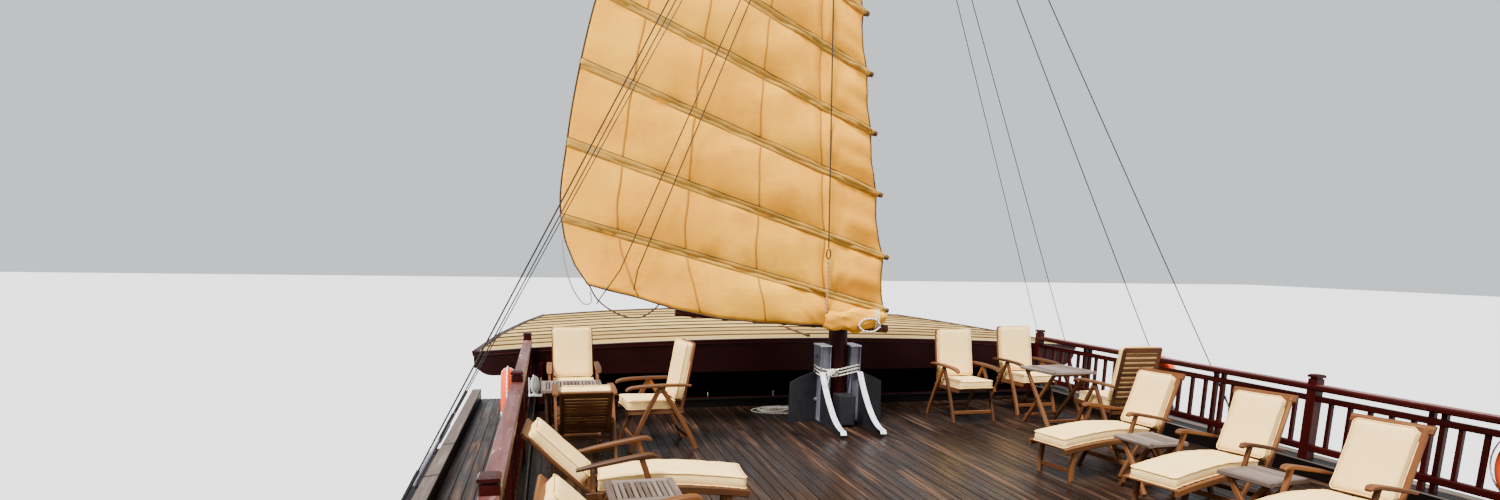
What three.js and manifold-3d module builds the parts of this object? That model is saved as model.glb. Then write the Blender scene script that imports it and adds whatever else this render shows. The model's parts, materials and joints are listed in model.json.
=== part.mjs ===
// A wooden cruise junk with three battened sails, at its real size in millimetres.
// +X is the bow, +Y is port, +Z is up. The origin is on the waterline, amidships on the centreline.
import * as THREE from "three";
import { mergeVertices } from "three/addons/utils/BufferGeometryUtils.js";
import Module from "manifold-3d";

const wasm = await Module();
wasm.setup();

// Driving dimensions
const GAP = 0.3; // clearance between pieces that touch
const DEPTH_BELOW_SHEER = 950; // height of the bulwark above the deck inside it
const BULWARK = 110; // thickness of the bulwark
const UPPER_DECK = 3750; // top of the upper deck above the waterline
const SUNDECK = 6300; // top of the sundeck above the waterline
const POOP_DECK = 7350; // top of the raised deck at the stern
const DECK_THICKNESS = 160;
const SIDE_DECK_DROP = 120; // the planks outside the rails lie lower than the sundeck
const RAIL_HALF = 3340; // the sundeck's rails stand this far from the centreline
const SIDE_DECK_HALF = 4100;
const SUNDECK_FRONT = 9100;
const SUNDECK_BACK = -12900;
const POOP_FRONT = -9300;
const ROOF_FRONT = 13600;
const ROOF_BACK = 9360;
const FOREMAST_X = 8000;

// Finishes
const MAROON = 0x4a1512;
const FINISHES = {
  hull: [0x2b1a14, 0.6, 0],
  maroon: [MAROON, 0.45, 0],
  deck: [0x3b2a22, 0.55, 0],
  roof: [0xb7a58a, 0.85, 0],
  teak: [0x8a5a35, 0.6, 0],
  sail: [0xd9a553, 0.9, 0],
  bamboo: [0x4a3020, 0.7, 0],
  wire: [0x2a2a2c, 0.6, 0.3],
  galvanised: [0x8b8f92, 0.5, 0.7],
  bronze: [0xa47a3c, 0.35, 0.9],
  iron: [0x1c1c1e, 0.6, 0.5],
  lifebuoy: [0xe2571e, 0.5, 0],
  rope: [0xe6e0d2, 0.95, 0],
};

// Solids

function solidOf(geometry) {
  const bare = geometry.index ? geometry.toNonIndexed() : geometry.clone();
  bare.deleteAttribute("normal");
  bare.deleteAttribute("uv");
  const merged = mergeVertices(bare, 1e-3);
  return new wasm.Manifold(
    new wasm.Mesh({
      numProp: 3,
      vertProperties: merged.attributes.position.array,
      triVerts: new Uint32Array(merged.index.array),
    }),
  );
}

function geometryOf(solid) {
  const mesh = solid.getMesh();
  return new THREE.BufferGeometry()
    .setAttribute("position", new THREE.BufferAttribute(new Float32Array(mesh.vertProperties), 3))
    .setIndex(new THREE.BufferAttribute(new Uint32Array(mesh.triVerts), 1));
}

const join = (solids) => solids.reduce((sum, next) => sum.add(next));

// A box between two corners.
function box([x0, y0, z0], [x1, y1, z1]) {
  const geometry = new THREE.BoxGeometry(Math.abs(x1 - x0), Math.abs(y1 - y0), Math.abs(z1 - z0));
  return solidOf(geometry.translate((x0 + x1) / 2, (y0 + y1) / 2, (z0 + z1) / 2));
}

// A round bar or tapered spar between two points.
function bar(from, to, radius, sides = 8, endRadius = radius) {
  const a = new THREE.Vector3(...from);
  const b = new THREE.Vector3(...to);
  const along = b.clone().sub(a);
  const geometry = new THREE.CylinderGeometry(endRadius, radius, along.length(), sides);
  const turn = new THREE.Quaternion().setFromUnitVectors(new THREE.Vector3(0, 1, 0), along.normalize());
  geometry.applyQuaternion(turn).translate((a.x + b.x) / 2, (a.y + b.y) / 2, (a.z + b.z) / 2);
  return solidOf(geometry);
}

// A rectangular timber between two points: width lies level, height stands up from it.
function timber(from, to, width, height) {
  const a = new THREE.Vector3(...from);
  const b = new THREE.Vector3(...to);
  const along = b.clone().sub(a).normalize();
  const upright = Math.abs(along.z) > 0.95 ? new THREE.Vector3(1, 0, 0) : new THREE.Vector3(0, 0, 1);
  const across = upright.clone().cross(along).normalize();
  const up = along.clone().cross(across);
  const basis = new THREE.Matrix4().makeBasis(along, across, up);
  const middle = a.clone().add(b).multiplyScalar(0.5);
  const geometry = new THREE.BoxGeometry(a.distanceTo(b), width, height).applyMatrix4(basis);
  return solidOf(geometry.translate(middle.x, middle.y, middle.z));
}

// A level slab: an outline of [x, y] points between two heights.
function slab(outline, low, high) {
  const shape = new THREE.Shape(outline.map(([x, y]) => new THREE.Vector2(x, y)));
  const geometry = new THREE.ExtrudeGeometry(shape, { depth: high - low, bevelEnabled: false });
  return solidOf(geometry.translate(0, 0, low));
}

// An upright plate across the ship: an outline of [y, z] points between two stations.
function plateAcross(outline, back, front) {
  const shape = new THREE.Shape(outline.map(([y, z]) => new THREE.Vector2(y, z)));
  const geometry = new THREE.ExtrudeGeometry(shape, { depth: front - back, bevelEnabled: false });
  const basis = new THREE.Matrix4().makeBasis(
    new THREE.Vector3(0, 1, 0),
    new THREE.Vector3(0, 0, 1),
    new THREE.Vector3(1, 0, 0),
  );
  return solidOf(geometry.applyMatrix4(basis).translate(back, 0, 0));
}

// An upright plate along the ship: an outline of [x, z] points between two distances to port.
function plateAlong(outline, starboard, port) {
  const shape = new THREE.Shape(outline.map(([x, z]) => new THREE.Vector2(x, -z)));
  const geometry = new THREE.ExtrudeGeometry(shape, { depth: port - starboard, bevelEnabled: false });
  return solidOf(geometry.rotateX(-Math.PI / 2).translate(0, starboard, 0));
}

// A closed skin over rings of equal point count, each ring a list of [x, y, z].
function loft(givenRings) {
  const turned = THREE.ShapeUtils.isClockWise(givenRings[0].map(([, y, z]) => new THREE.Vector2(y, z)));
  const rings = turned ? givenRings.map((ring) => [...ring].reverse()) : givenRings;
  const count = rings[0].length;
  const positions = rings.flat(2);
  const faces = [];
  for (let ring = 0; ring + 1 < rings.length; ring += 1) {
    for (let i = 0; i < count; i += 1) {
      const next = (i + 1) % count;
      const a = ring * count + i;
      const b = ring * count + next;
      faces.push(a, b, b + count, a, b + count, a + count);
    }
  }
  const capOf = (ring) => {
    const points = rings[ring].map(([, y, z]) => new THREE.Vector2(y, z));
    return THREE.ShapeUtils.triangulateShape(points, []).map((face) => face.map((i) => i + ring * count));
  };
  capOf(0).forEach(([a, b, c]) => faces.push(a, c, b));
  capOf(rings.length - 1).forEach(([a, b, c]) => faces.push(a, b, c));
  const geometry = new THREE.BufferGeometry()
    .setAttribute("position", new THREE.Float32BufferAttribute(positions, 3))
    .setIndex(faces);
  return solidOf(geometry);
}

const mirrored = (outline) => [...outline, ...outline.map(([x, y]) => [x, -y]).reverse()];

// Hull

// Columns: station, half-breadth at the sheer, height of the sheer, half-breadth at the waterline, keel depth.
const STATIONS = [
  [-15800, 3000, 4150, 2500, 1700],
  [-14600, 3480, 3700, 3050, 750],
  [-12800, 3960, 3250, 3600, -100],
  [-10000, 4330, 2750, 4080, -1500],
  [-5000, 4520, 2300, 4360, -1750],
  [0, 4560, 2150, 4420, -1750],
  [5000, 4520, 2300, 4300, -1700],
  [9000, 4330, 2750, 3900, -1600],
  [12000, 3860, 3300, 2900, -1350],
  [14000, 3160, 3800, 1850, -700],
  [15500, 2200, 4280, 1050, 500],
  [16600, 1160, 4700, 520, 2300],
  [17200, 330, 4950, 220, 3900],
].map(([x, half, sheer, waterHalf, keel]) => ({ x, half, sheer, waterHalf, keel }));

const KEEL_HALF = 130;

// One side of a section, from the keel up to the sheer, as [half-breadth, height].
function sideOf({ half, sheer, waterHalf, keel }) {
  const water = Math.max(300, keel + 0.4 * (sheer - keel));
  const depth = water - keel;
  return [
    [KEEL_HALF, keel],
    [0.6 * waterHalf, keel + 0.24 * depth],
    [0.9 * waterHalf, keel + 0.62 * depth],
    [waterHalf, water],
    [0.45 * waterHalf + 0.55 * half, water + 0.5 * (sheer - water)],
    [half, sheer],
  ];
}

// The section at any station, between the two of the table that it lies between.
function stationAt(x) {
  const after = Math.max(1, STATIONS.findIndex((station) => station.x >= x));
  const [a, b] = [STATIONS[after - 1], STATIONS[after]];
  const share = (x - a.x) / (b.x - a.x);
  const mix = (p, q) => p + share * (q - p);
  const [sideA, sideB] = [sideOf(a), sideOf(b)];
  const side = sideA.map(([y, z], i) => [mix(y, sideB[i][0]), mix(z, sideB[i][1])]);
  const floor = mix(a.sheer, b.sheer) - DEPTH_BELOW_SHEER;
  const upper = side.findIndex(([, z]) => z >= floor);
  const [[y0, z0], [y1, z1]] = [side[upper - 1], side[upper]];
  const floorHalf = y0 + ((y1 - y0) * (floor - z0)) / (z1 - z0);
  return { x, half: mix(a.half, b.half), sheer: mix(a.sheer, b.sheer), side, floor, floorHalf };
}

function hullRing(x) {
  const { side } = stationAt(x);
  const otherSide = side.map(([y, z]) => [-y, z]).reverse();
  return [...side, ...otherSide].map(([y, z]) => [x, y, z]);
}

// The space inside the bulwarks, above the deck that follows the sheer.
function wellRing(x) {
  const { half, sheer, floor, floorHalf } = stationAt(x);
  const bottom = Math.max(floorHalf - BULWARK, 60);
  const top = Math.max(half - BULWARK, 90);
  const ring = [[bottom, floor], [top, sheer], [top, sheer + 500]];
  return [...ring, ...ring.map(([y, z]) => [-y, z]).reverse()].map(([y, z]) => [x, y, z]);
}

const WELL_BACK = STATIONS[0].x + 150;
const WELL_FRONT = 16700;
const RUB_RAIL_DROPS = [230, 800]; // the two rubbing strakes lie this far under the sheer
const PROPELLER_X = -12050;
const PROPELLER_Z = -1190;
const SHAFT_RADIUS = 55;
const RUDDER_X = -13350;
const STOCK_RADIUS = 70;
const CATHEAD_X = 15300;

// A rubbing strake runs along each side, parallel to the sheer.
function rubbingStrake(drop) {
  const stations = STATIONS.slice(1, -1).map(({ x }) => stationAt(x));
  return join(
    [1, -1].map((side) =>
      loft(
        stations.map(({ x, half, sheer }) => {
          const [inner, outer] = [half - 120, half + 55];
          const [low, high] = [sheer - drop - 70, sheer - drop + 70];
          const ring = [[inner, low], [outer, low], [outer, high], [inner, high]];
          return ring.map(([y, z]) => [x, side * y, z]);
        }),
      ),
    ),
  );
}

// Deadwood ahead of the propeller, and the sole piece that carries the rudder's heel.
function sternGear() {
  const deadwood = plateAlong(
    [
      [-9800, -1300],
      [-11650, -450],
      [-11650, -1820],
      [-13450, -1820],
      [-13450, -1950],
      [-9800, -1950],
    ],
    -KEEL_HALF,
    KEEL_HALF,
  );
  const shaftLog = bar([-11000, 0, PROPELLER_Z], [-11800, 0, PROPELLER_Z], 150, 12, 110);
  return deadwood.add(shaftLog);
}

function hull() {
  const inner = STATIONS.map(({ x }) => x).filter((x) => x > WELL_BACK && x < WELL_FRONT);
  const space = loft([WELL_BACK, ...inner, WELL_FRONT].map(wellRing));
  const stem = timber([15400, 0, 350], [17350, 0, 4350], 240, 300);
  const keel = box([-10000, -KEEL_HALF, -1950], [11500, KEEL_HALF, -1500]);
  const solid = join([loft(STATIONS.map(({ x }) => hullRing(x))), stem, keel, sternGear()]);
  const trunk = bar([RUDDER_X, 0, -400], [RUDDER_X, 0, 620], STOCK_RADIUS + 12, 16);
  const catheads = [1, -1].map((side) => box([CATHEAD_X - 60, side * 1900, 4100], [CATHEAD_X + 60, side * 2860, 4260]));
  const shell = solid.subtract(space).subtract(trunk);
  return join([shell, ...RUB_RAIL_DROPS.map(rubbingStrake), ...catheads]);
}

// Whatever stands on the sheered deck is cut to it, a hair above.
const hullSolid = hull();
const onHull = (solid) => solid.subtract(hullSolid.translate([0, 0, GAP]));

// Deckhouses and decks

const planOutline = (xs, halfAt) => mirrored(xs.map((x) => [x, halfAt(x)]));

const LOWER_HOUSE_XS = [-13800, -12800, -10000, -5000, 0, 5000, 9000, 12000, 12900];
const UPPER_DECK_XS = [-14100, -12800, -10000, -5000, 0, 5000, 9000, 12000, 13000];

function lowerHouse() {
  const top = UPPER_DECK - DECK_THICKNESS - GAP;
  const rings = LOWER_HOUSE_XS.map((x) => {
    const { floor, floorHalf } = stationAt(x);
    const wall = floorHalf - 260;
    const foot = floor - 40;
    return [[wall, foot], [wall, top], [-wall, top], [-wall, foot]].map(([y, z]) => [x, y, z]);
  });
  return onHull(loft(rings));
}

function upperDeck() {
  const outline = planOutline(UPPER_DECK_XS, (x) => stationAt(x).half + 60);
  return onHull(slab(outline, UPPER_DECK - DECK_THICKNESS, UPPER_DECK));
}

const UPPER_HOUSE_HALF = 3300;
const UPPER_HOUSE_BACK = -12400;
const UPPER_HOUSE_FRONT = 9000;

function upperHouse() {
  const low = UPPER_DECK + GAP;
  const high = SUNDECK - DECK_THICKNESS - GAP;
  return box([UPPER_HOUSE_BACK, -UPPER_HOUSE_HALF, low], [UPPER_HOUSE_FRONT, UPPER_HOUSE_HALF, high]);
}

const KERB_WIDTH = 110;
const WING_FRONT = 10650; // the side decks run past the sundeck's front edge
const RAIL_KERB = 145; // height of the kerb that the rails stand on
const RAIL_KERB_WIDTH = 130;
const SILL_HEIGHT = 100;
const WELL_HALF = 3262; // the side decks stay this far outside the centreline past the wheelhouse
const RAIL_FRONT = 9230;
const VERANDA_POST = 120;
const VERANDA_POST_Y = 3960; // the posts that carry the side decks stand this far from the centreline
const VERANDA_POST_XS = [-10800, -8450, -6100, -3750, -1400, 950, 3300, 5650, 8000, 10350];

function sundeck() {
  const sideTop = SUNDECK - SIDE_DECK_DROP;
  const base = SUNDECK - DECK_THICKNESS;
  const middle = box([SUNDECK_BACK, -RAIL_HALF - 60, base], [SUNDECK_FRONT, RAIL_HALF + 60, SUNDECK]);
  const sill = box([SUNDECK_FRONT - 90, -3200, SUNDECK - 1], [SUNDECK_FRONT, 3200, SUNDECK + SILL_HEIGHT]);
  const sides = [1, -1].flatMap((side) => [
    box([SUNDECK_BACK, side * (RAIL_HALF - 100), base], [WING_FRONT, side * SIDE_DECK_HALF, sideTop]),
    box(
      [SUNDECK_BACK, side * (SIDE_DECK_HALF - KERB_WIDTH), sideTop - 1],
      [WING_FRONT, side * SIDE_DECK_HALF, SUNDECK + 10],
    ),
    box(
      [POOP_FRONT, side * (RAIL_HALF - RAIL_KERB_WIDTH / 2), sideTop - 1],
      [RAIL_FRONT + 45, side * (RAIL_HALF + RAIL_KERB_WIDTH / 2), SUNDECK + RAIL_KERB],
    ),
  ]);
  const posts = [1, -1].flatMap((side) =>
    VERANDA_POST_XS.map((x) => {
      const [low, high] = [side * (VERANDA_POST_Y - VERANDA_POST / 2), side * (VERANDA_POST_Y + VERANDA_POST / 2)];
      return box([x - VERANDA_POST / 2, low, UPPER_DECK + GAP], [x + VERANDA_POST / 2, high, base + 10]);
    }),
  );
  const [wellBack, wellFront] = [SUNDECK_FRONT + 0.5, WING_FRONT + 10];
  const wheelhouseWell = box([wellBack, -WELL_HALF, base - 10], [wellFront, WELL_HALF, SUNDECK + 400]);
  return join([middle, sill, ...sides]).subtract(wheelhouseWell).add(join(posts));
}

function poopHouse() {
  const walls = box([SUNDECK_BACK + 300, -3250, SUNDECK + GAP], [POOP_FRONT - 200, 3250, POOP_DECK - 100]);
  const deck = box([SUNDECK_BACK - 150, -3500, POOP_DECK - 100], [POOP_FRONT, 3500, POOP_DECK]);
  return walls.add(deck);
}

// Steps from the sundeck up to the poop.
function poopStairs() {
  const rises = 5;
  const rise = (POOP_DECK - SUNDECK) / rises;
  const pieces = [];
  for (let step = 1; step < rises; step += 1) {
    const front = POOP_FRONT + 10 + (rises - step) * 250;
    const top = SUNDECK + step * rise;
    pieces.push(box([POOP_FRONT + 5, 1900, top - 50], [front, 2700, top]));
  }
  [1870, 2700].forEach((y) => {
    pieces.push(
      plateAlong(
        [
          [POOP_FRONT + 5, SUNDECK + GAP],
          [POOP_FRONT + 1250, SUNDECK + GAP],
          [POOP_FRONT + 5, POOP_DECK - 110],
        ],
        y,
        y + 35,
      ),
    );
  });
  return join(pieces);
}

// Wheelhouse

const WHEELHOUSE_BACK = SUNDECK_FRONT + 40;
const WHEELHOUSE_FRONT = 12700;
const WALL = 70;
const ROOF_EDGE = SUNDECK + 660; // top of the roof at its sides
const ROOF_CROWN = SUNDECK + 790; // top of the roof on the centreline
const ROOF_THICKNESS = 80;
const WALL_TOP = ROOF_EDGE - ROOF_THICKNESS - 40;
const WINDOW_LOW = UPPER_DECK + 1150;
const WINDOW_HIGH = UPPER_DECK + 2100;
const DOOR_FRONT = 10900;
const DOOR_WIDTH = 760;
const DOOR_LOW = UPPER_DECK + 150;
const DOOR_HIGH = UPPER_DECK + 2050;
const HINGE_STANDOFF = 5;
const wheelhouseHalfAt = (x) => 3250 - (x - WHEELHOUSE_BACK) * 0.09;

function wheelhouse() {
  const ring = (inset) => {
    const xs = [WHEELHOUSE_BACK + inset, WHEELHOUSE_FRONT - inset];
    return planOutline(xs, (x) => wheelhouseHalfAt(x) - inset);
  };
  const shell = slab(ring(0), UPPER_DECK + GAP, WALL_TOP).subtract(slab(ring(WALL), UPPER_DECK - 10, WALL_TOP + 10));
  const backCut = box([WHEELHOUSE_BACK - 10, -3000, SUNDECK + 90], [WHEELHOUSE_BACK + WALL + 10, 3000, WALL_TOP + 10]);
  const cuts = [backCut];
  for (let i = 0; i < 5; i += 1) {
    const y = (i - 2) * 1050;
    cuts.push(box([WHEELHOUSE_FRONT - 200, y - 440, WINDOW_LOW], [WHEELHOUSE_FRONT + 100, y + 440, WINDOW_HIGH]));
  }
  [1, -1].forEach((side) => {
    [9650, 11350, 12250].forEach((x) => {
      const half = x < 11000 ? 300 : 330;
      cuts.push(box([x - half, side * 2500, WINDOW_LOW], [x + half, side * 3600, WINDOW_HIGH]));
    });
    cuts.push(box([DOOR_FRONT - DOOR_WIDTH, side * 2500, DOOR_LOW - 10], [DOOR_FRONT, side * 3600, DOOR_HIGH + 10]));
  });
  // The top of the walls is open under the roof's after board.
  cuts.push(box([WHEELHOUSE_BACK - 10, -4000, SUNDECK + 300], [ROOF_BACK + 15, 4000, WALL_TOP + 10]));
  return shell.subtract(join(cuts));
}

// A door leaf, hung from its forward edge on pins just outside the wheelhouse side.
function wheelhouseDoor(side) {
  const leaf = box([-DOOR_WIDTH + 10, -side * 10, 0], [-10, -side * WALL, DOOR_HIGH - DOOR_LOW]);
  const light = box([-DOOR_WIDTH + 170, -2 * WALL, 1000], [-170, 2 * WALL, 1700]);
  const knob = bar([-DOOR_WIDTH + 80, -side * 40, 900], [-DOOR_WIDTH + 80, side * 50, 900], 28, 8);
  return leaf.subtract(light).add(knob);
}

function helm() {
  const desk = box([11500, -500, UPPER_DECK + GAP], [11900, 500, UPPER_DECK + 1050]);
  const pieces = [desk, bar([11550, 0, UPPER_DECK + 1150], [11350, 0, UPPER_DECK + 1150], 60, 8)];
  pieces.push(box([11450, -110, UPPER_DECK + 900], [11620, 110, UPPER_DECK + 1230]));
  const rim = new THREE.LatheGeometry(
    [[330, -25], [380, -25], [380, 25], [330, 25], [330, -25]].map(([x, y]) => new THREE.Vector2(x, y)),
    14,
  );
  pieces.push(solidOf(rim.rotateZ(Math.PI / 2).translate(11390, 0, UPPER_DECK + 1150)));
  for (let spoke = 0; spoke < 3; spoke += 1) {
    const angle = (spoke * Math.PI) / 3;
    const [dy, dz] = [440 * Math.cos(angle), 440 * Math.sin(angle)];
    pieces.push(bar([11390, -dy, UPPER_DECK + 1150 - dz], [11390, dy, UPPER_DECK + 1150 + dz], 20, 6));
  }
  return join(pieces);
}

const ROOF_HALF_BACK = 3950;
const ROOF_HALF_FRONT = 3200;
const FASCIA_BOTTOM = SUNDECK + 385;
const FASCIA = 60;

// One board or strip of the roof's cross section, cambered on top.
function roofRing(x, half, thickness) {
  const side = [0, 0.35, 0.7, 1].map((share) => {
    const top = ROOF_CROWN - (ROOF_CROWN - ROOF_EDGE) * share ** 2;
    return [share * half, top];
  });
  const upper = [...side.slice(1).reverse().map(([y, z]) => [-y, z]), ...side];
  const lower = upper.map(([y, z]) => [y, z - thickness]).reverse();
  return [...upper, ...lower].map(([y, z]) => [x, y, z]);
}

function forwardRoof() {
  const skin = loft([
    roofRing(ROOF_BACK, ROOF_HALF_BACK, ROOF_THICKNESS),
    roofRing(11000, 3760, ROOF_THICKNESS),
    roofRing(12500, 3480, ROOF_THICKNESS),
    roofRing(ROOF_FRONT, ROOF_HALF_FRONT, ROOF_THICKNESS),
  ]);
  const board = (half) => {
    const ring = roofRing(0, half, 0).slice(0, 7).map(([, y, z]) => [y, z - 10]);
    const corner = 90;
    return [
      ...ring,
      [half, FASCIA_BOTTOM + 2 * corner],
      [half - corner, FASCIA_BOTTOM + 0.4 * corner],
      [half - 2.4 * corner, FASCIA_BOTTOM],
      [-half + 2.4 * corner, FASCIA_BOTTOM],
      [-half + corner, FASCIA_BOTTOM + 0.4 * corner],
      [-half, FASCIA_BOTTOM + 2 * corner],
    ].reverse();
  };
  const back = plateAcross(board(ROOF_HALF_BACK - 5), ROOF_BACK - FASCIA, ROOF_BACK + 5);
  const front = plateAcross(board(ROOF_HALF_FRONT - 5), ROOF_FRONT - 5, ROOF_FRONT + FASCIA);
  const sides = [1, -1].flatMap((side) =>
    [
      [ROOF_BACK, ROOF_HALF_BACK, 11000, 3760],
      [11000, 3760, 12500, 3480],
      [12500, 3480, ROOF_FRONT, ROOF_HALF_FRONT],
    ].map(([x0, y0, x1, y1]) =>
      timber([x0, side * (y0 - 25), ROOF_EDGE - 100], [x1, side * (y1 - 25), ROOF_EDGE - 100], 60, 190),
    ),
  );
  const beamTop = roofRing(0, 3600, 0).slice(0, 7).map(([, y, z]) => [y, z - 40]);
  const beam = [...beamTop, [3600, ROOF_EDGE - 110], [2600, WALL_TOP + GAP], [-2600, WALL_TOP + GAP], [-3600, ROOF_EDGE - 110]];
  const beams = [9900, 11200, 12500].map((x) => plateAcross([...beam].reverse(), x - 50, x + 50));
  const plateMiddle = WALL_TOP + GAP + 55;
  const wallPlates = [1, -1].map((side) =>
    timber([9500, side * 3050, plateMiddle], [12600, side * 2780, plateMiddle], 60, 110),
  );
  return join([skin, back, front, ...sides, ...beams, ...wallPlates]);
}

// Rails: posts, a top rail, a middle rail and a bottom rail

const RAIL_TOP = 800;
const POST = 90;

const BALUSTER = 34;
const PAIR_SPREAD = 45; // the two stout balusters at mid-bay stand this far either side of it
const BALUSTER_PITCH = 171;

// Thin balusters between the lower rails, and two stout ones at mid-bay that reach the top rail.
function bayOfBalusters(start, length, y, floor, { height, bottom }) {
  const upright = (x, half, low, high) => box([x - half, y - half, low], [x + half, y + half, high]);
  const half = Math.round(Math.abs(length) / 2 / BALUSTER_PITCH);
  const pieces = [];
  for (let n = 1; n < 2 * half; n += 1) {
    const x = start + (n * length) / (2 * half);
    if (n !== half) {
      pieces.push(upright(x, BALUSTER / 2, floor + bottom, floor + height - 120));
    }
  }
  [1, -1].forEach((side) => {
    const x = start + length / 2 + side * PAIR_SPREAD;
    pieces.push(upright(x, BALUSTER / 2 + 4, floor, floor + height - 20));
  });
  return pieces;
}

// Posts stand at every corner of the run and no more than a bay apart between them.
function railRun(corners, floor, { height, bottom, bay = 2000, post = POST, cap = 90, balusters = false }) {
  const pieces = [];
  for (let i = 0; i + 1 < corners.length; i += 1) {
    const [a, b] = [corners[i], corners[i + 1]];
    const length = Math.hypot(b[0] - a[0], b[1] - a[1]);
    const bays = Math.max(1, Math.round(length / bay));
    for (let n = i === 0 ? 0 : 1; n <= bays; n += 1) {
      const x = a[0] + ((b[0] - a[0]) * n) / bays;
      const y = a[1] + ((b[1] - a[1]) * n) / bays;
      pieces.push(box([x - post / 2, y - post / 2, floor], [x + post / 2, y + post / 2, floor + height + cap]));
    }
    if (balusters) {
      for (let n = 0; n < bays; n += 1) {
        const start = a[0] + ((b[0] - a[0]) * n) / bays;
        pieces.push(...bayOfBalusters(start, (b[0] - a[0]) / bays, a[1], floor, { height, bottom }));
      }
    }
    const level = (z, width, thick) => timber([...a, z], [...b, z], width, thick);
    pieces.push(level(floor + height - 25, 100, 50));
    pieces.push(level(floor + height - 120, 50, 50));
    pieces.push(level(floor + bottom, 50, 60));
  }
  return join(pieces);
}

const PORT_BAY = 3075;
const STARBOARD_BAY = 2050;

const sundeckRail = (side) =>
  railRun(
    [
      [RAIL_FRONT, side * RAIL_HALF],
      [POOP_FRONT + 80, side * RAIL_HALF],
    ],
    SUNDECK + RAIL_KERB + GAP,
    { height: RAIL_TOP - RAIL_KERB, bottom: 100, bay: side > 0 ? PORT_BAY : STARBOARD_BAY, balusters: true },
  );

const upperRail = (side) =>
  railRun(
    [-13800, -10000, -5000, 0, 5000, 9000, 11900].map((x) => [x, side * (stationAt(x).half - 20)]),
    UPPER_DECK + GAP,
    { height: 950, bay: 2500, bottom: 130, cap: 40 },
  );

const poopRail = () =>
  railRun(
    [
      [POOP_FRONT - 60, 3440],
      [SUNDECK_BACK - 90, 3440],
      [SUNDECK_BACK - 90, -3440],
      [POOP_FRONT - 60, -3440],
    ],
    POOP_DECK + GAP,
    { height: 900, bay: 1700, bottom: 150, post: 110, cap: 60 },
  );

// Masts, tabernacles and main stays

// Columns: name, station, foot height, masthead height, foot radius, head radius.
const MASTS = Object.fromEntries(
  [
    ["foremast", FOREMAST_X, SUNDECK + 40, SUNDECK + 7750, 108, 70],
    ["mainmast", -3200, SUNDECK + 40, SUNDECK + 10600, 150, 90],
    ["mizzenmast", -12100, POOP_DECK + 40, POOP_DECK + 6300, 90, 60],
  ].map(([name, x, foot, head, footRadius, headRadius]) => [name, { x, foot, head, footRadius, headRadius }]),
);

function mast({ x, foot, head, footRadius, headRadius }) {
  const pole = bar([x, 0, foot], [x, 0, head], footRadius, 16, headRadius);
  const truck = bar([x, 0, head - 60], [x, 0, head + 60], headRadius + 25, 12);
  return pole.add(truck);
}

// Two steel uprights with sloping gussets that hold a mast's foot above the deck.
function tabernacle({ x, foot, footRadius }) {
  const floor = foot - 40 + GAP;
  const inner = footRadius + 4;
  const depth = footRadius + 20;
  const pieces = [box([x - depth - 40, -inner - 130, floor], [x + depth, inner + 130, foot - 1])];
  [1, -1].forEach((side) => {
    const outer = inner + 120;
    pieces.push(box([x - depth, side * inner, floor], [x + depth, side * outer, floor + 860]));
    const edges = [side * (outer - 30), side * outer].sort((a, b) => a - b);
    const gusset = [
      [x - depth + 10, floor],
      [x - depth + 10, floor + 560],
      [x - depth - 60, floor + 560],
      [x - depth - 720, floor + 60],
      [x - depth - 720, floor],
    ];
    pieces.push(plateAlong(gusset, ...edges));
    pieces.push(
      plateAcross(
        [
          [side * (outer - 10), floor],
          [side * (outer + 330), floor],
          [side * (outer - 10), floor + 540],
        ],
        x - 12,
        x + 12,
      ),
    );
  });
  return join(pieces);
}

// Columns: name, mast, side, spread of the feet outside the side deck, stations of the feet.
const SHROUDS = [
  ["fore_shrouds_port", "foremast", 1, 75, [4500, 6300, 7450]],
  ["fore_shrouds_starboard", "foremast", -1, 300, [6850, 7830, 9750, 10450]],
  ["main_shrouds_port", "mainmast", 1, 75, [-4500, -4000, -3500]],
  ["main_shrouds_starboard", "mainmast", -1, 75, [-4500, -4000, -3500]],
].map(([name, mastName, side, spread, feet]) => ({ name, mastName, side, spread, feet }));
// How far the masthead crane lies below the masthead, and how far it reaches aft of the mast.
const CRANES = { foremast: { drop: 180, reach: 300 }, mainmast: { drop: 240, reach: 150 } };
const WIRE_RADIUS = 13;
const CHAINPLATE_Z = SUNDECK - 60;
const CRANE_HALF = 32;

function shrouds({ mastName, side, spread, feet }) {
  const { x, head } = MASTS[mastName];
  const { drop, reach } = CRANES[mastName];
  const y = SIDE_DECK_HALF + spread;
  const top = [x - reach, side * (CRANE_HALF + 24.5), head - drop];
  const wires = feet.map((foot) => bar([foot, side * y, CHAINPLATE_Z], top, WIRE_RADIUS, 6));
  const first = feet[0] - 120;
  const last = feet[feet.length - 1] + 120;
  const inner = side * (SIDE_DECK_HALF + 0.5);
  const channel = box([first, inner, CHAINPLATE_Z - 60], [last, side * (y + 25), CHAINPLATE_Z + 10]);
  const eye = bar([top[0], top[1], top[2] - 40], [top[0], top[1], top[2] + 40], 24, 8);
  return join([...wires, channel, eye]);
}

// The short timber at a masthead that holds its shrouds aft of the sail.
function crane(mastName) {
  const { x, head } = MASTS[mastName];
  const { drop, reach } = CRANES[mastName];
  const z = head - drop;
  return box([x - reach - 30, -CRANE_HALF, z - 35], [x, CRANE_HALF, z + 35]);
}

// Sails

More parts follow.
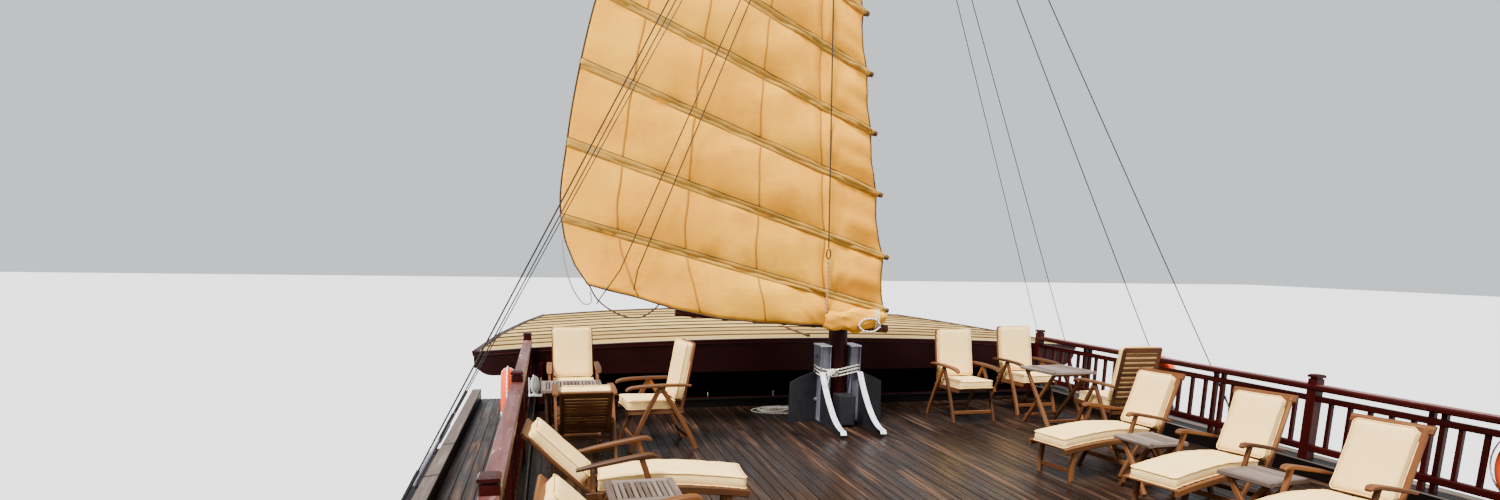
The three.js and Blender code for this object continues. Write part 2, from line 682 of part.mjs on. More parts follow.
// A sail lies in its own plane: out is the distance from the mast towards the leech, up is the height.
// Each row is one spar: luff and leech points as [out, up]. The first is the boom and the last is the yard.
const FORE_SAIL = {
  mast: "foremast",
  plane: 190,
  turn: 0,
  rows: [
    [[-430, 1050], [1780, 1219]],
    [[-430, 1260], [2950, 2140]],
    [[-400, 1830], [2880, 2850]],
    [[-300, 2480], [2740, 3570]],
    [[-210, 3100], [2560, 4230]],
    [[-140, 3680], [2340, 4820]],
    [[-70, 4260], [2080, 5390]],
    [[0, 4830], [1760, 5980]],
    [[60, 5400], [1300, 6840]],
  ],
  // The foot leaves the boom's end and rounds up to the first batten.
  clew: [[2920, 1930], [2830, 1690], [2710, 1500], [2490, 1440], [2270, 1390], [1840, 1290]],
};
const MAIN_SAIL = {
  mast: "mainmast",
  plane: 240,
  turn: Math.PI / 2,
  rows: [
    [[-700, 2350], [4300, 2500]],
    [[-660, 3250], [4480, 3600]],
    [[-600, 4150], [4380, 4700]],
    [[-520, 5050], [4150, 5750]],
    [[-430, 5900], [3800, 6750]],
    [[-330, 6750], [3350, 7700]],
    [[-220, 7600], [2750, 8600]],
    [[-100, 8450], [1700, 9900]],
  ],
};
const MIZZEN_SAIL = {
  mast: "mizzenmast",
  plane: 160,
  turn: Math.PI / 2,
  rows: [
    [[-330, 1500], [2050, 1600]],
    [[-310, 2150], [2160, 2380]],
    [[-270, 2800], [2080, 3160]],
    [[-210, 3450], [1880, 3930]],
    [[-140, 4080], [1560, 4640]],
    [[-60, 4700], [980, 5600]],
  ],
};
const CLOTH = 16;
const BATTEN_RADIUS = 24;
const BOOM_CLEARANCE = 54; // from a spar's centreline to the edge of the cloth
const YARD_CLEARANCE = 52;

// The cloth between the boom and the yard, with the battens that cross it.
function sailCloth({ rows, plane, clew }) {
  const luff = rows.map(([point]) => point);
  const leech = rows.map(([, point]) => point);
  const [footLuff, headLuff] = [luff[0], luff.at(-1)];
  const [footLeech, headLeech] = [leech[0], leech.at(-1)];
  const headSlope = (headLeech[1] - headLuff[1]) / (headLeech[0] - headLuff[0]);
  const underYard = YARD_CLEARANCE * Math.hypot(1, headSlope);
  const outline = [
    [footLuff[0] + 60, footLuff[1] + BOOM_CLEARANCE],
    ...luff.slice(1, -1),
    [headLuff[0], headLuff[1] - underYard],
    [headLeech[0], headLeech[1] - underYard],
    ...leech.slice(1, -1).reverse(),
    ...(clew ?? [[footLeech[0] - 60, footLeech[1] + BOOM_CLEARANCE]]),
  ];
  const shape = new THREE.Shape(outline.map(([out, up]) => new THREE.Vector2(out, up)));
  const geometry = new THREE.ExtrudeGeometry(shape, { depth: CLOTH, bevelEnabled: false });
  const basis = new THREE.Matrix4().makeBasis(
    new THREE.Vector3(0, 1, 0),
    new THREE.Vector3(0, 0, 1),
    new THREE.Vector3(1, 0, 0),
  );
  const cloth = solidOf(geometry.applyMatrix4(basis).translate(-plane - CLOTH / 2, 0, 0));
  const battens = rows.slice(1, -1).map(([a, b]) => {
    return bar([-plane, a[0] - 40, a[1]], [-plane, b[0] + 40, b[1]], BATTEN_RADIUS, 6);
  });
  return join([cloth, ...battens]);
}

const BOOM_RADIUS = 44;

// A round spar along one row of the sail.
function spar({ plane, rows }, row, reach) {
  const [a, b] = rows.at(row);
  const slope = (b[1] - a[1]) / (b[0] - a[0]);
  const before = [a[0] - reach, a[1] - slope * reach];
  const after = [b[0] + reach, b[1] + slope * reach];
  return bar([-plane, ...before], [-plane, ...after], BOOM_RADIUS, 8, BOOM_RADIUS * 0.75);
}

// Rudder and propeller, each about its own axis

function rudder() {
  const blade = plateAlong(
    [
      [60, -1760],
      [60, -60],
      [-1150, 420],
      [-1500, -200],
      [-1400, -1760],
    ],
    -55,
    55,
  );
  const stock = bar([0, 0, -1812], [0, 0, 500], STOCK_RADIUS, 12);
  return blade.add(stock);
}

function propeller() {
  const hub = bar([120, 0, 0], [-240, 0, 0], 105, 12, 60);
  const shaft = bar([240, 0, 0], [100, 0, 0], SHAFT_RADIUS, 12);
  const blades = [0, 1, 2, 3].map((i) => {
    const shape = new THREE.Shape();
    shape.moveTo(-60, 50);
    shape.quadraticCurveTo(-200, 280, -60, 470);
    shape.quadraticCurveTo(100, 510, 160, 340);
    shape.quadraticCurveTo(150, 180, 60, 50);
    const geometry = new THREE.ExtrudeGeometry(shape, { depth: 26, bevelEnabled: false, curveSegments: 4 });
    geometry.translate(0, 0, -13).rotateY(Math.PI / 5).rotateX((i * Math.PI) / 2);
    return solidOf(geometry.translate(-40, 0, 0));
  });
  return join([hub, shaft, ...blades]);
}

// Foredeck gear

function windlass() {
  const { floor } = stationAt(14300);
  const pieces = [
    bar([14300, -650, floor + 480], [14300, 650, floor + 480], 130, 12),
    box([14150, -60, floor - 200], [14450, 60, floor + 620]),
  ];
  [1, -1].forEach((side) => {
    pieces.push(box([14180, side * 380, floor - 200], [14420, side * 470, floor + 600]));
    pieces.push(bar([14300, side * 640, floor + 480], [14300, side * 720, floor + 480], 180, 12));
  });
  return onHull(join(pieces));
}

// An anchor that hangs from its hawse against the bow.
function anchor(side) {
  const [x, y, z] = [CATHEAD_X, side * 2820, 3600];
  const pieces = [
    bar([x, y, z - 600], [x, y, z + 499.5], 45, 8),
    bar([x - 420, y, z - 380], [x, y, z - 620], 55, 8, 60),
    bar([x + 420, y, z - 380], [x, y, z - 620], 55, 8, 60),
    bar([x - 330, y, z + 330], [x + 330, y, z + 330], 34, 8),
  ];
  const fluke = (dir) =>
    plateAlong(
      [
        [x + dir * 430, z - 300],
        [x + dir * 520, z - 430],
        [x + dir * 330, z - 500],
      ].sort((a, b) => a[1] - b[1]),
      y - 90,
      y + 90,
    );
  return join([...pieces, fluke(1), fluke(-1)]);
}

function lifebuoy(x, y, z) {
  const section = new THREE.Path().absarc(252, 0, 58, 0, 2 * Math.PI).getPoints(3);
  const ring = new THREE.LatheGeometry(section, 16);
  return solidOf(ring.translate(x, y, z));
}

// Deck furniture, each piece in its own frame: x forward for the sitter, origin on the deck

const ARMCHAIR_HALF = 251; // the arms and legs stand this far either side of the middle
const LOUNGER_HALF = 255;
const STRETCHER_HEIGHT = 110;
const underFloor = box([-1500, -900, -100], [1500, 900, GAP]);

// A pair of legs that spread from under each arm, with a stretcher between each two feet.
function spreadLegs(pivotX, top, feet, half) {
  const pieces = [];
  feet.forEach((footX) => {
    [1, -1].forEach((side) => pieces.push(timber([pivotX, side * half, top], [footX, side * half, 0], 30, 45)));
    const x = footX + (pivotX - footX) * (STRETCHER_HEIGHT / top);
    pieces.push(timber([x, -half, STRETCHER_HEIGHT], [x, half, STRETCHER_HEIGHT], 24, 40));
  });
  return pieces;
}

// A folding armchair: spread legs, a seat, a raked back with its cushion, and arms.
function armchair(backFoot = [-165, 430], backTop = [-285, 1000]) {
  const half = ARMCHAIR_HALF;
  const arms = [1, -1].map((side) => timber([-240, side * half, 615], [330, side * half, 600], 58, 28));
  const seat = box([-210, -half + 11, 375], [330, half - 11, 460]);
  const back = timber([backFoot[0], 0, backFoot[1]], [backTop[0], 0, backTop[1]], 460, 80);
  return join([...spreadLegs(20, 600, [-320, 310], half), ...arms, seat, back]).subtract(underFloor);
}

// A reclining lounger: a cushioned seat that bends down over the leg rest, a raised back and short arms.
function lounger(backTop = [-670, 865]) {
  const half = LOUNGER_HALF;
  const seat = [
    [560, 270],
    [560, 350],
    [-20, 415],
    [-450, 378],
    [-500, 378],
    [-500, 280],
    [-20, 320],
  ];
  const pieces = [plateAlong(seat, -215, 215), timber([-485, 0, 355], [backTop[0], 0, backTop[1]], 430, 80)];
  [1, -1].forEach((side) => {
    pieces.push(timber([520, side * 170, 0], [500, side * 170, 300], 40, 50));
    pieces.push(timber([-540, side * half, 505], [-120, side * half, 545], 58, 28));
  });
  pieces.push(box([-430, -half, 280], [-395, half, 320]));
  return join([...spreadLegs(-300, 530, [-560, -60], half), ...pieces]).subtract(underFloor);
}

// A square table with a slatted top on two crossed leg frames.
function table(side, height) {
  const half = side / 2;
  const pieces = [box([-half, -half, height - 32], [half, half, height])];
  [1, -1].forEach((end) => {
    const y = end * (half - 60);
    pieces.push(timber([-half + 40, y, 0], [half - 60, y, height - 20], 32, 40));
    pieces.push(timber([half - 40, y, 0], [-half + 60, y, height - 20], 32, 40));
  });
  return join(pieces).subtract(underFloor);
}

// Columns: name, kind, x, y, heading in degrees (0 faces the bow).
const FURNITURE = [
  ["armchair_1", "armchair", 8410, 2850, 180],
  ["armchair_2", "reclinedArmchair", 6850, 2800, 0],
  ["armchair_3", "armchair", 7180, 2110, 96],
  ["armchair_4", "armchair", 7950, -1520, 181],
  ["armchair_5", "armchair", 8260, -2510, 182],
  ["armchair_6", "armchair", 6570, -2500, 0],
  ["table_1", "middleTable", 7520, 2890, 0],
  ["table_2", "lowTable", 4280, 2560, 1],
  ["table_3", "tallTable", 7380, -2360, 4],
  ["table_4", "smallTable", 4960, -1570, 3],
  ["table_5", "smallTable", 3880, -1550, 8],
  ["lounger_1", "reclinedLounger", 4840, 2370, 267],
  ["lounger_2", "reclinedLounger", 3420, 2270, 268],
  ["lounger_3", "lounger", 5550, -1530, 99],
  ["lounger_4", "lounger", 4400, -1540, 104],
  ["lounger_5", "lounger", 3360, -1400, 101],
];

const FURNITURE_MAKERS = {
  armchair: () => armchair(),
  reclinedArmchair: () => armchair([-130, 330], [-545, 700]),
  lounger: () => lounger(),
  reclinedLounger: () => lounger([-860, 720]),
  tallTable: () => table(560, 640),
  middleTable: () => table(580, 545),
  lowTable: () => table(430, 430),
  smallTable: () => table(380, 430),
};

// Rope coil on the deck

function ropeCoil() {
  const section = [[120, 0], [240, 0], [240, 46], [120, 46], [120, 0]].map(([x, y]) => new THREE.Vector2(x, y));
  return solidOf(new THREE.LatheGeometry(section, 24).rotateX(Math.PI / 2));
}

// Assembly

const ship = new THREE.Group();

function place(parent, name, finish, solid, position = [0, 0, 0], heading = 0) {
  const [color, roughness, metalness] = FINISHES[finish];
  const material = new THREE.MeshStandardMaterial({ color, roughness, metalness });
  const mesh = new THREE.Mesh(geometryOf(solid), material);
  mesh.name = name;
  mesh.position.set(...position);
  mesh.rotation.z = heading;
  parent.add(mesh);
}

function placeSail(prefix, sail) {
  const rig = new THREE.Group();
  const { x, foot } = MASTS[sail.mast];
  rig.position.set(x, 0, foot - 40);
  rig.rotation.z = sail.turn;
  place(rig, prefix + "_sail", "sail", sailCloth(sail));
  place(rig, prefix + "_boom", "bamboo", spar(sail, 0, 60));
  place(rig, prefix + "_yard", "bamboo", spar(sail, -1, 120));
  ship.add(rig);
}

place(ship, "hull", "hull", hullSolid);
place(ship, "lower_house", "maroon", lowerHouse());
place(ship, "upper_deck", "deck", upperDeck());
place(ship, "upper_house", "maroon", upperHouse());
place(ship, "sundeck", "deck", sundeck());
place(ship, "poop_house", "maroon", poopHouse());
place(ship, "poop_stairs", "maroon", poopStairs());
place(ship, "wheelhouse", "maroon", wheelhouse());
place(ship, "helm", "teak", helm());
place(ship, "forward_roof", "roof", forwardRoof());
place(ship, "rail_port", "maroon", sundeckRail(1));
place(ship, "rail_starboard", "maroon", sundeckRail(-1));
place(ship, "upper_rail_port", "maroon", upperRail(1));
place(ship, "upper_rail_starboard", "maroon", upperRail(-1));
place(ship, "poop_rail", "maroon", poopRail());
Object.entries(MASTS).forEach(([name, sizes]) => {
  place(ship, name, "maroon", name in CRANES ? mast(sizes).add(crane(name)) : mast(sizes));
  place(ship, name + "_tabernacle", "galvanised", tabernacle(sizes));
});
SHROUDS.forEach((row) => place(ship, row.name, "wire", shrouds(row)));
placeSail("fore", FORE_SAIL);
placeSail("main", MAIN_SAIL);
placeSail("mizzen", MIZZEN_SAIL);
place(ship, "rudder", "hull", rudder(), [RUDDER_X, 0, 0]);
place(ship, "propeller", "bronze", propeller(), [PROPELLER_X, 0, PROPELLER_Z]);
[1, -1].forEach((side) => {
  const name = side > 0 ? "port" : "starboard";
  const heading = side * Math.atan(-0.09);
  const y = side * (wheelhouseHalfAt(DOOR_FRONT) + HINGE_STANDOFF);
  place(ship, "wheelhouse_door_" + name, "maroon", wheelhouseDoor(side), [DOOR_FRONT, y, DOOR_LOW], heading);
  place(ship, "anchor_" + name, "iron", anchor(side));
});
place(ship, "windlass", "iron", windlass());
place(ship, "lifebuoy_port", "lifebuoy", lifebuoy(7000, RAIL_HALF + 113, SUNDECK + 480));
place(ship, "lifebuoy_starboard", "lifebuoy", lifebuoy(7150, -RAIL_HALF - 113, SUNDECK + 500));
place(ship, "rope_coil", "rope", ropeCoil(), [8550, 500, SUNDECK + GAP]);
FURNITURE.forEach(([name, kind, x, y, heading]) => {
  place(ship, name, "teak", FURNITURE_MAKERS[kind](), [x, y, SUNDECK], (heading * Math.PI) / 180);
});

export default ship;
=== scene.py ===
"""The looks of a wooden cruise junk with three battened sails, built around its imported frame.

Everything is in metres: +X is the bow, +Y is port, +Z is up, and the waterline is at zero.
"""

import json
import logging
import math
import random
from collections.abc import Callable, Sequence
from dataclasses import dataclass, field
from enum import Enum

import bmesh
import bpy
import numpy as np
from mathutils import Matrix, Vector

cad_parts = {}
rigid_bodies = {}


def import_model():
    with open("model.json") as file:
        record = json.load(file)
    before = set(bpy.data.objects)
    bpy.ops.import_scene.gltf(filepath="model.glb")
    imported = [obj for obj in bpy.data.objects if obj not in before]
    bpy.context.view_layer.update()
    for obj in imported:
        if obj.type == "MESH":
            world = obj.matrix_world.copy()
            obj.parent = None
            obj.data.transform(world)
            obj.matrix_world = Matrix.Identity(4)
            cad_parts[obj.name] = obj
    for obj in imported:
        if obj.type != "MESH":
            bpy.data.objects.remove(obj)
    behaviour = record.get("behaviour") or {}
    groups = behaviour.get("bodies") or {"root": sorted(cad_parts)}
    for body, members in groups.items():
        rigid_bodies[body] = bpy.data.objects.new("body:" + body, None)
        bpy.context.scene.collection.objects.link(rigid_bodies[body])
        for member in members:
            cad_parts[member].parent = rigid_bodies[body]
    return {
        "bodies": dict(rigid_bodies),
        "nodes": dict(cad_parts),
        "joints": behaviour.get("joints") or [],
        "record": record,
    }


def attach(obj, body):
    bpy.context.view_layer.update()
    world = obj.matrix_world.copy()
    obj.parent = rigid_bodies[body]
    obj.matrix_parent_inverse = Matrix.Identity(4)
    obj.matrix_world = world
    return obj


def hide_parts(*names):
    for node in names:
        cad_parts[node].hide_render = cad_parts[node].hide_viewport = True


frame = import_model()
log = logging.getLogger("junk")

Point = Sequence[float]
Section = Sequence[tuple[float, float]]
UP = Vector((0, 0, 1))
AHEAD = Vector((1, 0, 0))

# The ship's main heights and breadths, as its frame has them
UPPER_DECK = 3.75
SUNDECK = 6.3
POOP_DECK = 7.35
DECK_THICKNESS = 0.16
SIDE_DECK = 6.18
RAIL_HALF = 3.34
SIDE_DECK_HALF = 4.1
WING_INNER = 3.265
SUNDECK_FRONT = 9.1
SUNDECK_BACK = -12.9
POOP_FRONT = -9.3
RAIL_KERB_TOP = 6.445
RAIL_FRONT_END = 9.275
STERN = -15.8
BOW = 17.2
FOREMAST_X = 8.0
MAINMAST_X = -3.2
MIZZENMAST_X = -12.1
FOREMAST_HEAD = SUNDECK + 7.75
MAINMAST_HEAD = SUNDECK + 10.6
MIZZENMAST_HEAD = POOP_DECK + 6.3
FORE_CRANE = (0.18, 0.3)  # its drop below the masthead and its reach aft
MAIN_CRANE = (0.24, 0.15)
DOOR_HINGE_X = 10.9
WHEELHOUSE_TAPER = 0.09  # how much narrower it grows on each side in a metre forward
RUDDER_X = -13.35
PROPELLER = (-12.05, 0, -1.19)
SIDES = (1, -1)


def curve(points: Sequence[Point], steps: int) -> np.ndarray:
    """Draws a smooth curve through points, with a number of steps between each two.

    Args:
        points: The points that it passes through.
        steps: How many steps lie between two of them.

    Returns:
        One row for each drawn point.
    """
    rows = np.array(points, float)
    padded = np.vstack([2 * rows[0] - rows[1], rows, 2 * rows[-1] - rows[-2]])
    drawn = []
    for i in range(len(rows) - 1):
        p, q, r, s = padded[i : i + 4]
        for t in np.arange(steps) / steps:
            bent = (2 * p - 5 * q + 4 * r - s) * t**2 + (3 * q - p - 3 * r + s) * t**3
            drawn.append(0.5 * (2 * q + (r - p) * t + bent))
    return np.array([*drawn, rows[-1]])


def colour(hexadecimal: str) -> tuple[float, float, float, float]:
    """Turns a display colour into the linear colour that a shader takes.

    Args:
        hexadecimal: The colour as six hexadecimal digits.

    Returns:
        Red, green, blue and full opacity.
    """
    shares = [int(hexadecimal[i : i + 2], 16) / 255 for i in (0, 2, 4)]
    red, green, blue = [s / 12.92 if s <= 0.04045 else ((s + 0.055) / 1.055) ** 2.4 for s in shares]
    return red, green, blue, 1.0


class Lay(Enum):
    """Which way the grain of a finish runs."""

    MEMBER = "along each member"
    FORE_AND_AFT = "x"
    UPRIGHT = "z"


class Graph:
    """The node tree of one material, with short calls for the nodes that the finishes share."""

    def __init__(self, name: str) -> None:
        """Makes an empty material around one shader.

        Args:
            name: The material's name.
        """
        self.material = bpy.data.materials.new(name)
        self.material.use_nodes = True
        self.nodes = self.material.node_tree.nodes
        self.links = self.material.node_tree.links
        self.shader = self.nodes["Principled BSDF"]

    def feed(self, socket: bpy.types.NodeSocket, value: object) -> None:
        """Links a socket to another one, or sets it to a plain value.

        Args:
            socket: The input socket.
            value: A link, a number or a colour.
        """
        if isinstance(value, bpy.types.NodeSocket):
            self.links.new(value, socket)
        else:
            socket.default_value = value

    def surface(self, **values: object) -> None:
        """Sets the shader's own sockets; an underscore stands for the space in a socket's name."""
        for name, value in values.items():
            self.feed(self.shader.inputs[name.replace("_", " ")], value)

    def place(self, lay: Lay, stretch: Point) -> bpy.types.NodeSocket:
        """Gives a texture's coordinates, in metres times the stretch.

        Args:
            lay: The way that the grain runs, which becomes the first coordinate.
            stretch: How many times each coordinate is repeated in a metre.

        Returns:
            A vector socket: along the grain, across it, and through it.
        """
        mapping = self.nodes.new("ShaderNodeMapping")
        mapping.inputs["Scale"].default_value = stretch
        if lay is Lay.MEMBER:
            source = self.nodes.new("ShaderNodeAttribute")
            source.attribute_name = "grain"
            self.links.new(source.outputs["Vector"], mapping.inputs["Vector"])
            return mapping.outputs["Vector"]
        source = self.nodes.new("ShaderNodeTexCoord")
        split = self.nodes.new("ShaderNodeSeparateXYZ")
        joined = self.nodes.new("ShaderNodeCombineXYZ")
        self.links.new(source.outputs["Object"], split.inputs["Vector"])
        order = {Lay.FORE_AND_AFT: "XYZ", Lay.UPRIGHT: "ZXY"}[lay]
        for target, axis in zip("XYZ", order):
            self.links.new(split.outputs[axis], joined.inputs[target])
        self.links.new(joined.outputs["Vector"], mapping.inputs["Vector"])
        return mapping.outputs["Vector"]

    def member(self, part: int) -> bpy.types.NodeSocket:
        """Gives one part of the grain attribute: 0 along, 1 around, 2 the member's own number.

        Args:
            part: The number of the part.

        Returns:
            A value socket.
        """
        source = self.nodes.new("ShaderNodeAttribute")
        source.attribute_name = "grain"
        split = self.nodes.new("ShaderNodeSeparateXYZ")
        self.links.new(source.outputs["Vector"], split.inputs["Vector"])
        return split.outputs[part]

    def noise(self, place: bpy.types.NodeSocket, scale: float = 1.0, detail: float = 5.0, rough: float = 0.55,
              warp: float = 0.0) -> bpy.types.NodeSocket:
        """Adds a noise and gives its value, around one half.

        Args:
            place: The texture's coordinates.
            scale: How many times they are enlarged.
            detail: The number of finer layers.
            rough: The strength of the finer layers.
            warp: How much the pattern is distorted.

        Returns:
            A value socket.
        """
        node = self.nodes.new("ShaderNodeTexNoise")
        self.links.new(place, node.inputs["Vector"])
        node.inputs["Scale"].default_value = scale
        node.inputs["Detail"].default_value = detail
        node.inputs["Roughness"].default_value = rough
        node.inputs["Distortion"].default_value = warp
        return node.outputs["Fac"]

    def bands(self, place: bpy.types.NodeSocket, scale: float, warp: float = 0.0, direction: str = "X",
              profile: str = "SIN") -> bpy.types.NodeSocket:
        """Adds even bands and gives their value, from 0 to 1.

        Args:
            place: The texture's coordinates.
            scale: How many times they are enlarged.
            warp: How much the bands are distorted.
            direction: The axis that they cross.
            profile: The shape of each band.

        Returns:
            A value socket.
        """
        node = self.nodes.new("ShaderNodeTexWave")
        node.bands_direction = direction
        node.wave_profile = profile
        self.links.new(place, node.inputs["Vector"])
        node.inputs["Scale"].default_value = scale
        node.inputs["Distortion"].default_value = warp
        return node.outputs["Fac"]

    def cells(self, place: bpy.types.NodeSocket, scale: float) -> bpy.types.NodeSocket:
        """Adds a cell pattern and gives the distance to each cell's centre.

        Args:
            place: The texture's coordinates.
            scale: How many times they are enlarged.

        Returns:
            A value socket.
        """
        node = self.nodes.new("ShaderNodeTexVoronoi")
        self.links.new(place, node.inputs["Vector"])
        node.inputs["Scale"].default_value = scale
        return node.outputs["Distance"]

    def sharpen(self, value: bpy.types.NodeSocket, low: float, high: float, to_low: float = 0.0,
                to_high: float = 1.0) -> bpy.types.NodeSocket:
        """Maps a value from low..high to to_low..to_high, clamped.

        Args:
            value: The value to map.
            low: The value that becomes to_low.
            high: The value that becomes to_high.
            to_low: The lowest result.
            to_high: The highest result.

        Returns:
            A value socket.
        """
        node = self.nodes.new("ShaderNodeMapRange")
        self.links.new(value, node.inputs["Value"])
        for name, number in (("From Min", low), ("From Max", high), ("To Min", to_low), ("To Max", to_high)):
            node.inputs[name].default_value = number
        return node.outputs["Result"]

    def mix(self, share: object, first: object, second: object) -> bpy.types.NodeSocket:
        """Mixes two colours by a share and gives the mixed colour.

        Args:
            share: How much of the second colour shows.
            first: The first colour.
            second: The second colour.

        Returns:
            A colour socket.
        """
        node = self.nodes.new("ShaderNodeMix")
        node.data_type = "RGBA"
        self.feed(node.inputs[0], share)
        self.feed(node.inputs[6], first)
        self.feed(node.inputs[7], second)
        return node.outputs[2]

    def sum(self, operation: str, first: object, second: object = 0.0) -> bpy.types.NodeSocket:
        """Adds one arithmetic node and gives its value.

        Args:
            operation: The name of the arithmetic.
            first: The first number.
            second: The second number.

        Returns:
            A value socket.
        """
        node = self.nodes.new("ShaderNodeMath")
        node.operation = operation
        self.feed(node.inputs[0], first)
        self.feed(node.inputs[1], second)
        return node.outputs[0]

    def bump(self, height: bpy.types.NodeSocket, depth: float, strength: float = 1.0) -> None:
        """Raises the surface by a height of 0 to 1 times a depth in metres.

        Args:
            height: The height, from 0 to 1.
            depth: How far the surface rises at a height of 1.
            strength: How strongly it shows.
        """
        node = self.nodes.new("ShaderNodeBump")
        node.inputs["Strength"].default_value = strength
        node.inputs["Distance"].default_value = depth
        self.links.new(height, node.inputs["Height"])
        self.links.new(node.outputs["Normal"], self.shader.inputs["Normal"])


@dataclass(frozen=True)
class Wood:
    """Bare, oiled or wet timber: streaks along the grain, a tone for each member, and worn patches."""

    name: str
    dark: str
    light: str
    streak: str
    lay: Lay = Lay.MEMBER
    spread: float = 0.5
    streaks: float = 0.35
    gloss: tuple[float, float] = (0.45, 0.7)
    relief: float = 0.0008
    shine: float = 0.16

    def make(self) -> bpy.types.Material:
        """Builds the material.

        Returns:
            The new material.
        """
        g = Graph(self.name)
        fibres = g.noise(g.place(self.lay, (2.2, 60.0, 11.0)), detail=6.0, rough=0.62, warp=0.3)
        bands = g.noise(g.place(self.lay, (0.55, 13.0, 7.0)), detail=4.0, rough=0.6, warp=0.8)
        patches = g.noise(g.place(self.lay, (0.8, 2.2, 5.0)), detail=5.0, rough=0.65)
        tone = g.sharpen(patches, 0.3, 0.7)
        if self.lay is Lay.MEMBER:
            tone = g.sum("ADD", g.sum("MULTIPLY", g.member(2), 0.7), g.sum("MULTIPLY", tone, 0.3))
        base = g.mix(g.sum("MULTIPLY", tone, self.spread * 2), colour(self.dark), colour(self.light))
        grained = g.mix(g.sharpen(fibres, 0.42, 0.72, 0.0, 0.55), base, colour(self.dark))
        marks = g.sum("MULTIPLY", g.sharpen(bands, 0.52, 0.68), g.sharpen(patches, 0.38, 0.62))
        worn = g.mix(g.sum("MULTIPLY", marks, self.streaks * 2), grained, colour(self.streak))
        rough = g.sharpen(g.sum("ADD", g.sum("MULTIPLY", fibres, 0.4), g.sum("MULTIPLY", patches, 0.6)),
                          0.35, 0.65, *self.gloss)
        g.surface(Base_Color=worn, Roughness=rough, Specular_IOR_Level=self.shine)
        g.bump(g.sum("ADD", fibres, g.sum("MULTIPLY", bands, 0.8)), self.relief)
        return g.material


@dataclass(frozen=True)
class Paint:
    """Brushed paint over timber, faded in patches, with bare wood in a few worn places."""

    name: str
    body: str
    faded: str
    bare: str
    lay: Lay = Lay.MEMBER
    wear: float = 0.25
    gloss: tuple[float, float] = (0.32, 0.5)
    boards: float = 0.0
    relief: float = 0.0007
    shine: float = 0.12
    groove: str = "120706"

    def make(self) -> bpy.types.Material:
        """Builds the material.

        Returns:
            The new material.
        """
        g = Graph(self.name)
        strokes = g.noise(g.place(self.lay, (1.6, 42.0, 42.0)), detail=4.0, rough=0.6)
        clouds = g.noise(g.place(self.lay, (0.7, 1.9, 1.9)), detail=5.0, rough=0.7, warp=0.4)
        chips = g.noise(g.place(self.lay, (5.0, 26.0, 26.0)), detail=6.0, rough=0.7)
        faded = g.mix(g.sharpen(clouds, 0.35, 0.7, 0.0, 0.85), colour(self.body), colour(self.faded))
        brushed = g.mix(g.sharpen(strokes, 0.4, 0.75, 0.0, 0.35), faded, colour(self.body))
        limit = 0.72 - 0.14 * self.wear
        places = g.sum("MULTIPLY", g.sharpen(chips, limit, limit + 0.05), g.sharpen(clouds, 0.45, 0.6))
        height = g.sum("ADD", strokes, g.sum("MULTIPLY", places, -1.6))
        worn = g.mix(places, brushed, colour(self.bare))
        if self.boards:
            joint = g.bands(g.place(self.lay, (1.0, 1.0, 1.0)), math.pi / 10 / self.boards, direction="Y")
            groove = g.sharpen(joint, 0.0, 0.02)
            worn = g.mix(groove, colour(self.groove), worn)
            height = g.sum("ADD", height, g.sum("MULTIPLY", groove, 3.0))
        g.surface(Base_Color=worn, Roughness=g.sharpen(strokes, 0.3, 0.7, *self.gloss),
                  Specular_IOR_Level=self.shine)
        g.bump(height, self.relief)
        return g.material


@dataclass(frozen=True)
class Metal:
    """Cast, forged or galvanised metal with mottling and stains."""

    name: str
    body: str
    shade: str
    stain: str
    metallic: float = 0.85
    gloss: tuple[float, float] = (0.35, 0.6)
    spots: float = 0.3

    def make(self) -> bpy.types.Material:
        """Builds the material.

        Returns:
            The new material.
        """
        g = Graph(self.name)
        place = g.place(Lay.FORE_AND_AFT, (1.0, 1.0, 1.0))
        spangle = g.cells(place, 55.0)
        mottle = g.noise(place, 9.0, 6.0, 0.65)
        rust = g.noise(place, 17.0, 8.0, 0.75, 0.5)
        base = g.mix(g.sharpen(mottle, 0.35, 0.65), colour(self.body), colour(self.shade))
        stained = g.mix(g.sharpen(rust, 0.68 - 0.2 * self.spots, 0.74), base, colour(self.stain))
        g.surface(Base_Color=stained, Metallic=self.metallic,
                  Roughness=g.sharpen(spangle, 0.0, 0.9, *self.gloss))
        g.bump(g.sum("ADD", mottle, g.sum("MULTIPLY", rust, 0.7)), 0.0008)
        return g.material


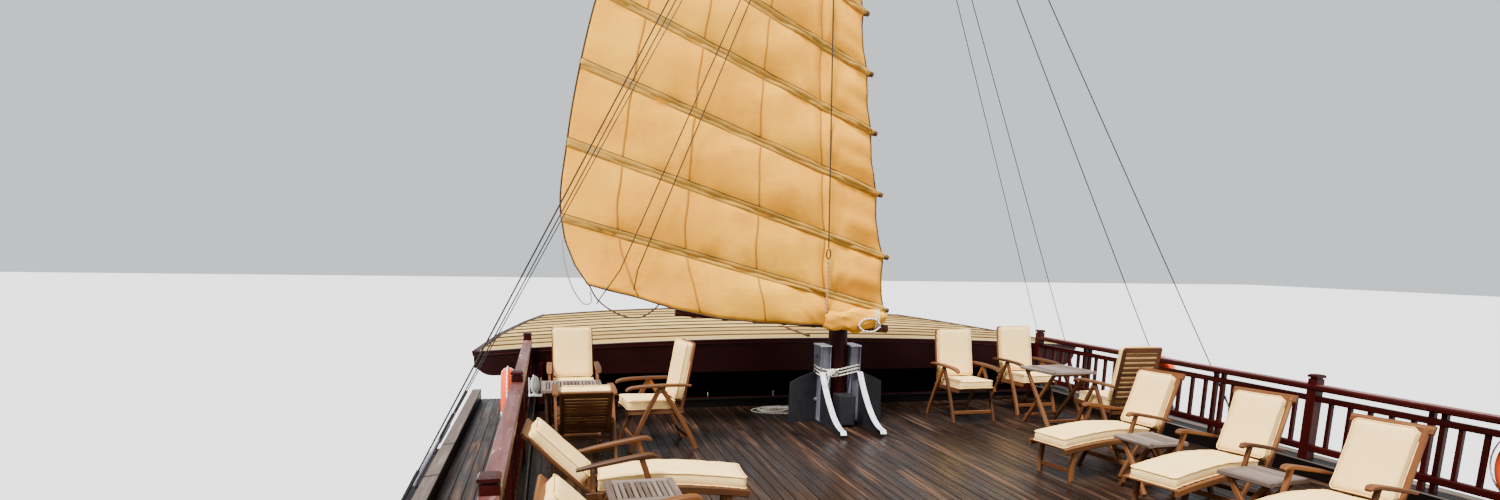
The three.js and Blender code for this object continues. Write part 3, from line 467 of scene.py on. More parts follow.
@dataclass(frozen=True)
class Cloth:
    """Woven cloth with slubs, soft mottling and stains, laid in the piece's own grain."""

    name: str
    body: str
    shade: str
    stain: str
    threads: float = 420.0
    mottle: float = 1.4
    soiled: float = 0.3
    sheen: float = 0.04
    shine: float = 0.15
    relief: float = 0.0006

    def make(self) -> bpy.types.Material:
        """Builds the material.

        Returns:
            The new material.
        """
        g = Graph(self.name)
        place = g.place(Lay.MEMBER, (1.0, 1.0, 1.0))
        warp_way = g.bands(place, self.threads / 20 * math.pi, 0.6, "X")
        weft_way = g.bands(place, self.threads / 20 * math.pi, 0.6, "Y")
        weave = g.sum("MULTIPLY", g.sum("ADD", warp_way, weft_way), 0.5)
        slubs = g.noise(g.place(Lay.MEMBER, (9.0, 150.0, 1.0)), detail=3.0)
        clouds = g.noise(g.place(Lay.MEMBER, (self.mottle, self.mottle * 1.6, 7.0)), detail=6.0, rough=0.62,
                         warp=0.5)
        dirt = g.noise(g.place(Lay.MEMBER, (2.6, 2.6, 3.0)), detail=7.0, rough=0.72)
        base = g.mix(g.sharpen(clouds, 0.3, 0.7), colour(self.body), colour(self.shade))
        threads = g.mix(g.sum("MULTIPLY", g.sharpen(slubs, 0.35, 0.7), 0.25), base, colour(self.stain))
        soiled = g.mix(g.sum("MULTIPLY", g.sharpen(dirt, 0.52, 0.8), self.soiled * 2), threads,
                       colour(self.stain))
        g.surface(Base_Color=soiled, Roughness=g.sharpen(weave, 0.0, 1.0, 0.95, 0.8), Sheen_Weight=self.sheen,
                  Specular_IOR_Level=self.shine)
        g.bump(g.sum("ADD", weave, g.sum("MULTIPLY", slubs, 0.8)), self.relief)
        return g.material


@dataclass(frozen=True)
class LaidRope:
    """Rope or wire, with the slant of its strands in the surface."""

    name: str
    body: str
    shade: str
    pitch: float = 0.05
    rough: tuple[float, float] = (0.8, 0.95)
    metallic: float = 0.0

    def make(self) -> bpy.types.Material:
        """Builds the material.

        Returns:
            The new material.
        """
        g = Graph(self.name)
        turns = math.pi / 10 / self.pitch
        slant = g.bands(g.place(Lay.MEMBER, (1.0, 1.0, 0.0)), turns * 1.4, 0.2, "DIAGONAL")
        fibres = g.noise(g.place(Lay.MEMBER, (60.0, 260.0, 3.0)), detail=4.0)
        dirt = g.noise(g.place(Lay.MEMBER, (3.0, 9.0, 3.0)), detail=5.0, rough=0.7)
        base = g.mix(g.sharpen(slant, 0.05, 0.5), colour(self.shade), colour(self.body))
        worn = g.mix(g.sharpen(dirt, 0.5, 0.8, 0.0, 0.6), base, colour(self.shade))
        g.surface(Base_Color=worn, Metallic=self.metallic, Roughness=g.sharpen(fibres, 0.3, 0.7, *self.rough))
        g.bump(g.sum("ADD", slant, g.sum("MULTIPLY", fibres, 0.3)), self.pitch * 0.06)
        return g.material


@dataclass(frozen=True)
class Glass:
    """Tinted glass that shows nothing behind it, as dark window panes, whose tint is painted shade of the
    rooms behind, or as a milky lamp.
    """

    name: str
    dark: str = "0d1213"
    light: str = "1b2423"

    def make(self) -> bpy.types.Material:
        """Builds the material.

        Returns:
            The new material.
        """
        g = Graph(self.name)
        ripples = g.noise(g.place(Lay.FORE_AND_AFT, (1.0, 1.0, 1.0)), 2.3, 3.0)
        tint = g.mix(g.sharpen(ripples, 0.3, 0.7), colour(self.dark), colour(self.light))
        g.surface(Base_Color=tint, Roughness=g.sharpen(ripples, 0.3, 0.7, 0.05, 0.12), Specular_IOR_Level=0.8)
        g.bump(ripples, 0.0006)
        return g.material


FINISHES = (
    Paint("bottom_paint", "2c0c09", "45170f", "3f3c30", wear=0.5, gloss=(0.5, 0.75)),
    # Lighter rail-top paint: real wear, and a painted highlight of the light falling on the tops.
    Paint("worn_rail", "3f1614", "77504c", "a58a82", wear=1.0, gloss=(0.3, 0.5)),
    Wood("wet_deck", "0d0806", "24160f", "5f4431", spread=0.6, streaks=0.45, gloss=(0.2, 0.5), relief=0.0009),
    Wood("roof_boards", "8c7140", "cbae6c", "a8803f", spread=0.6, streaks=0.35, gloss=(0.7, 0.9),
         relief=0.0011),
    Wood("walkway_boards", "2e1f16", "5b432f", "8a6c4b", spread=0.6, streaks=0.4, gloss=(0.45, 0.7)),
    Wood("kerb_wood", "3f3731", "6c6058", "8f8277", spread=0.6, streaks=0.45, gloss=(0.6, 0.85),
         relief=0.0012),
    Wood("teak", "301b0e", "6e4223", "96683c", spread=0.6, streaks=0.35, gloss=(0.42, 0.62), relief=0.0005),
    Wood("table_teak", "40322a", "7a6b62", "998c83", spread=0.6, streaks=0.4, gloss=(0.5, 0.7),
         relief=0.0005),
    Wood("strake_wood", "180d08", "33200f", "5e4028", spread=0.5, streaks=0.35, gloss=(0.4, 0.65),
         relief=0.002),
    Wood("spar_wood", "260d08", "562415", "84512f", spread=0.5, streaks=0.4, gloss=(0.35, 0.6),
         relief=0.0008),
    Wood("bamboo", "2b1a0e", "5f4322", "856536", spread=0.5, streaks=0.3, gloss=(0.4, 0.6), relief=0.0006),
    Paint("maroon", "160202", "260504", "4f3329", wear=0.15),
    Paint("rail_maroon", "200403", "3a0a08", "6d4636", wear=0.3, gloss=(0.25, 0.42)),
    Paint("house_maroon", "2a0807", "431210", "6b4a39", Lay.UPRIGHT, wear=0.2, boards=0.14),
    # Black paint on the shroud channels; on the kerb faces, the front sill and the roof's underside the black
    # is painted shade.
    Paint("black_paint", "060404", "120c0a", "3c322b", wear=0.4, gloss=(0.4, 0.6)),
    Paint("white_paint", "e4e2db", "f2f1ec", "9c9488", wear=0.3, gloss=(0.35, 0.55)),
    Metal("galvanised", "77747e", "5d5a66", "4c4239", metallic=0.3, gloss=(0.45, 0.7), spots=0.35),
    Metal("worn_steel", "e6e6ea", "b9b8c2", "6f6a70", metallic=0.1, gloss=(0.4, 0.65), spots=0.55),
    # The webs' steel: the galvanised steel darkened as painted shade.
    Metal("dark_steel", "1f1f23", "121216", "4a3c30", metallic=0.3, gloss=(0.4, 0.65), spots=0.4),
    Metal("bronze", "9a6a35", "6d4c2a", "3f5a4a", gloss=(0.25, 0.5)),
    Metal("iron", "141312", "221e1b", "4a2a18", metallic=0.6, gloss=(0.5, 0.75), spots=0.6),
    # The sail's own ochre, brightened as painted light for the light shining through the cloth.
    Cloth("sailcloth", "ee9a14", "ffb828", "bc7a12", threads=260.0, mottle=0.9, soiled=0.35, relief=0.0009),
    Cloth("seam_cloth", "ca861e", "b4721a", "8a5614", threads=260.0, mottle=2.0, soiled=0.4, relief=0.0009),
    Cloth("batten_cloth", "c9963c", "a67a2c", "6f521e", threads=260.0, mottle=2.2, soiled=0.5, relief=0.0016),
    Cloth("cream_canvas", "ffdc96", "fbcf80", "d2a55c", threads=520.0, mottle=2.6, soiled=0.12,
          relief=0.0005),
    Cloth("orange_canvas", "dd3c08", "ef5518", "8f2c0c", threads=520.0, mottle=5.0, soiled=0.2,
          relief=0.0005),
    Cloth("white_canvas", "e6e2d6", "d2ccbc", "96907f", threads=520.0, mottle=5.0, soiled=0.25,
          relief=0.0005),
    LaidRope("white_rope", "efe8da", "a59a86", 0.03),
    LaidRope("pale_rope", "b79a68", "74592f", 0.03),
    LaidRope("grey_rope", "8f8d88", "5d5b57", 0.02),
    LaidRope("tan_rope", "3c2412", "1d1008", 0.03),
    LaidRope("wire", "1d1b1a", "0c0b0b", 0.02, (0.4, 0.6), 0.4),
    # Near-black panes: painted shade of the rooms behind the windows.
    Glass("window_glass"),
    Glass("milk_glass", "c9ccc8", "e2e2dc"),
)


class Finishes:
    """The materials by name, each made once."""

    def __init__(self) -> None:
        """Makes each material."""
        self.made = {finish.name: finish.make() for finish in FINISHES}

    def __getitem__(self, name: str) -> bpy.types.Material:
        """Gives the material of that name."""
        return self.made[name]


def chamfered(width: float, height: float, chamfer: float = 0.004) -> list[tuple[float, float]]:
    """A rectangle with cut corners, as (across, up) points around its middle.

    Args:
        width: Its breadth.
        height: Its depth.
        chamfer: How far each corner is cut.

    Returns:
        The corners in order.
    """
    w, h = width / 2, height / 2
    c = min(chamfer, w * 0.45, h * 0.45)
    return [(w, -h + c), (w, h - c), (w - c, h), (-w + c, h), (-w, h - c), (-w, -h + c), (-w + c, -h),
            (w - c, -h)]


def round_turn(steps: int) -> list[float]:
    """Gives the angles of one whole turn in even steps."""
    return [2 * math.pi * i / steps for i in range(steps)]


def circle(radius: float, sides: int) -> list[tuple[float, float]]:
    """A regular ring of points around the middle."""
    return [(radius * math.cos(turn), radius * math.sin(turn)) for turn in round_turn(sides)]


class MeshMaker:
    """Collects the members of one piece, each with its own grain, and makes the object."""

    def __init__(self, seed: int = 1) -> None:
        """Starts an empty piece.

        Args:
            seed: Sets the members' tones, so that each run gives the same.
        """
        self.points: list[Vector] = []
        self.faces: list[tuple[int, ...]] = []
        self.grain: list[tuple[float, float, float]] = []
        self.dice = random.Random(seed)
        self.move = Matrix.Identity(4)

    def skin(self, rings: Sequence[Sequence[Point]], closed: bool = True, caps: bool = True,
             tone: float | None = None, plain: bool = False) -> int:
        """Joins rings of equal count into one member.

        Args:
            rings: The rings of points, one after another along the member.
            closed: Whether each ring closes on itself.
            caps: Whether the first and last rings are filled.
            tone: The member's own number from 0 to 1, or None for a random one.
            plain: Whether the grain starts at zero, for patterns that must line up.

        Returns:
            The number of the first point in the piece.
        """
        tone = self.dice.random() if tone is None else tone
        shift = 0.0 if plain else self.dice.uniform(0, 40)
        rings = [[self.move @ Vector(point) for point in ring] for ring in rings]
        count = len(rings[0])
        start = len(self.points)
        for ring in rings:
            self.points.extend(ring)
        middles = [sum(ring, Vector()) / count for ring in rings]
        along = [shift]
        for a, b in zip(middles, middles[1:]):
            along.append(along[-1] + (b - a).length)
        widest = max(rings, key=lambda ring: (ring[0] - ring[count // 2]).length)
        around = [shift]
        for i in range(count):
            around.append(around[-1] + (widest[(i + 1) % count] - widest[i]).length)
        for r in range(len(rings) - 1):
            for i in range(count if closed else count - 1):
                a = start + r * count + i
                b = start + r * count + (i + 1) % count
                self.faces.append((a, b, b + count, a + count))
                self.grain.extend([(along[r], around[i], tone), (along[r], around[i + 1], tone),
                                   (along[r + 1], around[i + 1], tone), (along[r + 1], around[i], tone)])
        if caps and closed:
            for r, order in ((0, -1), (len(rings) - 1, 1)):
                self.faces.append(tuple(start + r * count + i for i in range(count))[::order])
                self.grain.extend([(along[r] + 0.01 * i, around[i], tone) for i in range(count)][::order])
        return start

    def frames(self, path: Sequence[Point], up: Vector | None,
               loop: bool) -> list[tuple[Vector, Vector, Vector]]:
        """Gives each point of a path with the directions across it and up from it.

        Args:
            path: The points of the path.
            up: The way that up leans, or None to carry it along without twist.
            loop: Whether the path closes on itself.

        Returns:
            Point, across and up for each point.
        """
        points = [Vector(p) for p in path]
        count = len(points)
        found = []
        carried = None
        for i, point in enumerate(points):
            before = points[(i - 1) % count] if loop or i else point
            after = points[(i + 1) % count] if loop or i + 1 < count else point
            tangent = (after - before).normalized()
            lean = up if up is not None else (carried or (UP if abs(tangent.z) < 0.9 else AHEAD))
            across = lean.cross(tangent)
            if across.length < 1e-4:
                across = AHEAD.cross(tangent)
            across.normalize()
            carried = tangent.cross(across).normalized()
            found.append((point, across, carried))
        return found

    def sweep(self, path: Sequence[Point], section: Section, up: Vector | None = UP, loop: bool = False,
              sizes: Sequence[float] | None = None, **how: object) -> int:
        """Carries a section along a path.

        Args:
            path: The points of the path.
            section: The section's (across, up) points.
            up: The way that up leans, or None to carry it along without twist.
            loop: Whether the path closes on itself.
            sizes: How many times larger the section is at each point.
            how: Passed on to skin.

        Returns:
            The number of the first point in the piece.
        """
        sizes = sizes or [1.0] * len(path)
        rings = [
            [point + across * a * size + lift * b * size for a, b in section]
            for (point, across, lift), size in zip(self.frames(path, up, loop), sizes)
        ]
        if loop:
            rings.append(rings[0])
            how["caps"] = False
        return self.skin(rings, **how)

    def timber(self, a: Point, b: Point, width: float, height: float, chamfer: float = 0.004,
               up: Vector = UP, **how: object) -> None:
        """A straight timber between two points.

        Args:
            a: The middle of its first end.
            b: The middle of its other end.
            width: Its breadth.
            height: Its depth.
            chamfer: How far its corners are cut.
            up: The way that its depth leans.
            how: Passed on to sweep.
        """
        run = (Vector(b) - Vector(a)).normalized()
        lean = AHEAD if abs(run.dot(up)) > 0.97 else up
        self.sweep([a, b], chamfered(width, height, chamfer), lean, **how)

    def block(self, low: Point, high: Point, chamfer: float = 0.004, **how: object) -> None:
        """A box between two corners, with its grain along its longest side.

        Args:
            low: Its lowest corner.
            high: Its highest corner.
            chamfer: How far its corners are cut.
            how: Passed on to sweep.
        """
        low, high = Vector(low), Vector(high)
        size = high - low
        middle = (low + high) / 2
        axis = max(range(3), key=lambda i: size[i])
        a, b = middle.copy(), middle.copy()
        a[axis], b[axis] = low[axis], high[axis]
        width, height = {0: (size.y, size.z), 1: (size.x, size.z), 2: (size.y, size.x)}[axis]
        self.sweep([a, b], chamfered(width, height, chamfer), AHEAD if axis == 2 else UP, **how)

    def tube(self, path: Sequence[Point], radius: float, sides: int = 8, **how: object) -> None:
        """A round bar or rope along a path."""
        how.setdefault("up", None)
        self.sweep(path, circle(radius, sides), **how)

    def turned(self, profile: Section, foot: Point, axis: Vector = UP, sides: int = 16,
               **how: object) -> None:
        """A turned shape about an axis; the profile is (radius, distance along the axis) points.

        Args:
            profile: The outline's (radius, distance along the axis) points.
            foot: Where the axis starts.
            axis: The way that it points.
            sides: How many sides the shape has.
            how: Passed on to skin.
        """
        side = (AHEAD if abs(axis.dot(AHEAD)) < 0.9 else UP).cross(axis).normalized()
        other = axis.cross(side)
        rings = [
            [Vector(foot) + axis * t + side * max(r, 1e-4) * a + other * max(r, 1e-4) * b for a,
             b in circle(1, sides)]
            for r, t in profile
        ]
        self.skin(rings, **how)

    def plate(self, outline: Sequence[Point], thickness: Point, **how: object) -> None:
        """A flat outline of points given some thickness."""
        step = Vector(thickness)
        self.skin([[Vector(p) for p in outline], [Vector(p) + step for p in outline]], **how)

    def build(self, name: str, material: bpy.types.Material, body: str, slot: str,
              replaces: Sequence[str] = (),
              angle: float = 38.0, solid: bool = True) -> bpy.types.Object:
        """Makes the object and fastens it to the frame.

        Args:
            name: The piece's name.
            material: Its finish.
            body: The body that it rides on.
            slot: The record's material slot.
            replaces: The frame's nodes that it stands for.
            angle: Edges sharper than this many degrees stay sharp.
            solid: Whether its members are closed, so that faces can be turned outwards.

        Returns:
            The new object.
        """
        mesh = bpy.data.meshes.new(name)
        mesh.from_pydata(self.points, [], self.faces)
        attribute = mesh.attributes.new("grain", "FLOAT_VECTOR", "CORNER")
        attribute.data.foreach_set("vector", np.array(self.grain, np.float32).ravel())
        mesh.polygons.foreach_set("use_smooth", [True] * len(mesh.polygons))
        if solid:
            turned = bmesh.new()
            turned.from_mesh(mesh)
            bmesh.ops.recalc_face_normals(turned, faces=turned.faces)
            turned.to_mesh(mesh)
            turned.free()
        mesh.set_sharp_from_angle(angle=math.radians(angle))
        mesh.materials.append(material)
        piece = bpy.data.objects.new(name, mesh)
        bpy.context.scene.collection.objects.link(piece)
        return fasten(piece, body, slot, replaces)


def fasten(piece: bpy.types.Object, body: str, slot: str, replaces: Sequence[str] = ()) -> bpy.types.Object:
    """Rides a piece on its body and hides the nodes that it stands for.

    Args:
        piece: The piece.
        body: The body that it rides on.
        slot: The record's material slot; not used.
        replaces: The frame's nodes that it stands for.

    Returns:
        The same piece.
    """
    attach(piece, body)
    if replaces:
        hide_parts(*replaces)
    log.info("%s: %d faces on %s", piece.name, len(piece.data.polygons), body)
    return piece


# The view and the light


@dataclass
class Studio:
    """The camera of the photograph's view, a pale floor at the waterline and soft lights."""

    eye: tuple[float, float, float] = (-0.379, 3.067, 8.12)
    heading_to_starboard: float = 0.2433
    look_down: float = 0.1795
    lean: float = 0.0179
    lens: float = 19.315
    shift: float = 0.1004
    floor_reach: float = 260.0
    sky: tuple[float, float, float, float] = (0.82, 0.86, 0.9, 1)
    sky_strength: float = 1.05
    key_strength: float = 11.0
    fill_strength: float = 1.1

    def camera(self) -> None:
        """Sets the camera from its headings."""
        yaw, pitch = self.heading_to_starboard, self.look_down
        ahead = Vector((math.cos(yaw) * math.cos(pitch), -math.sin(yaw) * math.cos(pitch), -math.sin(pitch)))
        right = Vector((-math.sin(yaw), -math.cos(yaw), 0))
        lift = right.cross(ahead)
        across = right * math.cos(self.lean) + lift * math.sin(self.lean)
        upward = lift * math.cos(self.lean) - right * math.sin(self.lean)
        data = bpy.data.cameras.new("view")
        data.lens = self.lens
        data.sensor_fit = "HORIZONTAL"
        data.shift_y = self.shift
        data.clip_end = 1000
        camera = bpy.data.objects.new("view", data)
        turn = Matrix((across, upward, -ahead)).transposed().to_4x4()
        camera.matrix_world = Matrix.Translation(self.eye) @ turn
        bpy.context.scene.collection.objects.link(camera)
        bpy.context.scene.camera = camera

    def floor(self) -> None:
        """Lays the pale floor."""
        maker = MeshMaker()
        reach = self.floor_reach
        maker.skin([[(-reach, -reach, 0), (-reach, reach, 0)], [(reach, -reach, 0), (reach, reach, 0)]],
                   closed=False, plain=True)
        mesh = bpy.data.meshes.new("floor")
        mesh.from_pydata(maker.points, [], maker.faces)
        g = Graph("studio_floor")
        mottle = g.noise(g.place(Lay.FORE_AND_AFT, (0.05, 0.05, 0.05)))
        g.surface(Base_Color=g.mix(mottle, colour("cfd0cf"), colour("d6d6d4")), Roughness=0.9)
        mesh.materials.append(g.material)
        floor = bpy.data.objects.new("floor", mesh)
        bpy.context.scene.collection.objects.link(floor)

    def lights(self) -> None:
        """Hangs a bright soft key light, a weaker fill and an even sky."""
        world = bpy.data.worlds.new("sky")
        bpy.context.scene.world = world
        world.use_nodes = True
        world.node_tree.nodes["Background"].inputs["Color"].default_value = self.sky
        world.node_tree.nodes["Background"].inputs["Strength"].default_value = self.sky_strength
        for name, towards, strength, softness in (
            ("key", (0.35, -0.45, -1.0), self.key_strength, 0.35),
            ("fill", (0.8, 0.5, -0.45), self.fill_strength, 0.9),
        ):
            data = bpy.data.lights.new(name, "SUN")
            data.energy = strength
            data.angle = softness
            lamp = bpy.data.objects.new(name, data)
            lamp.rotation_euler = Vector(towards).to_track_quat("-Z", "Y").to_euler()
            bpy.context.scene.collection.objects.link(lamp)

    def build(self) -> None:
        """Sets up the view, the floor and the lights."""
        self.camera()
        self.floor()
        self.lights()


# Decks


@dataclass
class PlankedDeck:
    """Boards laid side by side with open seams, butted end to end in a shifted pattern."""

    width: float = 0.09
    seam: float = 0.006
    depth: float = 0.008
    length: float = 5.6
    shifts: tuple[float, ...] = (0.0, 0.55, 0.2, 0.75, 0.38)

    def lay(self, maker: MeshMaker, x0: float, x1: float, y0: float, y1: float, top: float,
            fore_and_aft: bool = True) -> None:
        """Lays the boards over a rectangle.

        Args:
            maker: The piece that gets them.
            x0: The rectangle's after edge.
            x1: Its forward edge.
            y0: Its starboard edge.
            y1: Its port edge.
            top: The height of the boards' tops.
            fore_and_aft: Whether the boards run along the ship.
        """
        start, end, low, high = (x0, x1, y0, y1) if fore_and_aft else (y0, y1, x0, x1)
        count = max(1, round((high - low) / self.width))
        pitch = (high - low) / count
        for i in range(count):
            middle = low + (i + 0.5) * pitch
            cuts = [start]
            place = start + self.length * (self.shifts[i % len(self.shifts)] or 1.0)
            while place < end - 0.3:
                cuts.append(place)
                place += self.length
            cuts.append(end)
            for a, b in zip(cuts, cuts[1:]):
                z = top - self.depth / 2 - maker.dice.uniform(0, 0.0012)
                ends = [(a + 0.001, middle, z), (b - 0.001, middle, z)]
                if not fore_and_aft:
                    ends = [(y, x, z) for x, y, z in ends]
                maker.timber(*ends, pitch - self.seam, self.depth, 0.0018)


@dataclass
class Sundeck:
    """The open top deck: its boards, side decks, kerbs, beams, and the posts that carry its overhang."""

    slab_low: float = 6.14
    kerb_width: float = 0.11
    rail_kerb: float = 0.13
    wing_front: float = 10.65
    post_y: float = 3.96
    post_first: float = -10.8
    post_pitch: float = 2.35
    post_count: int = 10
    boards: PlankedDeck = field(default_factory=PlankedDeck)

    def planking(self, finishes: Finishes) -> None:
        """Lays the dark boards of the deck and of the side decks.

        Args:
            finishes: The finishes by name.
        """
        maker = MeshMaker(11)
        inner = RAIL_HALF - self.rail_kerb / 2
        self.boards.lay(maker, POOP_FRONT - 0.2, SUNDECK_FRONT - 0.095, -inner, inner, SUNDECK)
        maker.build("sundeck_boards", finishes["wet_deck"], "ship", "deck_planks", ["sundeck"])
        maker = MeshMaker(12)
        for side in SIDES:
            edges = sorted((side * (RAIL_HALF + self.rail_kerb / 2),
                            side * (SIDE_DECK_HALF - self.kerb_width)))
            self.boards.lay(maker, SUNDECK_BACK, RAIL_FRONT_END, *edges, SIDE_DECK)
            edges = sorted((side * WING_INNER, side * (SIDE_DECK_HALF - self.kerb_width)))
            self.boards.lay(maker, RAIL_FRONT_END + 0.004, self.wing_front, *edges, SIDE_DECK)
        maker.build("side_deck_boards", finishes["wet_deck"], "ship", "deck_planks", ["sundeck"])

    def structure(self, finishes: Finishes) -> None:
        """Builds the deck's body, its edge mouldings and the beams under its overhang.

        Args:
            finishes: The finishes by name.
        """
        maker = MeshMaker(13)
        maker.block((SUNDECK_BACK, -RAIL_HALF, self.slab_low), (SUNDECK_FRONT, RAIL_HALF, SUNDECK - 0.007))
        for side in SIDES:
            y0, y1 = sorted((side * (RAIL_HALF + 0.001), side * (SIDE_DECK_HALF - 0.02)))
            maker.block((SUNDECK_BACK, y0, self.slab_low), (SUNDECK_FRONT, y1, SIDE_DECK - 0.007))
            y0, y1 = sorted((side * WING_INNER, side * (SIDE_DECK_HALF - 0.02)))
            maker.block((SUNDECK_FRONT + 0.001, y0, self.slab_low), (self.wing_front, y1, SIDE_DECK - 0.007))
            maker.block((SUNDECK_BACK - 0.01, side * 4.08 - 0.02, self.slab_low - 0.03),
                        (self.wing_front + 0.005, side * 4.08 + 0.02, SIDE_DECK + 0.012), 0.008)
            for n in range(39):
                x = SUNDECK_BACK + 0.5 + n * 0.59
                if x < 8.95:
                    y0, y1 = sorted((side * 3.305, side * 4.055))
                    maker.block((x - 0.035, y0, self.slab_low - 0.11), (x + 0.035, y1, self.slab_low + 0.01),
                                0.006)
        maker.build("sundeck_body", finishes["maroon"], "ship", "maroon_paint", ["sundeck"])

    def kerbs(self, finishes: Finishes) -> None:
        """Builds the outer kerbs with worn tops, the kerbs under the rails and the sill; the kerbs' faces and
        the sill are black as painted shade.

        Args:
            finishes: The finishes by name.
        """
        outer, under_rails, kerb_sides = MeshMaker(14), MeshMaker(15), MeshMaker(18)
        for side in SIDES:
            middle = side * (SIDE_DECK_HALF - self.kerb_width / 2)
            half = self.kerb_width / 2
            joints = [SUNDECK_BACK + n * 3.925 for n in range(7)]
            joints[-1] = self.wing_front
            for a, b in zip(joints, joints[1:]):
                outer.block((a + 0.001, middle - half, SUNDECK - 0.006),
                            (b - 0.001, middle + half, SUNDECK + 0.01), 0.005)
                kerb_sides.block((a + 0.001, middle - half + 0.003, SIDE_DECK - 0.03),
                                 (b - 0.001, middle + half - 0.003, SUNDECK - 0.006), 0.006)
            rail_y = side * RAIL_HALF
            under_rails.block((POOP_FRONT, rail_y - 0.065, SIDE_DECK - 0.02),
                              (RAIL_FRONT_END, rail_y + 0.065, RAIL_KERB_TOP), 0.008)
            outer.block((POOP_FRONT, rail_y - 0.07, RAIL_KERB_TOP - 0.012),
                        (RAIL_FRONT_END + 0.006, rail_y + 0.07, RAIL_KERB_TOP - 0.001), 0.004)
        outer.build("kerb_tops", finishes["kerb_wood"], "ship", "deck_planks", ["sundeck"])
        # The faces of the outer kerbs and of the kerbs under the rails are black as painted shade.
        kerb_sides.build("outer_kerbs", finishes["black_paint"], "ship", "maroon_paint", ["sundeck"])
        under_rails.build("rail_kerbs", finishes["black_paint"], "ship", "maroon_paint", ["sundeck"])
        # The sill is black as painted shade, like the dark gap under the roof's edge.
        edge = MeshMaker(16)
        edge.block((SUNDECK_FRONT - 0.09, -3.2, SUNDECK - 0.01), (SUNDECK_FRONT, 3.2, SUNDECK + 0.085))
        edge.block((SUNDECK_FRONT - 0.1, -3.2, SUNDECK + 0.085), (SUNDECK_FRONT + 0.004, 3.2, SUNDECK + 0.1),
                   0.005)
        edge.build("front_sill", finishes["black_paint"], "ship", "maroon_paint", ["sundeck"])

    def posts(self, finishes: Finishes) -> None:
        """Builds the veranda posts with bases, capitals and curved brackets.

        Args:
            finishes: The finishes by name.
        """
        maker = MeshMaker(17)
        for side in SIDES:
            for n in range(self.post_count):
                x, y = self.post_first + n * self.post_pitch, side * self.post_y
                foot, head = UPPER_DECK + 0.002, self.slab_low - 0.004
                maker.timber((x, y, foot), (x, y, head), 0.1, 0.1, 0.012)
                maker.block((x - 0.07, y - 0.07, foot), (x + 0.07, y + 0.07, foot + 0.22), 0.01)
                maker.block((x - 0.065, y - 0.065, head - 0.13), (x + 0.065, y + 0.065, head), 0.01)
                for way in SIDES:
                    bracket = [(x + way * (0.05 + 0.33 * math.sin(t)), y, head - 0.42 * math.cos(t) + 0.01)
                             for t in [math.pi / 2 * i / 7 for i in range(8)]]
                    maker.sweep(bracket, chamfered(0.04, 0.05, 0.006), Vector((0, 1, 0)))
            z = self.slab_low - 0.035
            y = side * self.post_y
            maker.block((SUNDECK_BACK + 0.3, y - 0.04, z - 0.06), (10.55, y + 0.04, z + 0.034), 0.008)
        maker.build("veranda_posts", finishes["maroon"], "ship", "maroon_paint", ["sundeck"])

    def build(self, finishes: Finishes) -> None:
        """Builds the whole sundeck.

        Args:
            finishes: The finishes by name.
        """
        self.planking(finishes)
        self.structure(finishes)
        self.kerbs(finishes)
        self.posts(finishes)


# Rails


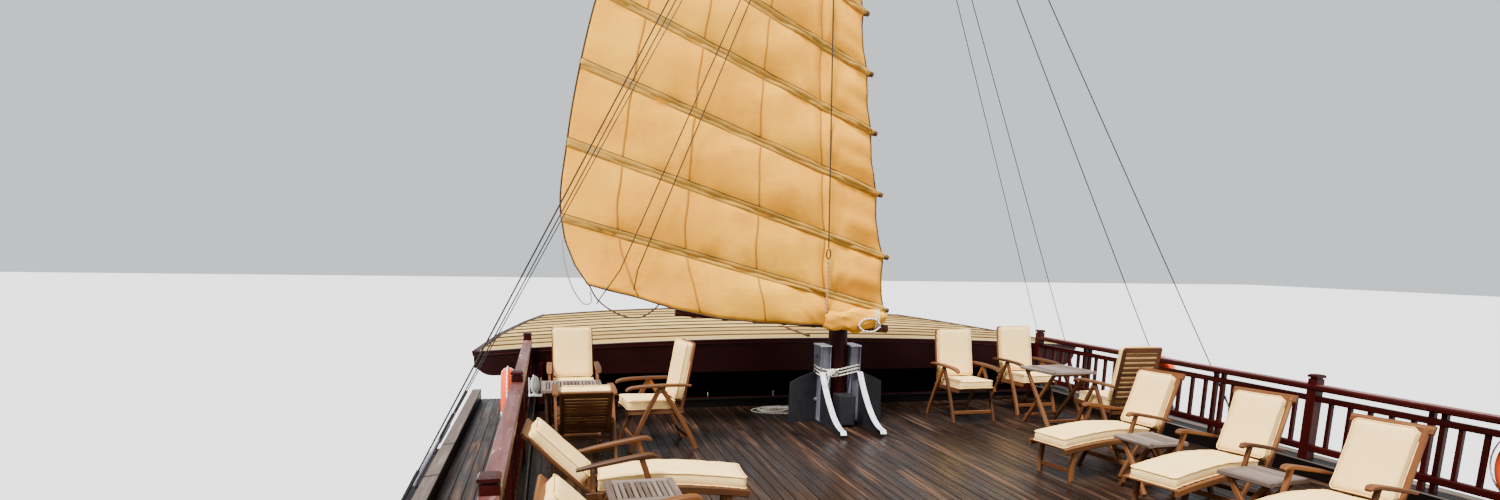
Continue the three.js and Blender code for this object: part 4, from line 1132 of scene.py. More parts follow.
@dataclass
class Railing:
    """A run of posts and rails with balusters between them."""

    name: str
    node: str
    floor: float
    height: float
    bottom: float
    bays: int
    corners: tuple[tuple[float, float], ...]
    post: float = 0.09
    cap: float = 0.09
    baluster: float = 0.034
    between: int = 10
    pair: bool = True
    cap_levels: tuple[tuple[float, float], ...] = (
        (0.96, -0.045),
        (0.72, -0.04),
        (0.72, -0.032),
        (1.08, -0.028),
        (1.08, -0.012),
        (0.85, 0.0),
    )

    def stretches(self) -> list[tuple[Vector, Vector, int]]:
        """Gives each straight stretch with its number of bays.

        Returns:
            Its start, its end and its number of bays.
        """
        points = [Vector((x, y, 0)) for x, y in self.corners]
        whole = sum((b - a).length for a, b in zip(points, points[1:]))
        return [(a, b, max(1, round(self.bays * (b - a).length / whole))) for a, b in zip(points, points[1:])]

    def top_cap(self, maker: MeshMaker, foot: Vector) -> None:
        """Puts a rounded head on a post.

        Args:
            maker: The piece that gets the members.
            foot: The middle of the post.
        """
        half = self.post / 2
        top = self.floor + self.height + self.cap
        rings = []
        for size, drop in self.cap_levels:
            r = half * size
            corners = [(r, -r), (r, r), (-r, r), (-r, -r)]
            rings.append([(foot.x + x, foot.y + y, top + drop) for x, y in corners])
        maker.skin(rings)

    def baluster_run(self, maker: MeshMaker, a: Vector, b: Vector) -> None:
        """Fills one bay with thin balusters, and a stout pair at the middle where it has one.

        Args:
            maker: The piece that gets the members.
            a: The post at the bay's start.
            b: The post at its end.
        """
        run = b - a
        places = self.between + 2 if self.pair else self.between + 1
        for n in range(1, places):
            if self.pair and n == places // 2:
                continue
            at = a + run * n / places
            half = self.baluster / 2
            low, high = self.floor + self.bottom, self.floor + self.height - 0.12
            maker.timber((at.x, at.y, low), (at.x, at.y, high), 2 * half, 2 * half, 0.003)
        if self.pair:
            for way in SIDES:
                at = a + run * 0.5 + run.normalized() * 0.045 * way
                maker.timber((at.x, at.y, self.floor), (at.x, at.y, self.floor + self.height - 0.02), 0.042,
                             0.042, 0.004)

    def build(self, finishes: Finishes) -> bpy.types.Object:
        """Builds the railing as one piece.

        Args:
            finishes: The finishes by name.

        Returns:
            The woodwork.
        """
        maker, worn = MeshMaker(len(self.name) * 7), MeshMaker(len(self.name))
        for index, (a, b, bays) in enumerate(self.stretches()):
            for n in range(0 if index == 0 else 1, bays + 1):
                foot = a + (b - a) * n / bays
                half = self.post / 2
                maker.timber((foot.x, foot.y, self.floor),
                             (foot.x, foot.y, self.floor + self.height + self.cap - 0.04),
                             2 * half, 2 * half, 0.006)
                self.top_cap(maker, foot)
            for n in range(bays):
                self.baluster_run(maker, a + (b - a) * n / bays, a + (b - a) * (n + 1) / bays)
            for z, width, thick, chamfer in (
                (self.height - 0.025, 0.1, 0.05, 0.012),
                (self.height - 0.12, 0.05, 0.05, 0.008),
                (self.bottom, 0.05, 0.06, 0.008),
            ):
                maker.timber((a.x, a.y, self.floor + z), (b.x, b.y, self.floor + z), width, thick, chamfer)
            z = self.floor + self.height
            # A thin lighter strip along each top rail: worn paint, and a painted highlight where light falls
            # on the top.
            worn.timber((a.x, a.y, z), (b.x, b.y, z), 0.086, 0.006, 0.0025)
        worn.build(self.name + "_worn_top", finishes["worn_rail"], "ship", "maroon_paint", [self.node])
        return maker.build(self.name, finishes["rail_maroon"], "ship", "maroon_paint", [self.node])


def side_rail(side: int) -> Railing:
    """The sundeck's rail on one side.

    Args:
        side: 1 for port and -1 for starboard.

    Returns:
        The railing, not built yet.
    """
    name = "rail_port" if side > 0 else "rail_starboard"
    corners = ((9.23, side * RAIL_HALF), (-9.22, side * RAIL_HALF))
    bays, between = (6, 16) if side > 0 else (9, 10)
    return Railing(name + "_woodwork", name, RAIL_KERB_TOP, 0.655, 0.1, bays, corners, between=between)


def upper_rail(side: int) -> Railing:
    """The rail around the upper deck on one side, with even balusters.

    Args:
        side: 1 for port and -1 for starboard.

    Returns:
        The railing, not built yet.
    """
    name = "upper_rail_port" if side > 0 else "upper_rail_starboard"
    corners = tuple((x, side * (Station.at(x).half - 0.02))
                    for x in (-13.8, -10.0, -5.0, 0.0, 5.0, 9.0, 11.9))
    return Railing(name + "_woodwork", name, UPPER_DECK, 0.95, 0.13, 11, corners, cap=0.04, between=14,
                   pair=False)


def poop_rail() -> Railing:
    """The rail around three sides of the poop."""
    corners = ((-9.36, 3.44), (-12.99, 3.44), (-12.99, -3.44), (-9.36, -3.44))
    return Railing("poop_rail_woodwork", "poop_rail", POOP_DECK, 0.9, 0.15, 8, corners, 0.11, 0.06,
                   between=9, pair=False)


# The forward roof


@dataclass
class ForwardRoof:
    """The cambered roof over the wheelhouse: athwartships boards, trim and deep edge boards."""

    crown: float = SUNDECK + 0.79
    edge: float = SUNDECK + 0.66
    back: float = 9.36
    front: float = 13.6
    outline: tuple[tuple[float, float], ...] = ((9.3, 3.958), (11.0, 3.76), (12.5, 3.48), (13.7, 3.18))
    board: float = 0.135
    seam: float = 0.017
    fascia_low: float = SUNDECK + 0.385
    steps: int = 14

    def half_at(self, x: float) -> float:
        """Gives the roof's half-breadth at a station.

        Args:
            x: The distance forward of midships.

        Returns:
            The half-breadth.
        """
        for (x0, half0), (x1, half1) in zip(self.outline, self.outline[1:]):
            if x <= x1:
                return half0 + (half1 - half0) * (x - x0) / (x1 - x0)
        return self.outline[-1][1]

    def top_at(self, share: float) -> float:
        """Gives the roof's height at a share of its half-breadth."""
        return self.crown - (self.crown - self.edge) * share * share

    def rise(self, x: float) -> float:
        """Gives how far the roof has risen at a station on its way forward."""
        return 0.1 * (x - self.back) / (self.front - self.back)

    def strip(self, maker: MeshMaker, x0: float, x1: float, low: float, high: float,
              inset: float = 0.0) -> None:
        """A board across the roof that follows its camber.

        Args:
            maker: The piece that gets it.
            x0: The board's after edge.
            x1: Its forward edge.
            low: Its underside below the roof's top.
            high: Its top below the roof's top.
            inset: How far its ends stop inside the roof's edge.
        """
        rings = []
        for i in range(-self.steps, self.steps + 1):
            share = i / self.steps
            z0, z1 = self.top_at(share) + self.rise(x0), self.top_at(share) + self.rise(x1)
            ya, yb = share * (self.half_at(x0) - inset), share * (self.half_at(x1) - inset)
            c = 0.002
            rings.append([(x0, ya, z0 - low), (x0, ya, z0 - high - c), (x0 + c, ya, z0 - high),
                          (x1 - c, yb, z1 - high), (x1, yb, z1 - high - c), (x1, yb, z1 - low)])
        maker.skin(rings)

    def boards(self, finishes: Finishes) -> None:
        """Lays the roof boards over a black underside of painted shade, which also darkens the seams, with
        dark strips of painted shade along some seams.

        Args:
            finishes: The finishes by name.
        """
        maker = MeshMaker(21)
        count = round((self.front - self.back - 0.02) / self.board)
        pitch = (self.front - self.back - 0.02) / count
        for i in range(count):
            x = self.back + 0.01 + i * pitch
            lift = maker.dice.uniform(0, 0.002)
            self.strip(maker, x, x + pitch - self.seam, 0.022, lift, 0.03)
        maker.build("roof_boards", finishes["roof_boards"], "ship", "roof_planks", ["forward_roof"])
        # Dark strips standing proud along every third seam: painted shade for the shaded steps between the
        # boards.
        battens = MeshMaker(27)
        for i in range(2, count - 1, 3):
            x = self.back + 0.01 + (i + 1) * pitch - self.seam
            self.strip(battens, x - 0.012, x + self.seam + 0.012, 0.0, -0.013, 0.03)
        battens.build("roof_battens", finishes["bamboo"], "ship", "roof_planks", ["forward_roof"])
        # The black underside is painted shade: it fills the dark under the roof's edges and shows through the
        # seams.
        under = MeshMaker(22)
        self.strip(under, self.back + 0.002, self.front - 0.002, 0.075, 0.0215, 0.035)
        for x in (9.9, 10.55, 11.2, 11.85, 12.5, 13.15):
            self.strip(under, x - 0.05, x + 0.05, 0.15, 0.0745, 0.2)
        under.build("roof_underside", finishes["black_paint"], "ship", "maroon_paint", ["forward_roof"])

    def edge_board(self, maker: MeshMaker, x0: float, x1: float, half: float) -> None:
        """A deep board across the roof's end, cambered on top and round at its lower corners.

        Args:
            maker: The piece that gets the members.
            x0: Its after face.
            x1: Its forward face.
            half: Its half-breadth.
        """
        shares = [i / 10 for i in range(-10, 11)]
        upper = [(s * half, self.top_at(s) + self.rise(x0) - 0.012) for s in shares]
        radius = 0.2
        turn = [math.pi / 2 * i / 5 for i in range(6)]
        right = [(half - radius + radius * math.cos(t), self.fascia_low + radius - radius * math.sin(t))
                 for t in turn]
        left = [(-y, z) for y, z in reversed(right)]
        outline = [(x0, y, z) for y, z in upper + right + left]
        maker.plate(outline, (x1 - x0, 0, 0))

    def side_line(self, side: int, inset: float, lift: float, x0: float, x1: float) -> list[Point]:
        """Gives a line along the roof's side.

        Args:
            side: 1 for port and -1 for starboard.
            inset: How far inside the roof's edge it lies.
            lift: Its height above the edge.
            x0: Its after end.
            x1: Its forward end.

        Returns:
            The points of the line.
        """
        xs = (x0, 10.2, 11.0, 11.75, 12.5, x1)
        return [(x, side * (self.half_at(x) - inset), self.edge + lift + self.rise(x)) for x in xs]

    def fascias(self, finishes: Finishes) -> None:
        """Builds the edge boards at the back, the front and the sides.

        Args:
            finishes: The finishes by name.
        """
        maker = MeshMaker(23)
        self.edge_board(maker, self.back - 0.06, self.back - 0.01, self.half_at(self.back) - 0.004)
        self.edge_board(maker, self.front + 0.01, self.front + 0.06, self.half_at(self.front) - 0.004)
        for side in SIDES:
            maker.sweep(self.side_line(side, 0.028, -0.1, 9.35, 13.6), chamfered(0.056, 0.185, 0.008))
            maker.timber((9.5, side * 3.05, 6.236), (12.6, side * 2.78, 6.236), 0.06, 0.11)
        maker.build("roof_fascias", finishes["maroon"], "ship", "maroon_paint", ["forward_roof"])
        edging, trim = MeshMaker(26), MeshMaker(24)
        for x0, x1 in ((self.back - 0.066, self.back + 0.004), (self.front - 0.004, self.front + 0.066)):
            self.strip(edging, x0, x1, 0.036, -0.005)
            self.strip(trim, x0 - 0.003, x1 + 0.003, 0.044, 0.034)
        for side in SIDES:
            edging.sweep(self.side_line(side, 0.02, 0.003, 9.34, 13.62), chamfered(0.07, 0.02, 0.006))
            trim.sweep(self.side_line(side, 0.02, -0.012, 9.34, 13.62), chamfered(0.076, 0.01, 0.003))
        edging.build("roof_edging", finishes["maroon"], "ship", "maroon_paint", ["forward_roof"])
        trim.build("roof_trim", finishes["rail_maroon"], "ship", "maroon_paint", ["forward_roof"])

    def boat_hook(self, finishes: Finishes) -> None:
        """Lays a boat-hook on the roof.

        Args:
            finishes: The finishes by name.
        """
        maker = MeshMaker(25)
        maker.turned([(0.02, 0), (0.026, 0.01), (0.02, 0.03)], (9.47, -0.14, 7.103), AHEAD, 10)
        maker.tube([(9.5, -0.14, 7.106), (10.0, -0.13, 7.118), (10.5, -0.12, 7.13)], 0.012)
        hook = [(10.5, -0.12, 7.13), (10.58, -0.117, 7.132), (10.62, -0.09, 7.132), (10.6, -0.06, 7.132)]
        maker.tube(hook, 0.008, 6)
        maker.build("boat_hook", finishes["bamboo"], "ship", "dark_bamboo")

    def build(self, finishes: Finishes) -> None:
        """Builds the whole roof.

        Args:
            finishes: The finishes by name.
        """
        self.boards(finishes)
        self.fascias(finishes)
        self.boat_hook(finishes)


# Masts


@dataclass
class Mast:
    """A round tapered mast with bands, its masthead fittings and the steel tabernacle at its foot."""

    name: str
    x: float
    foot: float
    head: float
    foot_radius: float
    head_radius: float
    crane_drop: float = 0.0
    crane_reach: float = 0.0

    def pole(self, finishes: Finishes) -> None:
        """Builds the pole with its bands and truck.

        Args:
            finishes: The finishes by name.
        """
        maker = MeshMaker(31)
        height = self.head - self.foot
        profile = []
        for i in range(25):
            share = i / 24
            radius = self.foot_radius + (self.head_radius - self.foot_radius) * share ** 1.25
            profile.append((radius, share * height))
        maker.turned(profile, (self.x, 0, self.foot), sides=28)
        cap = self.head_radius
        maker.turned([(cap + 0.004, 0), (cap + 0.024, 0.012), (cap + 0.025, 0.09), (cap, 0.115),
                      (0.02, 0.12)],
                     (self.x, 0, self.head - 0.06), sides=20)
        if self.crane_reach:
            z = self.head - self.crane_drop
            maker.block((self.x - self.crane_reach - 0.03, -0.032, z - 0.035), (self.x, 0.032, z + 0.035),
                        0.008)
        maker.build(self.name + "_pole", finishes["rail_maroon"], "ship", "maroon_paint", [self.name])
        bands = MeshMaker(32)
        for share in (0.16, 0.42, 0.7, 0.94):
            radius = self.foot_radius + (self.head_radius - self.foot_radius) * share ** 1.25
            z = self.foot + share * height
            bands.turned([(radius - 0.004, 0), (radius + 0.006, 0.002), (radius + 0.006, 0.058),
                          (radius - 0.004, 0.06)],
                         (self.x, 0, z), sides=28)
        bands.build(self.name + "_bands", finishes["iron"], "ship", "black_iron")

    def tabernacle(self, finishes: Finishes) -> None:
        """Builds the uprights, flanged gussets, pivot bolt and base that hold the mast's foot.

        Args:
            finishes: The finishes by name.
        """
        maker, flanges, webs = MeshMaker(33), MeshMaker(35), MeshMaker(36)
        floor = self.foot - 0.04 + 0.0005
        inner = self.foot_radius + 0.006
        depth = self.foot_radius + 0.02
        outer = inner + 0.115
        for side in SIDES:
            y0, y1 = sorted((side * inner, side * outer))
            x0, x1 = self.x - depth, self.x + depth
            for face_y in (y0 + 0.006, y1 - 0.006):
                maker.block((x0, face_y - 0.006, floor), (x1, face_y + 0.006, floor + 0.86), 0.003)
            maker.block((x1 - 0.012, y0 + 0.011, floor), (x1, y1 - 0.011, floor + 0.855), 0.002)
            maker.block((x0 + 0.03, y0 + 0.011, floor + 0.02), (x0 + 0.042, y1 - 0.011, floor + 0.855), 0.002)
            flanges.block((x0 - 0.006, y0 - 0.002, floor + 0.848), (x1 + 0.006, y1 + 0.004, floor + 0.862),
                          0.003)
            y = side * (outer - 0.012)
            web = [(x0 + 0.006, y, floor), (x0 + 0.006, y, floor + 0.56)]
            flange = []
            for i in range(13):
                t = i / 12
                x = x0 - 0.03 - 0.69 * t
                z = floor + 0.56 - 0.5 * math.sin(t * math.pi / 2) ** 0.85
                web.append((x, y, z))
                flange.append((x, y, z + 0.004))
            web.append((x0 - 0.72, y, floor))
            webs.plate(web, (0, side * 0.01, 0))
            flanges.sweep([(x0 + 0.004, y, floor + 0.565), *flange, (x0 - 0.75, y, floor + 0.03)],
                        chamfered(0.062, 0.01, 0.003), AHEAD)
            plate = [(outer - 0.004, floor), (outer - 0.004, floor + 0.57), (outer + 0.2, floor + 0.5),
                     (outer + 0.31, floor + 0.44), (outer + 0.32, floor)]
            webs.plate([(self.x, side * y, z) for y, z in plate], (0.014, 0, 0))
            for z in (floor + 0.25, floor + 0.74):
                maker.turned([(0.022, 0), (0.022, 0.018), (0.012, 0.018), (0.012, 0.03)],
                             (self.x, side * (outer + 0.0005), z), Vector((0, side, 0)), sides=6)
        webs.block((self.x - depth - 0.04, -inner - 0.13, floor - 0.0002),
                   (self.x + depth, inner + 0.13, floor + 0.03), 0.004)
        for dx in (-1, 1):
            for dy in (-1, 1):
                maker.turned([(0.016, 0), (0.016, 0.014)],
                             (self.x + dx * (depth - 0.03), dy * (inner + 0.115), floor + 0.029),
                             sides=6)
        webs.block((x0 - 0.26, -inner * 0.8, floor + 0.03), (x0 - 0.02, inner * 0.8, floor + 0.34), 0.012)
        node = self.name + "_tabernacle"
        for part, finish, mesh in (
            ("steel", "galvanised", maker),
            ("flanges", "worn_steel", flanges),
            # The webs and the base take a darkened copy of the galvanised steel: painted shade.
            ("webs", "dark_steel", webs),
        ):
            mesh.build(f"{node}_{part}", finishes[finish], "ship", "galvanised_steel", [node])

    def lashing(self, finishes: Finishes) -> None:
        """Winds white rope around the mast and the uprights.

        Args:
            finishes: The finishes by name.
        """
        maker = MeshMaker(34)
        depth = self.foot_radius + 0.035
        side_y = self.foot_radius + 0.135
        path = []
        turns = 3
        for i in range(turns * 20 + 1):
            angle = 2 * math.pi * i / 20
            lean = 0.5 + 0.11 * i / (turns * 20)
            squeeze = (abs(math.cos(angle)) ** 4 + abs(math.sin(angle)) ** 4) ** -0.25
            sag = -0.022 * (1 + math.sin(0.31 * i)) * abs(math.cos(angle)) ** 3
            path.append((self.x + depth * math.cos(angle) * squeeze, side_y * math.sin(angle) * squeeze,
                         self.foot + lean + 0.012 * math.sin(2 * angle) + sag))
        maker.tube(path, 0.0075)
        for i in range(3):
            knot = [(self.x - depth - 0.015 + 0.02 * math.cos(t + i), 0.1 + 0.06 * math.sin(t),
                     self.foot + 0.53 + 0.035 * math.sin(2 * t + i))
                    for t in round_turn(12)]
            maker.tube(knot, 0.008, loop=True)
        tail = [(self.x - depth - 0.02, 0.14, self.foot + 0.52),
                (self.x - depth - 0.05, 0.17, self.foot + 0.42),
                (self.x - depth - 0.045, 0.16, self.foot + 0.3),
                (self.x - depth - 0.03, 0.18, self.foot + 0.2)]
        maker.tube(tail, 0.007)
        maker.build(self.name + "_lashing", finishes["white_rope"], "ship", "white_rope")

    def build(self, finishes: Finishes) -> None:
        """Builds the mast with its foot.

        Args:
            finishes: The finishes by name.
        """
        self.pole(finishes)
        self.tabernacle(finishes)
        self.lashing(finishes)


MASTS = (
    Mast("foremast", FOREMAST_X, SUNDECK + 0.04, FOREMAST_HEAD, 0.108, 0.07, *FORE_CRANE),
    Mast("mainmast", MAINMAST_X, SUNDECK + 0.04, MAINMAST_HEAD, 0.15, 0.09, *MAIN_CRANE),
    Mast("mizzenmast", MIZZENMAST_X, POOP_DECK + 0.04, MIZZENMAST_HEAD, 0.09, 0.06),
)


# Sails


Row = tuple[tuple[float, float], tuple[float, float]]


@dataclass
class Sail:
    """A battened sail: panels of cloth that belly between the battens, with its spars and edge ropes."""

    name: str
    body: str
    x: float
    base: float
    plane: float
    turned: bool
    rows: tuple[Row, ...]
    foot: tuple[tuple[float, float], ...] = ()
    clew: tuple[tuple[float, float], ...] = ()
    belly: float = 0.075
    seams: tuple[float, ...] = (0.2, 0.42, 0.64, 0.84)
    foot_rise: float = 0.06
    boom: float = 0.044
    batten: float = 0.024
    rope_at: float = 0.2
    across: int = 120
    panel_steps: int = 14

    def __post_init__(self) -> None:
        """Draws the leech as one smooth curve through the battens' ends."""
        first = self.foot[-1] if self.foot else self.rows[0][1]
        self.leech = curve([first, *[leech for _, leech in self.rows[1:]]], 12)

    def at(self, out: float, up: float, aft: float = 0.0) -> Vector:
        """Gives the place of a point in the sail's own plane.

        Args:
            out: Distance from the mast towards the leech.
            up: Height above the mast's deck.
            aft: Distance out of the plane, away from the mast.

        Returns:
            The point in the ship's frame.
        """
        away = -self.plane - aft
        if self.turned:
            return Vector((self.x - out, away, self.base + up))
        return Vector((self.x + away, out, self.base + up))

    def edges(self, level: float) -> Row:
        """Gives the luff and leech points at a level, where each batten is a whole number.

        Args:
            level: The level, in panels from the boom up.

        Returns:
            The luff point and the leech point.
        """
        i = min(int(level), len(self.rows) - 2)
        share = level - i
        low, high = self.rows[i][0], self.rows[i + 1][0]
        hollow = (0.08 if i == 0 else 0.06) * math.dist(low, high) * math.sin(math.pi * share)
        spots = np.arange(len(self.leech)) / 12
        leech = (float(np.interp(level, spots, self.leech[:, 0])),
                 float(np.interp(level, spots, self.leech[:, 1])))
        return (low[0] + (high[0] - low[0]) * share + hollow, low[1] + (high[1] - low[1]) * share), leech

    def low_panel(self, share: float, across: float) -> tuple[float, float]:
        """Gives a point of the lowest panel of a sail whose foot runs up to a rounded clew.

        Args:
            share: How far up from the foot.
            across: From 0 at the luff to 1 at the leech.

        Returns:
            The point as (out, up).
        """
        outs, ups = zip(*self.foot)
        out = outs[0] + (outs[-1] - outs[0]) * across
        low = np.array((out, np.interp(out, outs, ups)))
        luff, leech = (np.array(point) for point in self.rows[1])
        high = luff + (leech - luff) * across
        point = low + (high - low) * share
        rise = self.clew[0][1] + (self.clew[-1][1] - self.clew[0][1]) * share
        edge = np.array((np.interp(rise, [z for _, z in self.clew], [y for y, _ in self.clew]), rise))
        straight = np.array(self.clew[0]) + (np.array(self.clew[-1]) - np.array(self.clew[0])) * share
        point += (edge - straight) * across**4
        point[0] += 0.016 * math.sin(math.pi * share) * (1 - across) ** 6
        return float(point[0]), float(point[1])

    def cloth_level(self, row: int, share: float, across: float) -> tuple[float, float]:
        """Gives a point of the cloth between two battens.

        Args:
            row: The batten below.
            share: How far from it to the next one.
            across: From 0 at the luff to 1 at the leech.

        Returns:
            The point as (out, up), with the first and last panels cut clear of their spars.
        """
        if row == 0 and self.foot:
            return self.low_panel(share, across)
        luff, leech = self.edges(row + share)
        out = luff[0] + (leech[0] - luff[0]) * across
        up = luff[1] + (leech[1] - luff[1]) * across
        if row == 0:
            up += (1 - share) * self.foot_rise * (1.0 + 2.2 * across**6)
            out -= (1 - share) ** 2 * 0.1 * across**8
        if row == len(self.rows) - 2:
            slope = (self.rows[-1][1][1] - self.rows[-1][0][1]) / (self.rows[-1][1][0] - self.rows[-1][0][0])
            up -= share * (self.boom + 0.012) * math.hypot(1, slope)
        return out, up

    def swell(self, row: int, share: float, across: float) -> float:
        """Gives how far the cloth stands aft of its plane.

        Args:
            row: The batten below.
            share: How far from it to the next one.
            across: From 0 at the luff to 1 at the leech.

        Returns:
            The distance.
        """
        ends = min(1.0, max(0.0, across))
        rise = math.sin(math.pi * share) ** 0.7 * math.sin(math.pi * ends) ** 0.5
        near_luff = math.exp(-(((across - 0.05) / 0.09) ** 2))
        ripple = 1 + 0.25 * math.sin(5 * math.pi * share + row)
        gather = 0.035 * near_luff * math.sin(math.pi * share) * ripple
        puckers = 0.015 * math.sin(27 * across + 1.7 * row) + 0.008 * math.sin(49 * across + 3.1 * row)
        puckers *= abs(2 * share - 1) ** 2
        soft = 0.018 * math.sin(5.1 * across * (1 + 0.2 * row) + 2.3 * row) * math.sin(math.pi * share)
        from_rope = across - self.rope_at
        pinch = -0.022 * math.exp(-((from_rope / 0.016) ** 2)) * math.sin(math.pi * share) ** 0.4
        fan = 0.016 * math.exp(-((from_rope / 0.08) ** 2)) * math.sin(75 * from_rope / (0.3 + share))
        fan *= 1 - share
        tucks = 0.009 * math.exp(-share / 0.16) * math.sin(58 * across + 2.0 * math.sin(7 * across + row))
        upper = 69 * across + 1.5 * math.sin(9 * across) + row
        tucks += 0.008 * math.exp((share - 1) / 0.13) * math.sin(upper)
        tucks += 0.006 * math.sin(21 * (across + 0.35 * share) + 2.2 * row) * math.sin(math.pi * share)
        slack = 0.0
        if row == 0:
            slack = 0.013 * (1 - share) ** 2 * math.sin(24 * across) * math.sin(math.pi * ends)
        hang = 0.06 * (1 - share) ** 3 * min(1.0, 12 * ends) if row == 0 and self.foot else 0.0
        near_leech = 1 - 0.7 * across**3
        folds = puckers + soft + pinch + fan * math.sin(math.pi * share) + tucks + slack
        return hang + gather + near_leech * (self.belly * rise + folds)

    def panel_height(self, row: int, across: float) -> float:
        """Gives a panel's height at a share of its breadth."""
        return math.dist(self.cloth_level(row, 0.0, across), self.cloth_level(row, 1.0, across))

    def surface(self, row: int, share: float, across: float, off: float = 0.0) -> Vector:
        """Gives a point on the cloth, or off it on its after side."""
        out, up = self.cloth_level(row, share, across)
        return self.at(out, up, self.swell(row, share, across) + off)

    def cloth(self, finishes: Finishes) -> None:
        """Builds the cloth as one surface, made 3 mm thick.

        Args:
            finishes: The finishes by name.
        """
        maker = MeshMaker(41)
        grid = []
        for row in range(len(self.rows) - 1):
            for step in range(self.panel_steps + (1 if row == len(self.rows) - 2 else 0)):
                grid.append((row, step / self.panel_steps))
        rings = [[self.surface(row, share, i / self.across) for i in range(self.across + 1)] for row,
                 share in grid]
        start = maker.skin(rings, closed=False, caps=False, tone=0.5, plain=True)
        flat = [self.cloth_level(row, share, i / self.across) for row,
                share in grid for i in range(self.across + 1)]
        corners = [index for face in maker.faces for index in face]
        maker.grain = [(flat[index - start][0] + 5, flat[index - start][1], 0.5) for index in corners]
        piece = maker.build(self.name + "_sail_cloth", finishes["sailcloth"], self.body, "sailcloth",
                            [self.name + "_sail"], angle=180, solid=False)
        thick = piece.modifiers.new("thickness", "SOLIDIFY")
        thick.thickness = 0.003
        thick.offset = 0

    def batten_sleeves(self, finishes: Finishes) -> None:
        """Sews a sleeve over each batten, flat along the leech side and puffed near the luff.

        Args:
            finishes: The finishes by name.
        """
        maker = MeshMaker(42)
        for row in range(1, len(self.rows) - 1):
            rings = []
            for i in range(121):
                across = i / 120
                puff = 0.009 + 0.03 * math.exp(-((across / 0.2) ** 2))
                puff += 0.016 * math.exp(-(((across - self.rope_at - 0.09) / 0.05) ** 2))
                puff *= 1 + 0.2 * math.sin(61 * across + row * 2.1) + 0.12 * math.sin(143 * across)
                half = 0.041 * (1 + 0.1 * math.sin(47 * across + row) * math.exp(-across * 3))
                ring = []
                for j in range(11):
                    s = -1 + 2 * j / 10
                    height = puff * (1 - s * s) ** 0.6 + 0.003
                    part = abs(s) * half / self.panel_height(row if s > 0 else row - 1, across)
                    place = (row, part) if s >= 0 else (row - 1, 1 - part)
                    ring.append(self.surface(*place, across, height))
                rings.append(ring)
            maker.skin(rings, closed=False, caps=False)
        piece = maker.build(self.name + "_batten_sleeves", finishes["batten_cloth"], self.body, "sailcloth",
                            [self.name + "_sail"], angle=180, solid=False)
        thick = piece.modifiers.new("thickness", "SOLIDIFY")
        thick.thickness = 0.002
        thick.offset = 1

    def seam_strips(self, finishes: Finishes) -> None:
        """Lays the overlapped seams down the cloth, panel by panel, and a dark cord along each sleeve's upper
        edge: its stitching, and a painted shadow line under the cloth above.

        Args:
            finishes: The finishes by name.
        """
        maker, dark = MeshMaker(43), MeshMaker(48)
        for row in range(len(self.rows) - 1):
            for place in self.seams:
                rings = []
                for step in range(13):
                    share = 0.03 + 0.94 * step / 12
                    sway = place + 0.0012 * math.sin(11 * share + 3 * row)
                    rings.append([self.surface(row, share, sway + side * 0.003, 0.004 if j else 0.0016)
                                  for side, j in ((-1, 0), (-0.9, 1), (0.9, 1), (1, 0))])
                maker.skin(rings, closed=False, caps=False, plain=True, tone=0.4)
            # The dark cord over each sleeve: stitching, and a painted shadow line where the cloth above
            # overhangs.
            if row:
                shares = [0.045 / self.panel_height(row, i / 60) for i in range(61)]
                dark.tube([self.surface(row, share, i / 60, 0.004) for i, share in enumerate(shares)],
                          0.0035, 5)
        piece = maker.build(self.name + "_sail_seams", finishes["seam_cloth"], self.body, "sailcloth",
                            [self.name + "_sail"], angle=180, solid=False)
        thick = piece.modifiers.new("thickness", "SOLIDIFY")
        thick.thickness = 0.001
        thick.offset = -1
        dark.build(self.name + "_sleeve_edges", finishes["tan_rope"], self.body, "white_rope",
                   [self.name + "_sail"])

    def battens(self, finishes: Finishes) -> None:
        """Builds the battens on the far side of the cloth, with their ends showing at both edges.

        Args:
            finishes: The finishes by name.
        """
        maker, knots = MeshMaker(44), MeshMaker(49)
        for row in range(1, len(self.rows) - 1):
            luff, leech = self.rows[row]
            run = Vector((leech[0] - luff[0], leech[1] - luff[1])).normalized()
            count = 26
            path, sizes = [], []
            for i in range(count + 1):
                share = i / count
                reach = -0.05 + share * (math.dist(luff, leech) + 0.04)
                path.append(self.at(luff[0] + run.x * reach, luff[1] + run.y * reach, -self.batten + 0.002))
                sizes.append((1.0 if i % 4 else 1.14) * (1.05 - 0.35 * share))
            maker.tube(path, self.batten * 0.9, sizes=sizes)
            lumps = [(-0.03, 0.5), (-0.015, 0.9), (0.015, 1.0), (0.05, 0.8), (0.09, 0.9), (0.13, 0.5)]
            wound = [self.at(luff[0] + run.x * s, luff[1] + run.y * s + 0.005 * math.sin(70 * s + row), 0.01)
                     for s, _ in lumps]
            knots.tube(wound, 0.03, 12, sizes=[size for _, size in lumps])
            knob = [(-0.075, 0.5), (-0.07, 1.0), (-0.045, 1.15), (-0.02, 0.9)]
            maker.tube([self.at(luff[0] + run.x * s, luff[1] + run.y * s, 0.004) for s, _ in knob], 0.024, 12,
                       sizes=[size for _, size in knob])
        maker.build(self.name + "_battens", finishes["bamboo"], self.body, "dark_bamboo",
                    [self.name + "_sail"])
        knots.build(self.name + "_batten_knots", finishes["batten_cloth"], self.body, "sailcloth",
                    [self.name + "_sail"])

